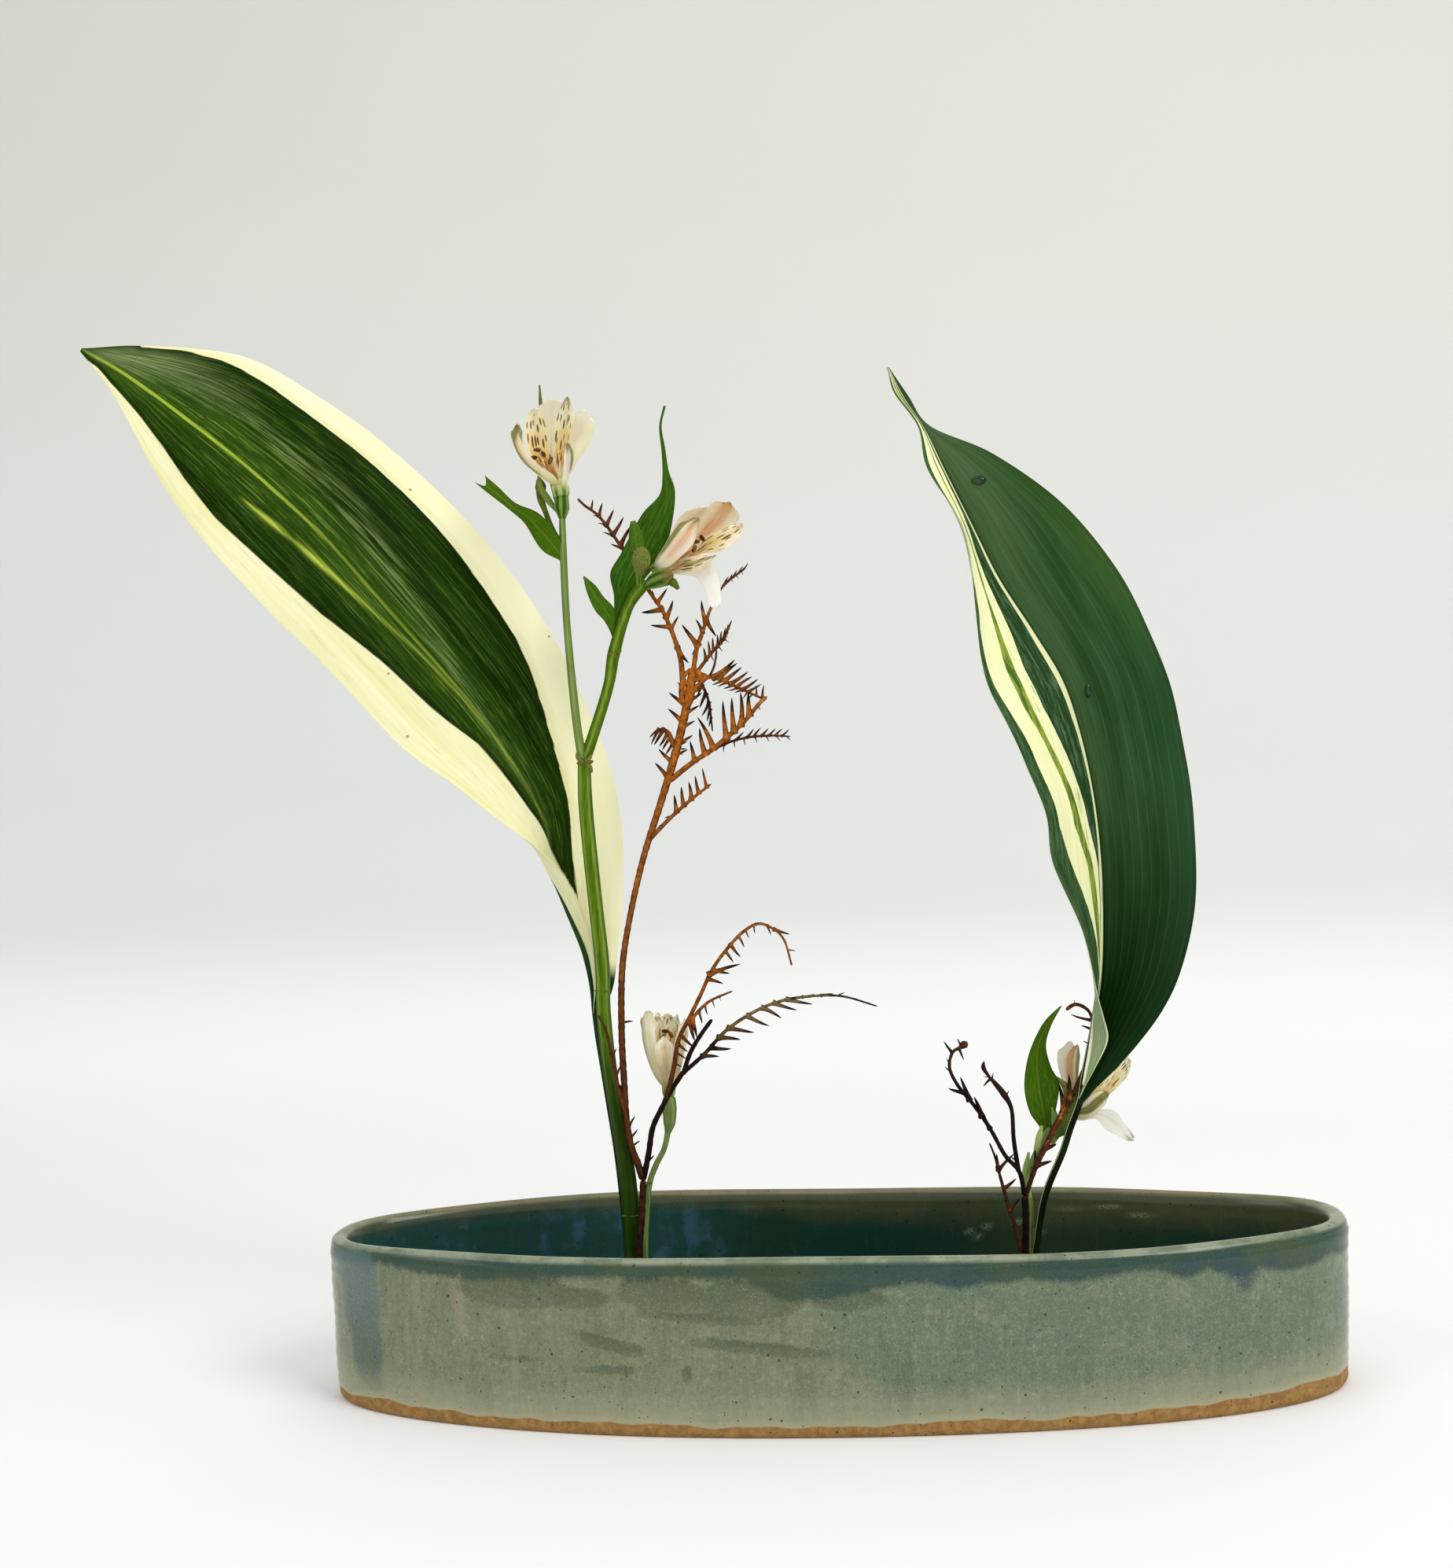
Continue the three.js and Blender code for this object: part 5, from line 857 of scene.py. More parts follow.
def oval(turn, inset, height):
    inset = inset + waves(OUTLINE_WAVES, turn)
    power = 2 / BOWL_OVAL_POWER
    x = (BOWL_HALF_LENGTH - inset) * np.sign(np.cos(turn)) * np.abs(np.cos(turn)) ** power
    y = (BOWL_HALF_WIDTH - inset) * np.sign(np.sin(turn)) * np.abs(np.sin(turn)) ** power
    rise = np.clip((height - RIM_WAVE_START) / (BOWL_HEIGHT - RIM_WAVE_START), 0, None)
    return np.stack([x, y, height + rise * waves(RIM_WAVES, turn)], axis=-1)


def bowl_turns(sides):
    """Turns that lie evenly along the outline from the middle of the back"""
    dense = np.linspace(-1.5 * math.pi, 0.5 * math.pi, 4001)
    outline = oval(dense, 0.5, 30 + 0 * dense)
    run = np.concatenate([[0], np.cumsum(np.linalg.norm(np.diff(outline, axis=0), axis=1))])
    front = np.interp(-0.5 * math.pi, dense, run)
    even = np.linspace(0, run[-1], sides, endpoint=False)
    return np.interp(even, run, dense), even - front


def inside_of(marks, around, height):
    """How far inside the nearest of some slanted ovals a place lies in mm, and how high in it from 0 to 1"""
    best = np.full(np.broadcast(around, height).shape, float(FAR_OUTSIDE))
    rise = np.zeros(best.shape)
    for along, up, half_length, half_height, tilt in marks:
        dx = around - along
        dz = height - up - tilt * dx
        size = np.sqrt((dx / half_length) ** 2 + (dz / half_height) ** 2)
        depth = (1 - size) * min(half_height, half_length)
        rise = np.where(depth > best, np.clip(0.5 + 0.5 * dz / half_height, 0, 1), rise)
        best = np.maximum(best, depth)
    return best, rise


def bowl_rows():
    """Inset and height of each row of the bowl's wall, and the row's share of the profile"""
    shares = [(corner + np.arange(count) / count) / len(ROWS_BETWEEN_CORNERS)
              for corner, count in enumerate(ROWS_BETWEEN_CORNERS)]
    shares = np.concatenate(shares + [[1]])
    corners = BOWL_OUTSIDE + BOWL_RIM + BOWL_INSIDE
    profile = spline([[inset, height, 0] for inset, height in corners], shares)
    return profile[:, :1], profile[:, 1:2], shares[:, None]


def throwing_rings(around, height):
    """Fine rings that the potter's fingers left"""
    wavy = height + 0.7 * np.sin(0.05 * around) + 0.5 * np.sin(0.021 * around + 1)
    return 0.11 * np.sin(wavy * TURN / 5.6) + 0.06 * np.sin(wavy * TURN / 2.3 + around * 0.03)


def discs(ring, shares, level):
    """Smaller and smaller copies of a ring, laid flat at one level"""
    return ring * shares[:, None, None] * [1, 1, 0] + [0, 0, level]


def bowl_shape():
    turn, around = bowl_turns(BOWL_SIDES)
    inset, height, shares = bowl_rows()
    inward = (shares >= RIM_SHARE) * 1.0
    band = height - table_along(BAND_EDGE, around)
    foot = height - table_along(FOOT_EDGE, around) - 0.5 * np.sin(around * 0.31) * np.sin(around * 0.1)
    overlap, rise = inside_of(OVERLAPS, around, height)
    blue, _ = inside_of(BLUES, around, height)
    scuff, _ = inside_of(SCUFFS, around, height)
    rings = throwing_rings(around, height)
    lumps = 0.14 * np.sin(around * 0.11 + height * 0.2) * np.sin(around * 0.047 + 2)
    relief = rings + lumps - 0.3
    coats = (
        (foot, 0.22, -0.5, 0.7),
        (band, 0.16, -0.8, 0.8),
        (overlap, 0.12, -0.6, 0.6),
        (blue, 0.15, -0.8, 0.8),
    )
    for mark, thickness, low, high in coats:
        relief = relief + thickness * smooth_step(mark, low, high)
    relief = (1 - inward) * smooth_step(height, 0, 3) * relief + inward * rings * 0.8
    walls = oval(turn, inset - relief, height + 0 * turn)
    floor_level = BOWL_INSIDE[-1][1]

    def over_all(numbers, below, on_floor):
        """Values on the wall, with one value on the rows below it and one on the floor"""
        numbers = np.broadcast_to(numbers, walls.shape[:2])
        rows = (len(DISC_SHARES), walls.shape[1])
        return np.concatenate([np.full(rows, below), numbers, np.full(rows, on_floor)])

    bottom, floor = discs(walls[0], DISC_SHARES, 0), discs(walls[-1], DISC_SHARES[::-1], floor_level)
    return closed_rings(
        np.concatenate([bottom, walls, floor]),
        band=over_all(np.where(inward > 0, FAR_INSIDE, band), FAR_OUTSIDE, FAR_OUTSIDE),
        foot=over_all(np.where(inward > 0, FAR_ABOVE_FOOT, foot), FAR_OUTSIDE, FAR_ABOVE_FOOT),
        overlap=over_all(np.where(inward > 0, FAR_OUTSIDE, overlap), FAR_OUTSIDE, FAR_OUTSIDE),
        blue=over_all(np.where(inward > 0, FAR_OUTSIDE, blue), FAR_OUTSIDE, FAR_OUTSIDE),
        scuff=over_all(inward * smooth_step(scuff, -0.5, 0.5), 0, 0),
        rise=over_all(rise, 0, 0),
        inward=over_all(smooth_step(shares, RIM_SHARE - 0.03, RIM_SHARE + 0.1), 0, 1),
        rim=over_all(smooth_step(height, 61.6, 63.3), 0, 0),
        height=over_all(height, 0, floor_level),
    )


def glaze_noises(f):
    """Noises and places that the coats of the glaze share"""
    f.here = f.place()
    tall = f.place(1, 1, 0.16)
    f.cloud, f.patch = f.noise(f.here, 17, 4), f.noise(f.here, 60, 5, 0.65)
    f.mottle, f.grain = f.noise(f.here, 480, 4, 0.7), f.noise(f.here, 1500, 3, 0.75)
    f.streak, f.wide_streak = f.noise(tall, 420, 3, 0.6), f.noise(tall, 120, 3, 0.5)
    f.along, f.back, _ = f.split(f.here)
    f.height = f.value("height")


def plain_glaze(f):
    khaki = f.fade(f.cloud, 0.38, 0.62, "#767a59", "#6c7556")
    green = f.fade(f.cloud, 0.38, 0.62, "#6d7a5f", "#5e705b")
    return f.paint(
        f.fade(f.add(f.along, f.wobble(f.patch, 0.06)), -0.06, 0.06, khaki, green),
        (f.patch, 0.5, 0.7, 0.5, "#8b856b"),
        (f.height, 30, 6, 0.45, "#8b8c70"),
        (f.streak, 0.5, 0.72, 0.25, "#8f9575"),
        (f.streak, 0.48, 0.3, 0.3, "#56644c"),
        (f.mottle, 0.53, 0.68, 0.4, "#959a7b"),
        (f.mottle, 0.47, 0.33, 0.4, "#52614a"),
        (f.wide_streak, 0.46, 0.26, 0.5, "#4f5f48"),
        (f.wide_streak, 0.54, 0.74, f.step(f.along, 0.02, -0.06), "#868366"),
    )


def marked_glaze(f, body):
    """Overlaps of thicker glaze, the dark band under the rim, and blue runs, over plain glaze"""
    ragged = f.add(f.wobble(f.streak, 3.2), f.wobble(f.patch, 3.4), f.wobble(f.grain, 1.4))
    high_in = f.value("rise")
    marked = f.add(f.value("overlap"), f.times(ragged, 0.8))
    overlap = f.times(f.step(marked, -0.5, 0.6), f.scaled(high_in, 0.55, 1.0))
    brink = f.times(f.step(f.size(marked), 0.9, 0.1), f.step(high_in, 0.5, 0.95))
    band = f.step(f.add(f.value("band"), f.times(ragged, 1.3)), -2.2, 1.2)
    blue = f.step(f.add(f.value("blue"), f.times(ragged, 0.9)), -1.6, 2.0)
    run_colour = f.fade(f.add(f.height, f.wobble(f.patch, 30)), 22, 46, "#3d554a", "#566b6c")
    return f.paint(
        body,
        (overlap, 0.8, f.fade(f.patch, 0.4, 0.6, "#4a5032", "#42523a")),
        (brink, 0.35, "#3d4a2e"),
        (band, 0.92, f.fade(f.cloud, 0.4, 0.6, "#31462c", "#203f37")),
        (blue, f.scaled(f.mottle, 0.55, 0.95), f.fade(f.along, -0.12, -0.06, run_colour, "#29414a")),
        (f.grain, 0.5, 0.75, 0.4, "#404c38"),
        (f.grain, 0.48, 0.28, f.scaled(band, 0.4, 0.12), "#a6a98a"),
    )


def inside_glaze(f):
    """Dark pooled glaze, bluer and lit on the left, with a brown brow under the rim"""
    leftward = f.step(f.along, 0.03, -0.07)
    cloudy = f.add(f.times(f.patch, 0.6), f.times(f.wide_streak, 0.4))
    ragged_height = f.add(f.height, f.wobble(f.patch, 9))
    brow = f.step(ragged_height, f.scaled(leftward, 44, 55), f.scaled(leftward, 58, 63))
    return f.paint(
        f.fade(f.noise(f.here, 9, 3), 0.42, 0.58, "#223a28", "#133b33"),
        (f.along, -0.02, -0.08, 0.7, "#27504c"),
        (f.along, 0.02, 0.09, 0.5, "#2d3d25"),
        (f.times(f.step(cloudy, 0.5, 0.64), f.step(f.along, 0, -0.09)), 0.75, "#3a677a"),
        (brow, f.mix(f.patch, "#33462f", "#57563a")),
        (f.grain, 0.5, 0.8, 0.45, "#0f1a12"),
        (f.streak, 0.55, 0.8, 0.2, "#4f6558"),
        (f.times(f.value("scuff"), f.step(f.grain, 0.44, 0.56)), 0.6, "#a3a892"),
    )


def glaze_finish():
    f = Finish("celadon_glaze", IOR=1.5, Specular_IOR_Level=0.36)
    glaze_noises(f)
    outside = marked_glaze(f, plain_glaze(f))
    rim = f.times(f.value("rim"), f.scaled(f.step(f.patch, 0.36, 0.56), 0.55, 0.85))
    rim_colour = f.paint(f.fade(f.patch, 0.4, 0.6, "#818c70", "#949b83"), (f.back, 0.0, 0.03, "#7a7554"))
    specks = f.math("MAXIMUM", f.specks(f.here, 250, 0.6, 0.15), f.specks(f.here, 640, 0.72, 0.2))
    clay = f.fade(f.noise(f.here, 300, 4, 0.7), 0.35, 0.7, "#8a6635", "#a9834a")
    clay = f.paint(clay, (f.grain, 0.52, 0.72, 0.5, "#6a4a26"))
    foot = f.add(f.value("foot"), f.wobble(f.patch, 2.0))
    bare = f.step(foot, 0.3, -0.3)
    body = f.paint(
        outside,
        (f.value("inward"), inside_glaze(f)),
        (rim, rim_colour),
        (foot, 15.0, 1.0, 0.5, "#a19e7f"),
        (foot, 3.5, 0.0, 0.5, "#b1aa8a"),
        (bare, clay),
        (specks, 0.8, "#2c2216"),
    )
    roughness = f.add(f.scaled(bare, 0.13, 0.88), f.wobble(f.patch, 0.1))
    pits = f.add(f.times(f.grain, 0.3), f.times(f.streak, 0.35), f.times(bare, f.noise(f.here, 900, 3)))
    return f.to(Base_Color=body, Roughness=roughness, Normal=f.bump(pits, 0.22, 0.5))


# Water and pin holders

WATER_SIDES = 160
WATER_PROFILE = [
    [19.2, 8.1], [12.6, 10.8], [9.0, 20], [8.55, WATER_LEVEL + 0.8], [9.2, WATER_LEVEL + 0.25],
    [10.2, WATER_LEVEL + 0.05], [12, WATER_LEVEL],
]
WATER_SHARES = np.array([0.02, 0.3, 0.6, 0.85])
HOLDER_SIDES = 96
# Radius and height above the foot
HOLDER_PROFILE = [
    [0.02, 0], [29, 0], [HOLDER_RADIUS, 1], [HOLDER_RADIUS, 4.2], [29.7, 4.5], [HOLDER_RADIUS, 4.8],
    [HOLDER_RADIUS, 8.2], [29.2, 9], [0.02, 9],
]
PIN_SIDES = 6
PIN_PROFILE = [[0.5, -0.8], [0.5, 0.1], [0.45, 5], [0.42, 10], [0.03, PIN_LENGTH]]
PIN_CLEARANCE = 0.7


def water_shape():
    turn, _ = bowl_turns(WATER_SIDES)
    walls = [oval(turn, inset, height + 0 * turn) for inset, height in WATER_PROFILE]
    bottom = discs(walls[0], WATER_SHARES, WATER_PROFILE[0][1])
    return closed_rings(np.concatenate([bottom, walls, discs(walls[-1], WATER_SHARES[::-1], WATER_LEVEL)]))


def water_finish():
    f = Finish("still_water", IOR=1.333, Transmission_Weight=1.0)
    ripple = f.noise(f.place(), 14, 2)
    tint = f.mix(f.noise(f.place(), 30, 2), "#d3e4df", "#c0dad4")
    return f.to(Base_Color=tint, Roughness=f.scaled(ripple, 0.0, 0.04), Normal=f.bump(ripple, 0.6, 0.3))


def drop_finish():
    # Painted shade: the drops are opaque and painted near-black green in place of the dark refraction of
    # clear water; only their gloss comes from the lamps
    f = Finish("dark_painted_drop", IOR=1.4)
    mottle = f.noise(f.place(), 300, 2)
    tint = f.mix(f.step(mottle, 0.35, 0.65), "#0b1a08", "#2c4a26")
    return f.to(Base_Color=tint, Roughness=f.scaled(mottle, 0.01, 0.05))


def pin_roots(centre, stems):
    """Where pins stand on a holder, left out where a stem stands"""
    feet = []
    for path, radius in stems:
        places = spline(path, np.linspace(0, 1, 160))
        feet += [(x, y, radius + PIN_CLEARANCE) for x, y, z in places if z < HOLDER_TOP + PIN_LENGTH]
    count = int(PIN_FIELD_RADIUS / PIN_PITCH) + 2
    for row in range(-count, count + 1):
        for column in range(-count, count + 1):
            x = (column + 0.5 * (row % 2)) * PIN_PITCH
            y = row * PIN_PITCH * math.sqrt(0.75)
            root = [x + centre[0], y + centre[1], HOLDER_TOP]
            crowded = any(math.hypot(root[0] - fx, root[1] - fy) < reach for fx, fy, reach in feet)
            if math.hypot(x, y) <= PIN_FIELD_RADIUS and not crowded:
                yield root


def pin_holder_shape(centre, stems):
    """Lead plate with brass pins"""
    east, north = np.eye(3)[:2]
    plate = [circle(east, north, HOLDER_SIDES) * radius + [*centre, HOLDER_FOOT + up]
             for radius, up in HOLDER_PROFILE]
    shapes = [closed_rings(plate, pin=0)]
    pin = np.array([circle(east, north, PIN_SIDES) * radius + [0, 0, up] for radius, up in PIN_PROFILE])
    shapes += [closed_rings(pin + root, pin=1) for root in pin_roots(centre, stems)]
    return join(shapes)


def holder_finish():
    f = Finish("lead_and_brass", IOR=1.5)
    blotch = f.noise(f.place(), 180, 4, 0.65)
    lead = f.mix(f.step(blotch, 0.3, 0.7), "#4c4e51", "#74767a")
    brass = f.mix(blotch, "#b89a52", "#e0c888")
    tone = f.mix(f.value("pin"), lead, brass)
    return f.to(Base_Color=tone, Metallic=f.scaled(f.value("pin"), 0.5, 0.75),
                Roughness=f.scaled(blotch, 0.3, 0.55), Normal=f.bump(blotch, 0.15, 0.4))


# Large leaves

# Where the pale margin runs on a leaf stalk: the turn of its left front
MARGIN_TURN = 4.15

# Bounds of the left leaf's green centre: [along from the tip, across from -1 to 1]
GREEN_ABOVE = [
  [0, 1.3], [0.055, 1.2], [0.074, 0.94], [0.107, 0.95], [0.126, 0.9], [0.169, 0.84], [0.209, 0.82],
  [0.271, 0.79], [0.359, 0.79], [0.405, 0.76], [0.444, 0.72], [0.505, 0.6], [0.58, 0.46], [0.649, 0.38],
  [0.749, 0.34], [0.8, 0.2], [1, 0.2],
]
GREEN_BELOW = [
  [0, -1.2], [0.02, -0.85], [0.035, -0.6], [0.065, -0.68], [0.113, -0.57], [0.149, -0.58], [0.186, -0.65],
  [0.234, -0.69], [0.304, -0.63], [0.352, -0.57], [0.406, -0.42], [0.445, -0.36], [0.495, -0.21],
  [0.542, -0.18], [0.592, -0.15], [0.661, 0.02], [0.749, 0.34], [0.8, 0.4], [1, 0.4],
]
# Soft streaks on the left leaf, as [along, across, half width in mm, strength]
PALE_STREAK = [
  [0.236, -0.315, 0.3, 0], [0.25, -0.3, 0.6, 1], [0.283, -0.265, 1.3, 1], [0.3, -0.245, 0.7, 0.6],
  [0.319, -0.222, 1.3, 1], [0.335, -0.2, 1.2, 0.9], [0.372, -0.14, 0.8, 0.45], [0.417, -0.06, 0.7, 0.4],
  [0.5, 0.0, 0.5, 0.25], [0.58, 0.03, 0.4, 0],
]
# Painted highlights: the two sheens below lay the gloss of a window's reflection into the leaf's colour,
# near the tip and along the ridge
TIP_PAINTED_SHEEN = [
  [0.0, 0.3, 1.5, 0], [0.04, 0.45, 3, 1], [0.085, 0.6, 5, 1], [0.12, 0.6, 6, 0.7], [0.16, 0.5, 6, 0.4],
  [0.21, 0.45, 4, 0],
]
RIDGE_PAINTED_SHEEN = [
  [0.17, 0.44, 1, 0], [0.2, 0.43, 2.6, 0.5], [0.24, 0.4, 4, 0.7], [0.29, 0.38, 4.4, 0.8],
  [0.34, 0.3, 3.8, 1], [0.384, 0.22, 3.4, 0.95], [0.44, 0.08, 2.6, 0.8], [0.49, -0.01, 2, 0.7],
  [0.58, 0.0, 1.4, 0.5], [0.7, 0.1, 0.8, 0],
]
# The light middle field of the left leaf
LIGHT_FIELD = [
  [0.0, 0.0, 4, 0.4], [0.08, 0.1, 8, 1], [0.16, 0.1, 12, 1], [0.27, 0.05, 12, 1], [0.36, 0, 10, 1],
  [0.5, 0, 6, 0.8], [0.65, 0.1, 4, 0.5], [0.75, 0.2, 2, 0],
]
# How bright the midrib's line is along the leaf
MIDRIB_LINE = [
  [0, 0.2], [0.03, 0.7], [0.08, 1], [0.22, 1], [0.28, 0.7], [0.35, 0.35], [0.6, 0.18], [1, 0.1],
]
# Half width across, in shares, of the dark fold down the left of that leaf, and where its middle lies
FOLD_WIDTHS = [[0, -1], [0.665, -0.3], [0.69, 0.1], [0.74, 0.17], [0.8, 0.2], [0.9, 0.3], [1, 0.6]]
FOLD_MIDDLE = -0.42
# Painted highlight on the right leaf: a sheen written as the streaks above
RIGHT_PAINTED_SHEEN = [
  [0.05, 0.2, 1, 0], [0.12, 0.35, 5, 0.9], [0.2, 0.35, 8, 0.9], [0.3, 0.2, 7, 0.6], [0.4, 0.12, 4, 0.5],
  [0.55, 0.08, 2.5, 0.45], [0.7, 0.1, 2, 0.2], [0.8, 0.1, 1, 0],
]

# Stripes on the left half of the right leaf: where each ends, as [along, across]
STRIPES = {
  "dark_edge": [[0, -0.9], [0.1, -0.8], [0.19, -0.75], [0.236, -0.75], [0.276, -0.8], [0.306, -0.77],
    [0.338, -0.92], [0.374, -0.93], [0.427, -0.9], [0.484, -0.83], [0.531, -0.8], [0.578, -0.78],
    [0.624, -0.59], [0.655, -0.4], [0.686, -0.2], [0.73, -0.1], [1, -0.1]],
  "outer_cream": [[0, -0.7], [0.1, -0.55], [0.191, -0.32], [0.236, -0.3], [0.276, -0.38], [0.314, -0.44],
    [0.35, -0.55], [0.39, -0.65], [0.441, -0.67], [0.495, -0.56], [0.54, -0.49], [0.581, -0.45],
    [0.621, -0.26], [0.654, -0.22], [0.686, -0.16], [0.73, -0.09], [1, -0.09]],
  "green_line": [[0, -0.5], [0.1, -0.4], [0.191, -0.24], [0.236, -0.24], [0.278, -0.31], [0.315, -0.4],
    [0.352, -0.48], [0.396, -0.53], [0.446, -0.56], [0.497, -0.49], [0.541, -0.39], [0.583, -0.31],
    [0.62, -0.15], [0.652, -0.11], [0.685, -0.09], [0.73, -0.07], [1, -0.07]],
  "inner_cream": [[0, -0.3], [0.1, -0.25], [0.191, -0.12], [0.238, -0.14], [0.278, -0.24], [0.319, -0.26],
    [0.359, -0.31], [0.403, -0.41], [0.454, -0.41], [0.504, -0.31], [0.544, -0.23], [0.583, -0.16],
    [0.619, -0.06], [0.651, -0.06], [0.685, -0.07], [0.73, -0.06], [1, -0.06]],
  "inner_green": [[0, -0.1], [0.1, -0.06], [0.193, -0.02], [0.238, -0.03], [0.28, -0.06], [0.324, -0.05],
    [0.366, -0.06], [0.414, -0.08], [0.465, -0.06], [0.51, -0.04], [0.547, -0.03], [0.583, -0.03],
    [0.619, -0.04], [0.651, -0.05], [0.685, -0.06], [0.73, -0.05], [1, -0.05]],
}
VEINS_ACROSS = 21
FOLDS_ACROSS = 5


def large_leaf(leaf, rows=190, columns=168):
    grid, along, across, half_width = blade_grid(leaf, rows, columns, leaf["crease"])
    side = across * half_width
    fade = smooth_step(along, 0.0, 0.06) * smooth_step(1 - along, 0.0, 0.04)
    vein = np.cos(across * math.pi * VEINS_ACROSS)
    fold = np.cos(across * math.pi * FOLDS_ACROSS + 0.8 * np.sin(along * 6))
    relief = fade * (0.035 * vein + 0.12 * fold)
    groove = -0.4 * np.exp(-(side / 0.9) ** 2) * smooth_step(along, 0.02, 0.2)
    wave = 0.9 * fade * np.abs(across) ** 3 * np.sin(along * 31 + np.sign(across)) * (half_width / 25)
    thin = LEAF_THICKNESS * (1 - 0.6 * np.abs(across) ** 8)
    shape = sheet(
        grid, thin + 0 * along, relief + groove + wave, -relief - wave + 0.2 * np.exp(-(side / 1.2) ** 2),
        along=along, across=across, side=side, vein=vein * fade,
    )
    rib = leaf["keel"] + leaf["petiole"]
    grown = np.minimum(1, np.arange(len(rib)) / len(leaf["keel"]))
    radii = KEEL_TIP_RADIUS + (PETIOLE_RADIUS - KEEL_TIP_RADIUS) * grown

    def channel(turn, run):
        return -0.35 * np.exp(-((turn - 1.5 * math.pi) / 0.5) ** 2) + 0.05 * np.cos(turn * 5)

    sides = 24
    turn = np.linspace(0, TURN, sides, endpoint=False)
    margin = np.exp(-((turn - MARGIN_TURN) / 0.34) ** 2)[None, :]
    petiole = tube(rib, radii, sides, 1.2, channel, stalk=1, margin=margin)
    petiole.values["side"] = petiole.points[:, 0] * 0
    return shape, petiole, along, across, half_width


def ribbon(table, along, across, half_width):
    """Strength of a soft streak drawn along a leaf"""
    places, centres, widths, strengths = zip(*table)
    centre, width, strength = (np.interp(along, places, column) for column in (centres, widths, strengths))
    return strength * np.exp(-((across - centre) * half_width / width) ** 2)


def both_faces(numbers):
    return np.concatenate([numbers.reshape(-1), numbers.reshape(-1)])


def left_leaf_shape():
    blade, petiole, along, across, half_width = large_leaf(LEFT_LEAF)
    above = table_along(GREEN_ABOVE, along)
    below = table_along(GREEN_BELOW, along)
    green = np.minimum(above - across, across - below) * half_width
    here = (along, across, half_width)
    blade.set(
        green=both_faces(green), streak=both_faces(ribbon(PALE_STREAK, *here)),
        tip_sheen=both_faces(ribbon(TIP_PAINTED_SHEEN, *here)), sheen=both_faces(ribbon(RIDGE_PAINTED_SHEEN, *here)),
        rib=both_faces(table_along(MIDRIB_LINE, along) + 0 * across),
        field=both_faces(ribbon(LIGHT_FIELD, *here)),
        fold=both_faces(table_along(FOLD_WIDTHS, along) - np.abs(across - FOLD_MIDDLE)),
        lower=both_faces((across - below) * half_width), upper=both_faces((above - across) * half_width),
    )
    return join([blade, petiole])


def right_leaf_shape():
    blade, petiole, along, across, half_width = large_leaf(RIGHT_LEAF)
    for name, table in STRIPES.items():
        blade.set(**{name: both_faces((across - table_along(table, along)) * half_width)})
    blade.set(sheen=both_faces(ribbon(RIGHT_PAINTED_SHEEN, along, across, half_width)))
    return join([blade, petiole])


def leaf_finish(name, shine):
    """Finish with broad, fine and hair-thin noise drawn out along the leaf's veins"""
    f = Finish(name, IOR=1.45, Specular_IOR_Level=shine, Subsurface_Weight=0.05, Subsurface_Scale=0.002)
    across, along = f.values("across", "along")
    place = f.vector(f.times(across, 24.0), f.times(along, 26.0))
    longer = f.vector(f.times(across, 24.0), f.times(along, 9.0))
    f.broad, f.fine = f.noise(place, 0.3, 3, 0.5), f.noise(place, 1.0, 4, 0.7)
    f.hair = f.noise(longer, 2.0, 3, 0.6)
    return f


def left_leaf_green(f):
    field = f.value("field")
    threads = f.step(f.hair, 0.44, 0.6)
    middle = f.step(f.size(f.add(f.value("side"), f.wobble(f.fine, 0.8))), 0.95, 0.35)
    return f.paint(
        f.fade(f.broad, 0.35, 0.68, "#0e2400", "#1d3802"),
        (field, 0.65, "#365510"),
        (f.fine, 0.53, 0.66, f.scaled(field, 0.25, 0.75), "#54731d"),
        (f.fine, 0.46, 0.34, 0.55, "#102700"),
        (f.hair, 0.55, 0.66, f.scaled(field, 0.25, 0.8), "#6d8a35"),
        (f.hair, 0.44, 0.32, 0.55, "#0f2500"),
        (f.value("vein"), 0.85, 1.0, 0.25, "#5f7d32"),
        # painted highlights: grey-green sheen threads near the tip and along the ridge
        (f.value("tip_sheen"), f.scaled(threads, 0.3, 0.95), "#83945f"),
        (f.value("sheen"), f.scaled(threads, 0.0, 0.75), "#778a50"),
        (f.value("green"), 3.2, 0.3, 0.7, "#0e2400"),
        (f.times(middle, f.value("rib")), f.scaled(f.fine, 0.3, 1.3), "#a9bf3f"),
        (f.value("streak"), f.scaled(f.step(f.hair, 0.36, 0.56), 0.3, 0.95), "#c0d250"),
    )


def left_leaf_cream(f):
    upper = f.value("upper")
    return f.paint(
        f.fade(f.broad, 0.35, 0.7, "#eeebc0", "#e9e4a8"),
        (f.times(f.step(upper, -9, 0), f.step(f.fine, 0.52, 0.7)), 0.35, "#b9bf8c"),
        (f.hair, 0.55, 0.8, 0.12, "#d3cf90"),
        # painted light: the upper cream more than about 4 mm from the green is painted near-white
        (upper, -1, -4, 0.6, "#fdfad0"),
        (f.specks(f.place(), 130, 0.82, 0.09), 0.7, "#8d7440"),
    )


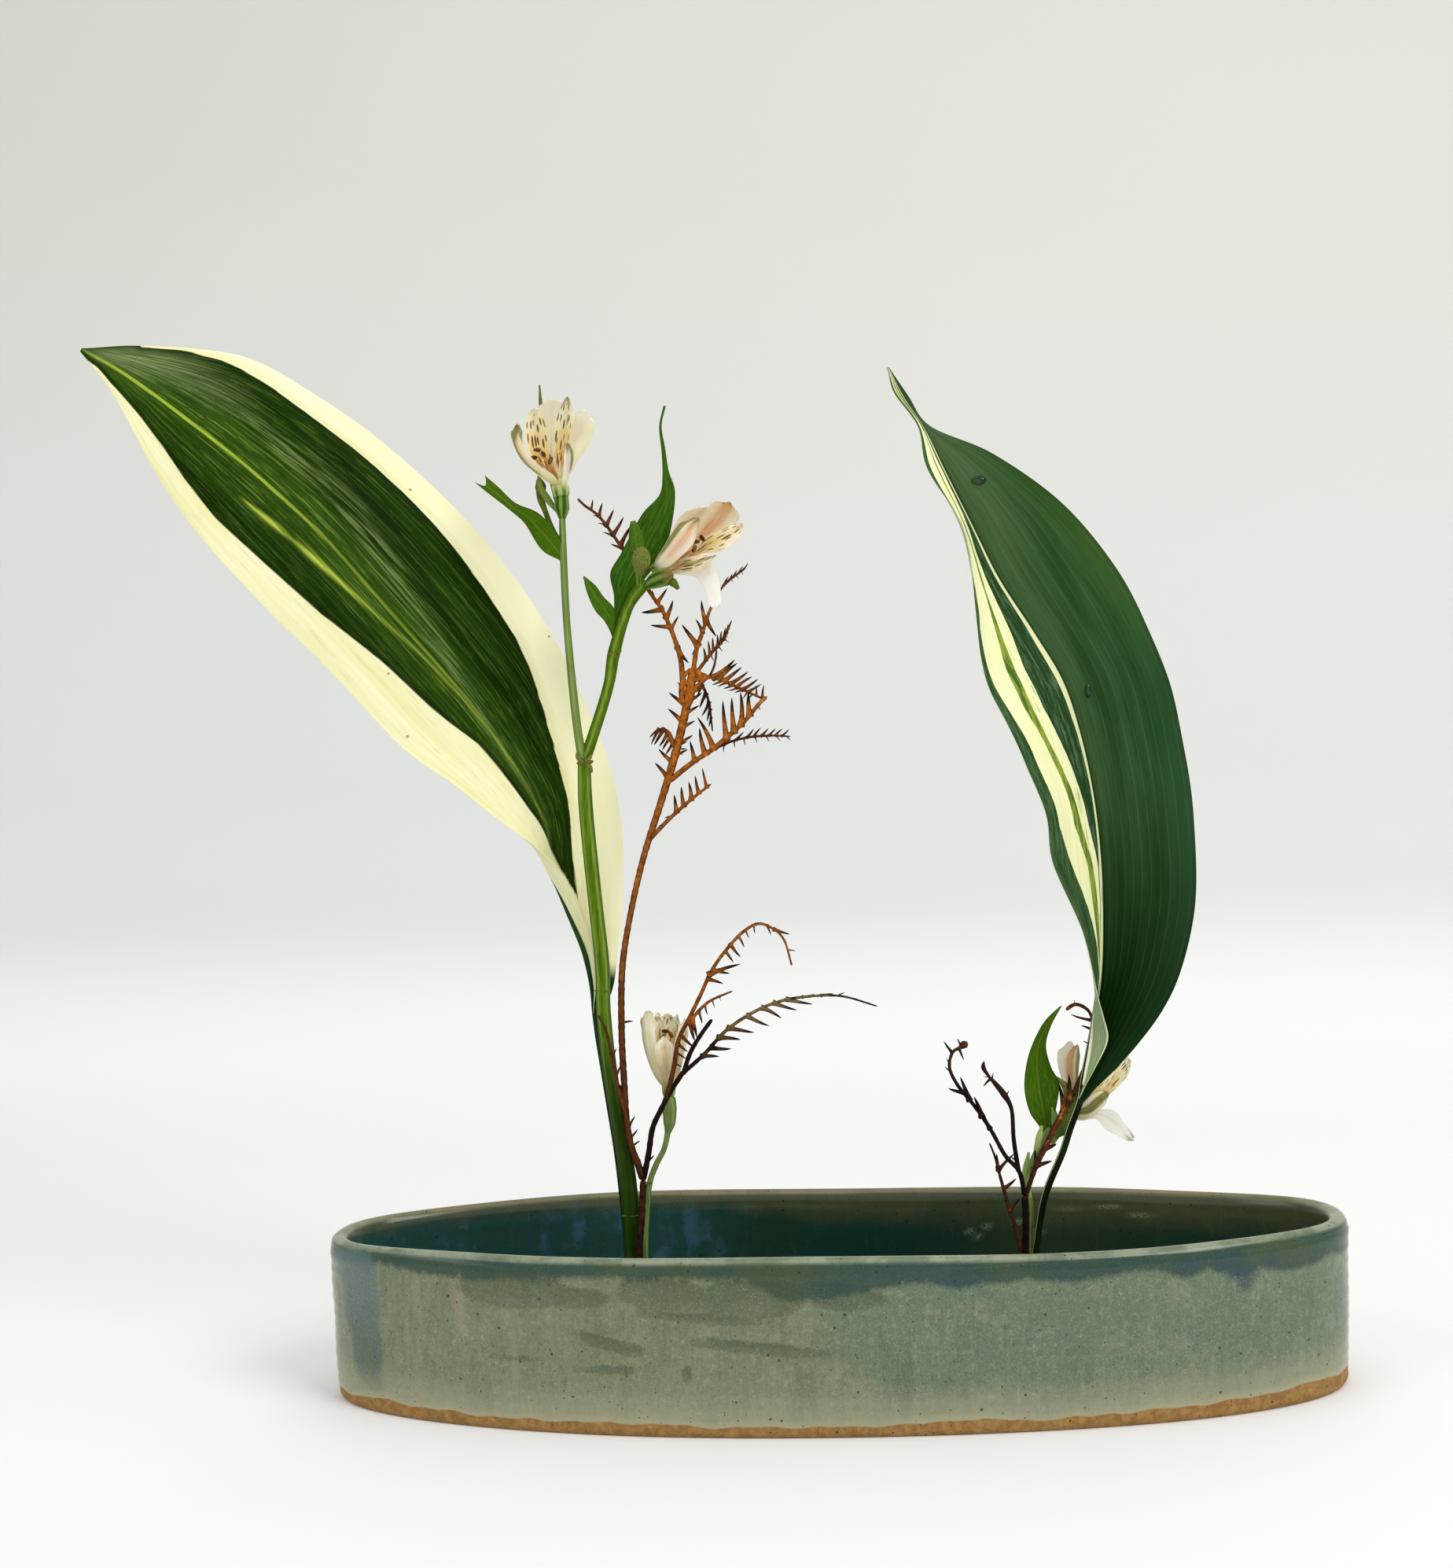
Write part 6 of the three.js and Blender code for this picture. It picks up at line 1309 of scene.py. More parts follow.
def left_leaf_finish():
    f = leaf_finish("leaf_cream_margin", 0.03)
    across, along, green, lower, upper, vein = f.values("across", "along", "green", "lower", "upper", "vein")
    tooth = f.add(green, f.wobble(f.fine, 0.9), f.wobble(f.hair, 0.9))
    outline = f.times(f.step(f.size(lower), 0.6, 0.2), f.step(upper, 2, 4))
    tone = f.fade(tooth, -0.2, 0.2, left_leaf_cream(f), left_leaf_green(f))
    tone = f.paint(tone, (outline, 0.8, "#0d1a03"))
    underside = f.paint(f.mix(0.3, tone, "#cfd3a0"), (vein, 0.6, 1.0, 0.25, "#a9b583"))
    fold = f.step(f.add(f.value("fold"), f.wobble(f.fine, 0.06)), -0.03, 0.03)
    right_end = f.times(f.step(across, 0.72, 0.84), f.step(along, 0.86, 0.9))
    stalk = f.fade(f.broad, 0.3, 0.7, "#16300f", "#284a24")
    tone = f.paint(
        underside,
        (f.value("face"), tone),
        (f.math("MAXIMUM", fold, right_end), f.fade(f.broad, 0.3, 0.7, "#12290c", "#24451c")),
        # the stalk's sides as seen from the front are darkened as painted shade
        (f.value("stalk"), f.paint(stalk, (f.value("flank"), 0.45, 0.95, 0.85, "#0b1605"))),
    )
    height = f.add(f.times(f.fine, 0.5), f.times(f.hair, 0.4))
    return f.to(Base_Color=tone, Roughness=f.scaled(f.fine, 0.34, 0.52), Normal=f.bump(height, 0.2, 0.5))


def right_leaf_green(f, across, along, vein):
    line = f.times(f.step(vein, 0.86, 1.0), f.step(f.fine, 0.3, 0.5))
    olive = f.times(f.step(across, 0.62, 1.0), f.step(along, 0.12, 0.3))
    return f.paint(
        f.fade(f.broad, 0.3, 0.7, "#244a20", "#335a31"),
        (f.fine, 0.55, 0.75, 0.3, "#3f6632"),
        (f.hair, 0.45, 0.3, 0.4, "#163510"),
        # painted highlight: grey-green sheen near the midrib
        (f.value("sheen"), f.scaled(f.hair, 0.25, 0.85), "#617650"),
        (along, 0.5, 0.82, 0.92, "#0a2302"),
        (line, f.scaled(f.broad, 0.1, 0.6), "#637f5c"),
        (olive, 0.45, f.fade(along, 0.25, 0.5, "#3c5f1c", "#2b5538")),
        (along, 0.5, 0.8, 0.65, "#061d00"),
        (across, 0.965, 0.995, 0.3, "#122409"),
    )


def right_leaf_stripes(f):
    """Stripes from the leaf's left edge to its midrib"""
    cream = f.fade(f.broad, 0.3, 0.7, "#fbfac6", "#f1f1b6")
    ragged = f.add(f.wobble(f.fine, 0.6), f.wobble(f.hair, 0.5))
    colours = {
        "dark_edge": cream,
        "outer_cream": f.fade(f.fine, 0.4, 0.6, "#93a53c", "#45662a"),
        "green_line": f.paint(cream, (f.fine, 0.56, 0.64, 0.75, "#8da545")),
        "inner_cream": f.fade(f.fine, 0.45, 0.7, "#24431f", "#5d7758"),
        "inner_green": "#e9ecb9",
    }
    tone = f.fade(f.fine, 0.4, 0.62, "#284824", "#4c6a44")
    for name, past_it in colours.items():
        tone = f.fade(f.add(f.value(name), ragged), -0.12, 0.12, tone, past_it)
    return tone


def right_leaf_finish():
    f = leaf_finish("leaf_dark_striped", 0.04)
    across, along, side, vein = f.values("across", "along", "side", "vein")
    right_half = f.add(side, f.wobble(f.fine, 0.3))
    tone = f.fade(right_half, 0.1, 0.45, right_leaf_stripes(f), right_leaf_green(f, across, along, vein))
    # Painted shade: a near-black line down the midrib crease where the leaf folds
    crease = f.times(f.step(f.size(f.add(side, -0.5)), 0.5, 0.1), f.step(along, 0.1, 0.2))
    tone = f.paint(tone, (crease, 0.75, "#0b1a07"))
    underside = f.paint(
        f.mix(0.65, tone, "#a5b384"),
        (f.times(f.step(vein, 0.7, 1.0), f.step(f.fine, 0.35, 0.55)), 0.6, "#dfe3c0"),
        (across, -0.93, -0.97, "#e6e8bd"),
        (f.times(f.step(side, -1.9, -1.3), f.step(along, 0.7, 0.76)), "#eef0cb"),
    )
    stalk = f.fade(f.broad, 0.3, 0.7, "#0a1405", "#17250f")
    stalk = f.paint(stalk, (f.value("margin"), 0.45, 0.75, "#dbe0b6"))
    tone = f.paint(underside, (f.value("face"), tone), (f.value("stalk"), stalk))
    height = f.add(f.times(f.fine, 0.4), f.times(f.hair, 0.4))
    return f.to(Base_Color=tone, Roughness=f.scaled(f.fine, 0.32, 0.48), Normal=f.bump(height, 0.2, 0.5))


# Alstroemeria stems

def small_leaf(leaf, rows=46, columns=18, **values):
    grid, along, across, half_width = blade_grid(leaf, rows, columns, 0.3)
    side = across * half_width
    vein = np.cos(across * math.pi * 5)
    fade = smooth_step(along, 0, 0.15) * smooth_step(1 - along, 0, 0.1)
    groove = -0.22 * np.exp(-(side / 0.5) ** 2)
    thin = SMALL_LEAF_THICKNESS * (1 - 0.5 * np.abs(across) ** 6)
    return sheet(grid, thin + 0 * along, 0.05 * vein * fade + groove * fade, -0.05 * vein * fade,
                 along=along, across=across, side=side, vein=vein * fade, leafy=1, **values)


def stem_relief(ridges, depth=0.1):
    def relief(turn, run):
        return depth * np.cos(turn * ridges + run * 0.01) + 0.04 * np.sin(run * 0.9) * np.cos(turn)
    return relief


def collar(centre, radius, height, tilt=0.0, seed=1):
    """Low ragged ring of torn skin where a leaf or branch left the stem"""
    turn = np.linspace(0, TURN, 24, endpoint=False)
    ragged = 1 + 0.12 * np.sin(turn * 3 + seed) + 0.08 * np.sin(turn * 7 + 2 * seed)
    rows = [[0.75, -1], [1, -0.4], [1.12, 0.1], [1.1, 0.5], [0.8, 0.7]]
    rings = []
    for share, up in rows:
        reach = radius * share * ragged
        lift = up * height + tilt * np.cos(turn) * radius
        rings.append(np.stack([np.cos(turn) * reach, np.sin(turn) * reach, lift], axis=-1) + centre)
    return closed_rings(rings, node=1)


# Thin bracts as [path, half width along it, pale, olive]
TALL_BRACTS = [
  [[[-106, -8, 361.5], [-105.5, -7, 357], [-103, -7, 352.5], [-99, -9, 347]],
    [0.4, 1.1, 1.3, 0.5], 0.5, 0.3],
  [[[-68.4, -15, 340.8], [-67.4, -15.8, 335], [-67, -15.8, 330], [-66.4, -15, 326]],
    [0.8, 1.9, 2.6, 2.9, 2.9, 2.7, 2.2, 1.5], 0.0, 0.1],
  [[[-65.6, -16.5, 330.4], [-65.4, -17.6, 325], [-66.6, -16.4, 319.6]],
    [1.0, 2.5, 3.3, 3.6, 3.5, 3.0, 2.2, 1.1], 0.1, 0.7],
  [[[-51, -20, 313], [-53, -20.5, 315.5], [-56, -18, 317]], [0.5, 1.6, 0.8], 0, 0.2],
  [[[-92.5, -7, 247.5], [-94, -7.5, 249.5], [-94.5, -7, 251.5]], [0.5, 0.7, 0.2], 0.3, 0.8],
  [[[-91, -7, 248], [-89.5, -7.5, 249], [-88.5, -7, 250.5]], [0.5, 0.6, 0.2], 0.3, 0.8],
  [[[-90.5, -7, 247], [-89, -7.5, 245.5], [-88.5, -7.2, 243.5]], [0.4, 0.6, 0.2], 0.2, 0.9],
]
LOW_BRACTS = [
  [[[78.8, 5, 88], [77.7, 5, 82], [77.2, 4.8, 76], [78.5, 4.6, 70]], [0.3, 1.3, 1.5, 0.8], 0.9, 0],
  [[[84.6, 7, 98], [83.2, 6.5, 93.5], [82.3, 6.3, 89], [81, 6.3, 85]], [0.4, 1.2, 1.2, 0.5], 1, 0],
  [[[91, 10.5, 116.5], [94.5, 10.5, 113], [95.5, 10.5, 109], [93.3, 10.8, 104.5]],
    [0.4, 1.3, 1.5, 0.5], 0.2, 0.9],
  [[[98.5, 13.5, 108], [96.8, 13, 103.5], [94.6, 12, 98.5], [91.5, 10.5, 94]],
    [0.6, 1.9, 2.2, 1.0], 0, 0.75],
  [[[96.5, 10, 98.5], [93.5, 9.5, 96], [90, 9.5, 93]], [0.5, 2.4, 0.8], 0.15, 0.1],
  [[[89.5, 11, 104.5], [90.5, 10.8, 99], [90.5, 10.5, 94], [88.5, 10, 90]], [0.5, 1.7, 1.6, 0.8], 0.65, 0.2],
  [[[102.5, 14.5, 117.5], [101, 14.5, 111.5], [99, 14, 106], [97, 13, 102]], [0.5, 1.5, 1.7, 0.6], 0, 0.1],
]
BRACT_THICKNESS = 0.35


def bract_shape(path, half_widths, pale, olive, rows=26, columns=8):
    """Thin bract that faces the front, cupped a little"""
    along = np.linspace(0, 1, rows + 1)
    centre = spline(path, along)
    tangent = unit(np.gradient(centre, axis=0))
    front = np.array([0, -1.0, 0])
    aside = unit(np.cross(tangent, front))
    half_width = values_along(half_widths, along)[:, None]
    across = np.linspace(-1, 1, columns + 1)[None, :]
    waves_on_it = 0.15 * np.sin(along * 17)[:, None] * across
    cup = 0.45 * half_width * (1 - across ** 2) + waves_on_it + 0.12 * np.cos(across * math.pi * 3)
    grid = centre[:, None] + aside[:, None] * (across * half_width)[..., None] + front * cup[..., None]
    return sheet(grid, BRACT_THICKNESS, along=along[:, None], across=across, side=across * half_width,
                 vein=np.cos(across * math.pi * 3) + 0 * half_width, leafy=1, pale=pale, olive=olive,
                 deep=0.6)


def tall_stem_shape():
    ovary = stem_relief(6, 0.25)
    shapes = [
        tube(TALL_STEM, TALL_STEM_RADII, 30, 1.0, stem_relief(5, 0.13), ridges=5),
        tube(LEFT_BRANCH, LEFT_BRANCH_RADII, 20, 1.0, stem_relief(4, 0.06), ridges=4, slim=0.8),
        tube(RIGHT_BRANCH, RIGHT_BRANCH_RADII, 20, 1.0, stem_relief(4, 0.07), ridges=4),
        tube(LEFT_OVARY, OVARY_RADII, 30, 0.5, ovary, round_ends=False, ridges=6, ovary=1),
        tube(SIDE_BRACT, SIDE_BRACT_RADII, 16, 0.7, stem_relief(4, 0.1), olive=0.3),
        tube(BUD_STALK, BUD_STALK_RADII, 20, 0.6, stem_relief(4, 0.15), ridges=5, pale=0.05),
        tube(GREEN_BUD, GREEN_BUD_RADII, 30, 0.5, stem_relief(6, 0.3), ridges=6, ovary=1, crown=1),
        small_leaf(REAR_BRACT, 30, 8, olive=0.8),
        small_leaf(FORKED_LEAF),
        small_leaf(TALL_LEAF, 80, 26, deep=1),
        small_leaf(SMALL_LEAF, deep=0.5),
        collar([-92, -4, 247.5], 2.9, 1.1, 0.1, 1),
        collar([-78.5, -6, 290.2], 2.5, 1.2, 0.3, 2),
        collar([-79, 0, 67.5], 3.4, 0.7, 0, 3),
        collar([-87.6, -2.2, 157], 2.75, 0.5, 0, 4),
    ]
    return join(shapes + [bract_shape(*row) for row in TALL_BRACTS])


def short_stem_shape():
    return join([tube(SHORT_STEM, SHORT_STEM_RADII, 22, 0.8, stem_relief(5, 0.14), ridges=5, slim=1),
                 collar([-72, 5, 79], 1.15, 0.5, 0, 5)])


def low_stem_shape():
    shapes = [tube(LOW_STEM, LOW_STEM_RADII, 20, 0.8, stem_relief(5, 0.1), ridges=5, slim=1),
              small_leaf(LOW_LEAF, 70, 26, deep=0.2),
              collar([79.8, 7.8, 81.5], 1.2, 0.5, 0, 6)]
    return join(shapes + [bract_shape(*row) for row in LOW_BRACTS])


def stalk_green(f, ridge, slim, flank):
    level = f.add(f.split(f.here)[2], f.wobble(f.streak, 0.02))
    return f.paint(
        f.fade(f.streak, 0.35, 0.65, "#42610a", "#67831c"),
        (f.cloud, 0.45, 0.7, 0.5, "#3f5f0a"),
        (ridge, 0.2, 1.0, 0.4, "#9cb350"),
        (ridge, -0.3, -1.0, 0.45, "#345208"),
        (f.times(f.step(level, 0.155, 0.105), f.step(slim, 1.0, 0.0)), 0.85, "#1b350a"),
        (slim, f.scaled(f.streak, 0.15, 0.75), "#94a66a"),
        # painted shade: the stem's sides as seen from the front are darkened
        (f.add(flank, f.wobble(f.streak, 0.2)), 0.75, 1.0, 0.5, "#22390a"),
    )


def small_leaf_green(f, lines, across):
    deep, side, vein = f.values("deep", "side", "vein")
    return f.paint(
        f.fade(lines, 0.38, 0.65, "#3a5c07", "#517511"),
        (deep, f.fade(lines, 0.38, 0.65, "#264e05", "#45701c")),
        (f.size(side), 0.4, 0.05, f.scaled(deep, 0.35, 0.1), "#7c9a3a"),
        (vein, 0.85, 1.0, 0.15, "#6b8a34"),
        (f.size(across), 0.84, 1.0, 0.6, "#1c3305"),
    )


def stem_finish():
    f = Finish("green_stem", IOR=1.45, Specular_IOR_Level=0.04, Subsurface_Weight=0.08,
               Subsurface_Scale=0.0015)
    f.here = f.place()
    f.streak, f.cloud = f.noise(f.place(1, 1, 0.1), 900, 3, 0.6), f.noise(f.here, 60, 3)
    across, along, ridge, slim, flank = f.values("across", "along", "ridge", "slim", "flank")
    lines = f.noise(f.vector(f.times(across, 7.0), f.times(along, 8.0)), 1.4, 4, 0.7)
    swollen = f.fade(f.add(ridge, f.wobble(f.streak, 0.8)), -0.6, 0.9, "#375518", "#76903f")
    dry = f.times(f.value("crown"), f.step(along, 0.7, 0.92))
    tone = f.paint(
        stalk_green(f, ridge, slim, flank),
        (f.value("leafy"), small_leaf_green(f, lines, across)),
        (f.value("ovary"), swollen),
        (f.value("pale"), f.scaled(lines, 0.5, 1.2), "#a9c06c"),
        (f.value("olive"), f.scaled(f.streak, 0.6, 1.2), f.fade(lines, 0.42, 0.6, "#5e5626", "#8c8a48")),
        (dry, 0.85, f.mix(f.streak, "#5a4526", "#8a7a44")),
        (f.value("node"), f.scaled(f.cloud, 0.2, 1.2), "#6d6a2c"),
    )
    height = f.add(f.noise(f.here, 1500, 2), f.times(f.streak, 1.5))
    return f.to(Base_Color=tone, Roughness=f.scaled(f.cloud, 0.32, 0.55), Normal=f.bump(height, 0.12, 0.5))


# Blooms

# Each tepal's look: green tip, green midrib, pink, flecks, brown tip, white, and where across it
# the pink lies; the green midrib then lies on the other side
TEPAL_LOOKS = {
  "bloom_upper_left": {
    "outerLeft": [2.2, 3, 0.6, 0, 0.9, 0, 0.35],
    "innerLeft": [0, 0.1, 0.1, 1, 0.25, 0, 0],
    "outerBack": [0, 0.05, 0, 0, 0, 0.3, 0],
    "innerRight": [0.2, 0.1, 0.1, 1, 1, 0, 0],
    "outerRight": [0, 0, 0, 0, 0, 0.1, 0],
    "innerFront": [1, 1.2, 0.6, 0, 0.2, 0.8, -0.5],
  },
  "bloom_upper_right": {
    "outerLeft": [0.7, 1.6, 0.9, 0, 0.5, 0.4, 0.7],
    "outerBack": [0, 0, 0.25, 0, 0.1, 0.3, 0],
    "outerTop": [0.1, 0, 1.6, 0.05, 0.8, 0, 0],
    "innerUpper": [0, 0.1, 0.35, 1, 0.5, 0, 0],
    "innerLower": [0.1, 0.8, 0.1, 0.5, 0, 0.2, 0],
    "outerHanging": [0, 0, 0, 0, 0.3, 1, 0],
  },
  "bloom_lower_left": {
    "outerLeft": [0.3, 1.3, 0.05, 0, 0.15, 0.1, 0.95],
    "outerFront": [0, 0.15, 0.3, 0.2, 0, 0, 0],
    "innerLeft": [0, 0.1, 0, 1, 0, 0, 0],
    "outerBack": [0, 0, 0.1, 0.8, 0, 0.1, 0],
    "innerRight": [0.1, 0.3, 0, 1, 0, 0, 0],
    "outerRight": [0.35, 0.15, 0.1, 0.3, 0, 0.2, 0],
  },
  "bloom_lower_right": {
    "outerLeft": [0.1, 0, 0, 0, 0, 0.5, 0],
    "innerLeft": [0.5, 1.4, 2.2, 0, 0.4, 0, -0.8],
    "outerRight": [0, 0.05, 0.1, 1, 0.2, 0.1, 0],
    "innerRight": [0, 0.1, 0.05, 1, 0, 0, 0],
    # innerLow: green and brown spread over nearly all of it, so it is dark olive-brown, partly its own
    # colour and partly painted shade under the bloom
    "innerLow": [1, 9, 0, 0, 0.9, 0, 0],
    "outerHanging": [0, 0.1, 0, 0, 0.9, 1, 0],
  },
}
# How far ochre spreads from the base of a bloom's tepals
OCHRE = {
  "bloom_upper_left": 0.1,
  "bloom_upper_right": 0.1,
  "bloom_lower_left": 0.5,
  "bloom_lower_right": 0.2,
}
FLOWER_BASE_RADII = [2.5, 3.0, 3.0, 2.0]
FLOWER_BASE_SINK = 1.3
FLOWER_BASE_LENGTH = 5.5
CUP_SCALE = {
  "bloom_upper_left": 1.12,
  "bloom_upper_right": 0.95,
  "bloom_lower_left": 0.9,
  "bloom_lower_right": 0.85,
}
TEPAL_CUP = 0.32
FILAMENT_BOW = 1.5


def bloom_axis(flower):
    base = np.array(flower["base"], float)
    middles = [spline(edge, 0.5)[0] - base for edges in flower["tepals"].values() for edge in edges]
    return unit(np.sum(middles, axis=0))


def tepal_shape(base, axis, edges, look, order, rows=40, columns=22):
    along = np.linspace(0, 1, rows + 1)
    across = np.linspace(-1, 1, columns + 1)
    left, right = (spline(edge, along) for edge in edges)
    span = right - left
    centre = (left + right) / 2
    outward = centre - base
    outward = outward - axis * (outward @ axis)[:, None]
    outward = outward - span * (np.sum(outward * span, axis=1) / np.sum(span * span, axis=1))[:, None]
    outward = unit(outward)
    half_width = np.linalg.norm(span, axis=1)[:, None] / 2
    length = np.sum(np.linalg.norm(np.diff(centre, axis=0), axis=1))
    along, across = along[:, None], across[None, :]
    forward = unit(np.gradient(centre, axis=0))
    bulge = TEPAL_CUP * half_width * (1 - across ** 2)
    ruffle = 0.45 * smooth_step(along, 0.45, 0.9) * across ** 2
    ruffle = ruffle * np.sin(along * 23 + across * 3 + order * 1.7)
    keel = 0.35 * np.exp(-(across / 0.14) ** 2) * smooth_step(along, 0.1, 0.4)
    lift = bulge + ruffle + keel
    tip = 0.6 * smooth_step(along, 0.82, 1.0) * (1 - across ** 2)
    notches = np.sin(across * 11 + order * 2) + 0.6 * np.sin(across * 23 + order)
    torn = 0.35 * smooth_step(along, 0.88, 1.0) * notches
    grid = (centre[:, None] + span[:, None] * across[..., None] / 2 + outward[:, None] * lift[..., None]
            + forward[:, None] * (tip + torn)[..., None])
    green_tip, green_rib, pink, fleck, brown, white, lean = look
    rib = np.exp(-((across + lean) / 0.3) ** 2)
    blush = np.exp(-((across - 0.4 * lean) / 0.36) ** 2)
    near_tip = smooth_step(along + 0.06 * np.sin(across * 9 + order), 0.66, 0.98)
    thin = TEPAL_THICKNESS * (1 - 0.5 * np.abs(across) ** 4) * (1 - 0.3 * along)
    return sheet(
        grid, thin, along=along, across=across, order=order * 3.7 + 0 * along,
        side=across * half_width, far=along * length,
        vein=np.cos(across * math.pi * 6) + 0 * along, white=white,
        green=np.clip(green_tip * near_tip + green_rib * rib * smooth_step(along, 0.1, 0.5), 0, 1),
        pink=np.clip(pink * (0.12 + 0.88 * blush) * smooth_step(along, 0.1, 0.5), 0, 1),
        fleck=fleck * smooth_step(along, 0.12, 0.3) * smooth_step(along, 0.97, 0.8) * (1 - across ** 4),
        brown=brown * smooth_step(along + 0.05 * np.sin(across * 6), 0.86, 1.0) + 0 * across,
    )


def anther_shape(place, direction, length=3.3, radius=0.85):
    """Small long pod lying across the end of its filament"""
    share = np.linspace(0.02, 0.98, 9)
    helper = np.array([0.3, 1, 0.2])
    across = unit(np.cross(direction, helper))
    other = np.cross(direction, across)
    radii = radius * np.sqrt(1 - (2 * share - 1) ** 2)
    centres = place + np.outer((share - 0.5) * length, direction)
    return closed_rings(centres[:, None] + circle(across, other, 12) * radii[:, None, None], anther=1)


def bloom_shape(name, flower):
    base = np.array(flower["base"], float)
    axis = bloom_axis(flower)
    foot, top = base - axis * FLOWER_BASE_SINK, base + axis * FLOWER_BASE_LENGTH
    middle = (base + top) / 2
    radii = np.array(FLOWER_BASE_RADII) * CUP_SCALE[name]
    shapes = [tube([foot, base, middle, top], radii, 30, 0.4, stem_relief(6, 0.22),
                   round_ends=False, ridges=6, cup=1)]
    for order, (key, edges) in enumerate(flower["tepals"].items()):
        shapes.append(tepal_shape(base, axis, edges, TEPAL_LOOKS[name][key], order))
    for order, anther in enumerate(flower["anthers"]):
        end = np.array(anther, float)
        halfway = (middle + end) / 2 + axis * FILAMENT_BOW
        shapes.append(tube([middle, halfway, end], [0.5, 0.4, 0.3], 8, 0.8, filament=1))
        lean = unit(np.array([math.cos(order * 2.1), math.sin(order * 1.3) * 0.4, math.sin(order * 2.1)]))
        shapes.append(anther_shape(end, lean))
    style = (middle + np.mean(flower["anthers"], axis=0)) / 2
    shapes.append(tube([middle, (middle + style) / 2 + axis, style], [0.35, 0.3, 0.3], 8, 0.8, filament=1))
    return join(shapes).set(ochre=OCHRE[name])


def dashes(f, across, far, order):
    """Rows of dark dashes that lie along a tepal"""
    place = f.vector(f.add(f.times(across, 3.2), order), f.times(far, 0.13))
    distance, chance = f.cells(place, 1.0, 0.7, "2D")
    return f.step(distance, f.scaled(chance, 0.2, 0.36), f.scaled(chance, 0.1, 0.26))


def tepal_finish(name, pale, warm, pink):
    f = Finish(name, IOR=1.4, Specular_IOR_Level=0.2, Subsurface_Weight=0.35, Subsurface_Scale=0.003,
               Subsurface_Radius=(1.0, 0.85, 0.6))
    across, along, side, far, order = f.values("across", "along", "side", "far", "order")
    fleck, green, ridge, vein = f.values("fleck", "green", "ridge", "vein")
    lines = f.noise(f.vector(side, f.times(far, 0.14), order), 1.5, 4, 0.65)
    cloud = f.noise(f.place(), 160, 3)
    throat = f.times(fleck, f.step(along, 0.16, 0.34), f.step(along, 0.8, 0.5))
    burnt = f.times(fleck, f.step(along, 0.1, 0.2), f.step(along, 0.46, 0.3))
    spots = f.times(dashes(f, across, far, order), f.step(fleck, 0.12, 0.4))
    cup = f.fade(ridge, -0.6, 0.6, "#5f7a2c", "#a5b268")
    tone = f.paint(
        f.fade(cloud, 0.3, 0.7, pale, warm),
        (f.value("white"), 0.85, "#fbf9ec"),
        (f.add(along, f.wobble(lines, 0.3)), 0.75, 0.15, f.value("ochre"), "#c79a55"),
        (along, 0.25, 0.03, "#b4b964"),
        (lines, 0.54, 0.72, 0.25, "#d6b872"),
        (vein, 0.7, 1.0, 0.1, "#b9a56a"),
        (f.value("pink"), f.scaled(lines, 0.35, 1.15), pink),
        (throat, 0.7, "#e3b04c"),
        (burnt, f.step(lines, 0.36, 0.54), "#a05a16"),
        (green, f.scaled(lines, 0.6, 1.3), "#606828"),
        (f.value("brown"), f.scaled(lines, 0.4, 1.2), "#5f4022"),
        (f.size(across), 0.86, 1.0, f.scaled(green, 0.12, 0.8), "#8d7c45"),
        (spots, 0.95, "#2d160c"),
        (f.value("cup"), f.fade(along, 0.2, 0.8, cup, "#cfcb8a")),
        (f.value("filament"), "#c98f58"),
        (f.value("anther"), f.fade(cloud, 0.4, 0.6, "#3c240e", "#7a5a26")),
    )
    height = f.add(lines, f.times(vein, 0.12))
    return f.to(Base_Color=tone, Roughness=f.scaled(cloud, 0.42, 0.62), Normal=f.bump(height, 0.14, 0.5))


# Dried twigs

SPUR_RADIUS = 0.95
SPUR_SHARE_OF_LIMB = 1.15
SPUR_SHARE_OF_LENGTH = 0.12
SPUR_TILT = 0.45
SPUR_LENGTHS = [1.06, 1.22]
SMALL_SPUR_SCALE = 1.25
SPUR_CLEARANCE = 1.2
SPUR_SHORTENINGS = 4
SHORTENED_TO = 0.75
SHORTEST_DRAWN_SPUR = 3
# Places along a spur, and its thickness there
SPUR_PLACES = [-0.07, 0.0, 0.06, 0.15, 0.3, 0.5, 0.7, 0.88, 1.0]
SPUR_SIDES = 8
SPUR_THICKNESS = [1.7, 1.65, 1.45, 1.22, 1.02, 0.86, 0.66, 0.4, 0.05]
# How warm each limb's wood is from near black to orange brown, read along the limb
LEFT_WARMTH = [
  [0.1, 0.2], [0.25, 0.45, 0.7, 0.85, 0.95], [0.95, 0.9, 0.5, 0.35], [0.9, 0.7, 0.3], [0.7, 0.4],
  [0.9, 0.55], [0.85, 0.95], [0.15, 0.4], [0.6, 0.85], [0.8, 0.3], [0.5, 0.3], [0, 0], [0.3, 0.75, 0.6],
  [0.8, 0.6], [0, 0], [0, 0.4, 0.1], [0.3, 0], [1, 1], [0.4, 0.3],
]
RIGHT_WARMTH = [[0.15, 0.1], [0, 0.2, 0.1, 0.8], [0.05, 0.3], [0.3, 0.75, 0.7, 0.7]]
SMALL_TWIG_WARMTH = [[0.55, 0.45, 0.1]]
# The one limb of the left twig that is olive
OLIVE_LIMB = 15
# Limbs drawn thicker or thinner: limb number, with the scale at even steps from root to tip
LEFT_THICKER = {1: [1.2, 1.2]}
RIGHT_THICKER = {3: [0.9, 0.75, 0.9, 1.9]}
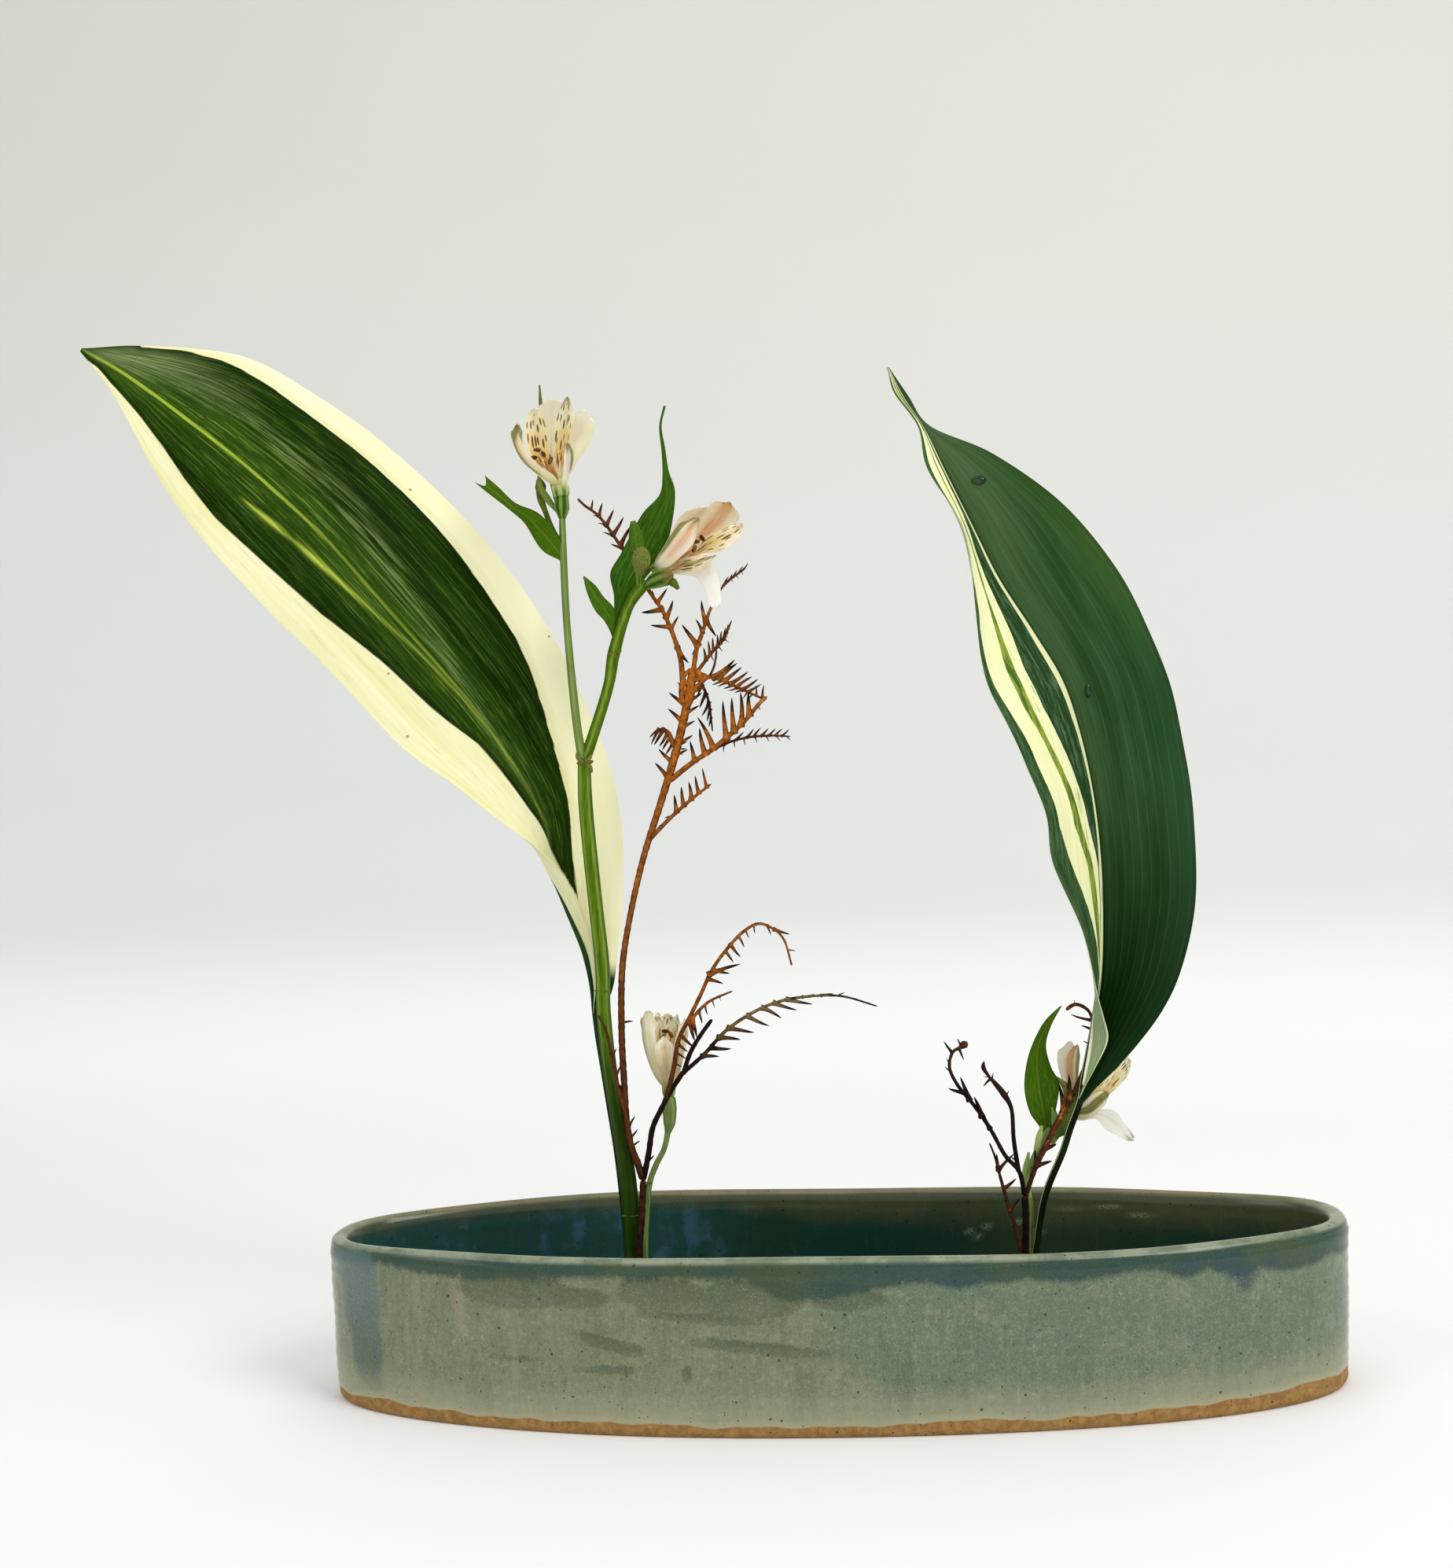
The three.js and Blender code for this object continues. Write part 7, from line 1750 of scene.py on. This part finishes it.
# Short woody bridges round the small holes of the hub, as [path, radius]
HUB_BRIDGES = [
  [[[-51.5, -0.5, 280.5], [-52.5, -0.8, 276.5], [-52.6, -0.8, 272.5], [-51.6, -0.6, 269]], 1.1],
  [[[-48.4, -0.6, 278.5], [-48.4, -0.8, 275], [-49, -0.8, 271.5], [-50.6, -0.6, 268.5]], 1.2],
  [[[-52, -0.4, 280], [-50.6, -0.6, 281.8], [-48.2, -0.4, 283.6]], 0.8],
  [[[-48.6, -0.6, 278.8], [-50.3, -0.9, 277.9], [-52.2, -0.6, 278.3]], 0.9],
  [[[-48, -0.2, 284.2], [-48.3, -0.6, 281.4], [-48.2, -0.6, 278.8]], 0.9],
  [[[-47.8, -0.4, 284], [-45.6, -0.8, 282.4], [-44.9, -0.9, 280.4], [-46.2, -0.9, 278.8]], 0.7],
  [[[-48, -0.6, 279.4], [-45.5, -0.9, 279.4], [-42.6, -1.1, 279.6]], 1.1],
  [[[-45.2, -0.9, 278.4], [-45, -1.2, 276.6], [-46.6, -1.2, 275], [-48.6, -0.8, 274.6]], 0.8],
]


def seeded_draw(seed):
    state = seed

    def draw():
        nonlocal state
        state = (state * 16807) % 2147483647
        return state / 2147483647
    return draw


def spurs_of(rows):
    """Fraction of the limb, angle and length of each spur"""
    for row in rows:
        if len(row) == 3:
            yield row
        else:
            count, *ends = row
            yield from zip(*(np.linspace(ends[place], ends[place + 1], count) for place in (0, 2, 4)))


def spur_shape(root, reach, radius, bow, **values):
    """Thorn that springs from a broad root and bows a little on its way to the tip"""
    share = np.array(SPUR_PLACES)
    length = np.linalg.norm(reach)
    sideways = unit(np.array([reach[2], 0, -reach[0]]))
    places = root + np.outer(share, reach) + np.outer(bow * length * share * (share - 1), sideways)
    direction = unit(np.gradient(places, axis=0))
    across = unit(np.cross(direction, [0.1, 1, 0.05]))
    other = np.cross(direction, across)
    turn = np.linspace(0, TURN, SPUR_SIDES, endpoint=False)
    thickness = radius * np.array(SPUR_THICKNESS)
    rings = places[:, None] + thickness[:, None, None] * circle(across, other, SPUR_SIDES)
    # The sides of the spur as seen from the front are marked here, to be darkened as painted shade
    return closed_rings(rings, spur=np.clip(share, 0, 1)[:, None], flank=np.abs(np.cos(turn)), **values)


def sprig_shape(limbs, warmths, seed, keep_clear, thicker, olive=None, bridges=()):
    draw = seeded_draw(seed)
    shapes = [tube(path, [radius] * 2, 12, 0.5, warm=1) for path, radius in bridges]
    for order, ((path, radii, spurs), warmth) in enumerate(zip(limbs, warmths)):
        def bark(turn, run, order=order, size=min(radii)):
            return 0.1 * size * np.sin(run * 1.7 + order) * np.cos(turn * 2 + run * 0.4)
        scale = values_along(thicker.get(order, [1]), np.linspace(0, 1, len(radii)))
        wood = tube(path, np.array(radii) * scale, 14, 0.8, bark, olive=float(order == olive))
        wood.set(warm=values_along(warmth, wood.values["along"]))
        shapes.append(wood)
        for place, (fraction, angle, size) in enumerate(spurs_of(spurs)):
            tilt, scale = 0, SMALL_SPUR_SCALE
            if size >= SHORTEST_DRAWN_SPUR:
                tilt = (draw() - 0.5) * 2 * SPUR_TILT
                low, high = SPUR_LENGTHS
                scale = low + (high - low) * draw()
            root = spline(path, fraction)[0]
            turn = math.radians(angle)
            reach = size * scale * np.array([math.cos(turn), tilt, math.sin(turn)])
            for _ in range(SPUR_SHORTENINGS):
                if np.min(np.linalg.norm(keep_clear - root - reach, axis=1)) < SPUR_CLEARANCE:
                    reach = reach * SHORTENED_TO
            radius = min(SPUR_RADIUS, values_along(radii, fraction) * SPUR_SHARE_OF_LIMB,
                         size * SPUR_SHARE_OF_LENGTH)
            bow = 0.16 * math.sin(place * 2.3 + order)
            shapes.append(spur_shape(root, reach, radius, bow, warm=values_along(warmth, fraction),
                                     olive=float(order == olive)))
    return join(shapes)


def twig_finish(name, dark, mid, warm, tip):
    f = Finish(name, IOR=1.4, Specular_IOR_Level=0.12)
    place = f.place()
    bark, cloud, coarse = f.noise(place, 900, 4, 0.7), f.noise(place, 150, 3), f.noise(place, 420, 3, 0.6)
    warmth = f.add(f.value("warm"), f.wobble(cloud, 0.5))
    tone = f.paint(
        f.fade(warmth, 0.05, 0.45, dark, mid),
        (warmth, 0.4, 1.0, warm),
        (f.value("olive"), f.step(warmth, 0.1, 0.35), "#7d6a3e"),
        (coarse, 0.5, 0.66, 0.5, dark),
        (coarse, 0.46, 0.3, f.step(warmth, 0.4, 0.9), "#c47a30"),
        (bark, 0.48, 0.72, 0.6, dark),
        # painted shade: the sides of limbs and spurs as seen from the front take the dark tip colour, as do
        # the real dark spur tips below
        (f.add(f.value("flank"), f.wobble(bark, 0.3)), 0.5, 0.95, 0.8, tip),
        (f.add(f.value("spur"), f.wobble(cloud, 0.3)), 0.3, 0.75, tip),
    )
    return f.to(Base_Color=tone, Roughness=f.scaled(bark, 0.5, 0.8), Normal=f.bump(bark, 0.2, 0.6))


# Water drops that stand on the right leaf: [along, across, half length, half width]
DROPS = [[0.212, 0.44, 3.0, 1.7], [0.451, 0.23, 1.2, 2.9]]
DROP_ROWS, DROP_COLUMNS = 200, 100


def drop_shapes():
    grid, *_ = blade_grid(RIGHT_LEAF, DROP_ROWS, DROP_COLUMNS, RIGHT_LEAF["crease"])
    normal = unit(np.cross(np.gradient(grid, axis=0), np.gradient(grid, axis=1)))
    shapes = []
    for far, across, half_length, half_width in DROPS:
        row, column = int(far * DROP_ROWS), int((across + 1) / 2 * DROP_COLUMNS)
        centre, up = grid[row, column], normal[row, column]
        level = unit(np.cross(up, [0, 0, 1.0]))
        slope = np.cross(level, up)
        outline = circle(level * half_length, slope * half_width, 32)
        rings = []
        for angle in np.linspace(0.02, 1, 10) * math.pi / 2:
            lift = 0.8 * min(half_width, half_length) * math.cos(angle) - 0.05
            rings.append(centre + up * (lift + LEAF_THICKNESS / 2) + outline * math.sin(angle))
        rings.append(rings[-1] - up * 0.35)
        shapes.append(closed_rings(rings))
    return join(shapes)


# Guide and radius of what stands in each pin holder
STANDING = {
    "left": [(LEFT_LEAF["petiole"], PETIOLE_RADIUS), (TALL_STEM, 3.1), (SHORT_STEM, 1.2),
             (LEFT_SPRIG[0][0], 1.3)],
    "right": [(RIGHT_LEAF["petiole"], PETIOLE_RADIUS), (LOW_STEM, 1.2), (RIGHT_SPRIG[0][0], 1.4),
              (RIGHT_TWIG[0][0], 0.9)],
}


def surface_points(leaf):
    grid, *_ = blade_grid(leaf, 60, 12, leaf.get("crease", 0.3))
    return grid.reshape(-1, 3)


def path_points(path, reach):
    """Points on a stem's skin all round it"""
    fractions, _ = even_fractions(path, 1.5)
    places = spline(path, fractions)
    _, across, other = frames_along(places)
    return (places[:, None] + circle(across, other, 6) * reach).reshape(-1, 3)


def tepal_points(flower):
    along = np.linspace(0, 1, 14)
    grids = []
    for left, right in flower["tepals"].values():
        grids.append(np.linspace(spline(left, along), spline(right, along), 8))
    return np.concatenate(grids).reshape(-1, 3)


def build():
    make_piece("glazed_bowl", bowl_shape(), glaze_finish(), "glaze", "bowl")
    make_piece("still_water", water_shape(), water_finish(), "water", "water")
    holder = holder_finish()
    for side, centre in HOLDER_CENTRES.items():
        shape = pin_holder_shape(centre, STANDING[side])
        make_piece(f"kenzan_{side}", shape, holder, "lead", f"pin_holder_{side}", sharp=35)
    make_piece("striped_leaf_left", left_leaf_shape(), left_leaf_finish(), "leaf", "leaf_left")
    make_piece("striped_leaf_right", right_leaf_shape(), right_leaf_finish(), "leaf_deep", "leaf_right")
    make_piece("leaf_drops", drop_shapes(), drop_finish(), "water")
    stem = stem_finish()
    make_piece("flower_stem_tall", tall_stem_shape(), stem, "stem", "stem_tall")
    make_piece("flower_stem_short", short_stem_shape(), stem, "stem", "stem_short")
    make_piece("flower_stem_low", low_stem_shape(), stem, "stem", "stem_low")
    cream = tepal_finish("cream_tepals", "#fff9dc", "#fcf0b4", "#cf5a30")
    blush = tepal_finish("blush_tepals", "#fff0cc", "#f9dba2", "#cd7647")
    for name, flower in BLOOMS.items():
        pink = name == "bloom_upper_right"
        make_piece(name.replace("bloom", "flower"), bloom_shape(name, flower), blush if pink else cream,
                   "tepal_pink" if pink else "tepal", name, sharp=70)
    near_left = np.vstack([
        path_points(TALL_STEM, 3), path_points(RIGHT_BRANCH, 2.3), path_points(SHORT_STEM, 1.2),
        path_points(LEFT_LEAF["petiole"], PETIOLE_RADIUS), surface_points(LEFT_LEAF),
        surface_points(TALL_LEAF),
        tepal_points(BLOOMS["bloom_lower_left"]), tepal_points(BLOOMS["bloom_upper_right"]),
    ])
    near_right = np.vstack([
        path_points(RIGHT_LEAF["petiole"], PETIOLE_RADIUS), path_points(LOW_STEM, 1.3),
        surface_points(RIGHT_LEAF), surface_points(LOW_LEAF), tepal_points(BLOOMS["bloom_lower_right"]),
    ])
    brown = twig_finish("brown_twig", "#1c0f0a", "#643514", "#a95f18", "#180c08")
    black = twig_finish("dark_twig", "#130b0a", "#40200f", "#6e3615", "#0f0807")
    sprig = sprig_shape(LEFT_SPRIG, LEFT_WARMTH, 11, near_left, LEFT_THICKER, OLIVE_LIMB, HUB_BRIDGES)
    make_piece("spurred_twig_left", sprig, brown, "twig", "sprig_left", sharp=70)
    sprig = sprig_shape(RIGHT_SPRIG, RIGHT_WARMTH, 23, near_right, RIGHT_THICKER)
    make_piece("spurred_twig_right", sprig, black, "twig_dark", "sprig_right", sharp=70)
    sprig = sprig_shape(RIGHT_TWIG, SMALL_TWIG_WARMTH, 37, near_right, {})
    make_piece("small_twig_right", sprig, brown, "twig", "twig_right", sharp=70)


# Stage, light and camera

# Metres by which the floor lies under the bowl's foot
FLOOR_GAP = 0.0003


def stage():
    """Plain floor that curves up into a plain backdrop"""
    profile = [(-2.6, 0), (0.5, 0), (0.62, 0.012), (0.72, 0.05), (0.8, 0.13), (0.83, 0.25), (0.83, 2.6)]
    points = [(x, y, z - FLOOR_GAP) for y, z in profile for x in (-3, 3)]
    faces = [(2 * row, 2 * row + 1, 2 * row + 3, 2 * row + 2) for row in range(len(profile) - 1)]
    mesh = bpy.data.meshes.new("floor_and_backdrop")
    mesh.from_pydata(points, [], faces)
    mesh.polygons.foreach_set("use_smooth", np.ones(len(faces), bool))
    f = Finish("pale_plain", Roughness=0.85)
    cloud = f.noise(f.place(), 1.2, 2)
    height = f.split(f.place())[2]
    wall = f.fade(height, 0.2, 1.1, "#dcdcd9", "#d0ccc2")
    tone = f.fade(height, 0.03, 0.16, f.mix(cloud, "#f4f4f2", "#f0f0ee"), wall)
    mesh.materials.append(f.to(Base_Color=tone))
    add_object("floor_and_backdrop", mesh)


def aim(thing, place, right, up):
    """Stands a lamp or camera at a place in metres, turned so that its view has this right and up"""
    columns = np.stack([right, up, np.cross(right, up), place], axis=1)
    thing.matrix_world = Matrix(np.vstack([columns, [0, 0, 0, 1]]).tolist())


def area_light(name, place, target, size, watts, tint=(1, 1, 1)):
    data = bpy.data.lights.new(name, "AREA")
    data.shape = "RECTANGLE"
    data.size, data.size_y = size
    data.energy = watts
    data.color = tint
    forward = unit(np.subtract(target, place))
    right = unit(np.cross(forward, [0, 0, 1.0]))
    aim(add_object(name, data), place, right, np.cross(right, forward))


def lights():
    world = bpy.data.worlds.new("pale_room")
    world.use_nodes = True
    background = world.node_tree.nodes["Background"]
    background.inputs["Color"].default_value = (0.93, 0.96, 1.0, 1)
    background.inputs["Strength"].default_value = 0.6
    bpy.context.scene.world = world
    area_light("window_right", (1.3, -1.1, 1.5), (0, 0, 0.15), (1.0, 1.2), 22, (1, 0.98, 0.95))
    area_light("window_left", (-1.5, -0.9, 1.1), (0, 0, 0.2), (1.2, 1.2), 7.5, (0.95, 0.98, 1))
    area_light("overhead", (0.1, -0.1, 1.9), (0, 0, 0.1), (1.6, 1.2), 7.5)


# Fitted to the photo: place in millimetres, turns in radians
CAMERA_PLACE = [1.0, -686, 229]
CAMERA_YAW, CAMERA_PITCH, CAMERA_ROLL = -0.0538, -0.0121, -0.0319
FOCAL_PIXELS = 2200
PHOTO_HEIGHT = 1994


def camera():
    yaw, pitch, roll = CAMERA_YAW, CAMERA_PITCH, CAMERA_ROLL
    forward = np.array([math.sin(yaw) * math.cos(pitch), math.cos(yaw) * math.cos(pitch), -math.sin(pitch)])
    level = np.array([math.cos(yaw), -math.sin(yaw), 0])
    upright = np.cross(level, forward)
    right = math.cos(roll) * level + math.sin(roll) * upright
    up = -math.sin(roll) * level + math.cos(roll) * upright
    data = bpy.data.cameras.new("photo_camera")
    data.sensor_fit = "VERTICAL"
    data.sensor_height = 24
    data.lens = FOCAL_PIXELS / PHOTO_HEIGHT * data.sensor_height
    data.clip_start = 0.05
    eye = add_object("photo_camera", data)
    aim(eye, np.array(CAMERA_PLACE) * MM, right, up)
    bpy.context.scene.camera = eye


build()
stage()
lights()
camera()
bpy.context.scene.view_settings.view_transform = "Standard"
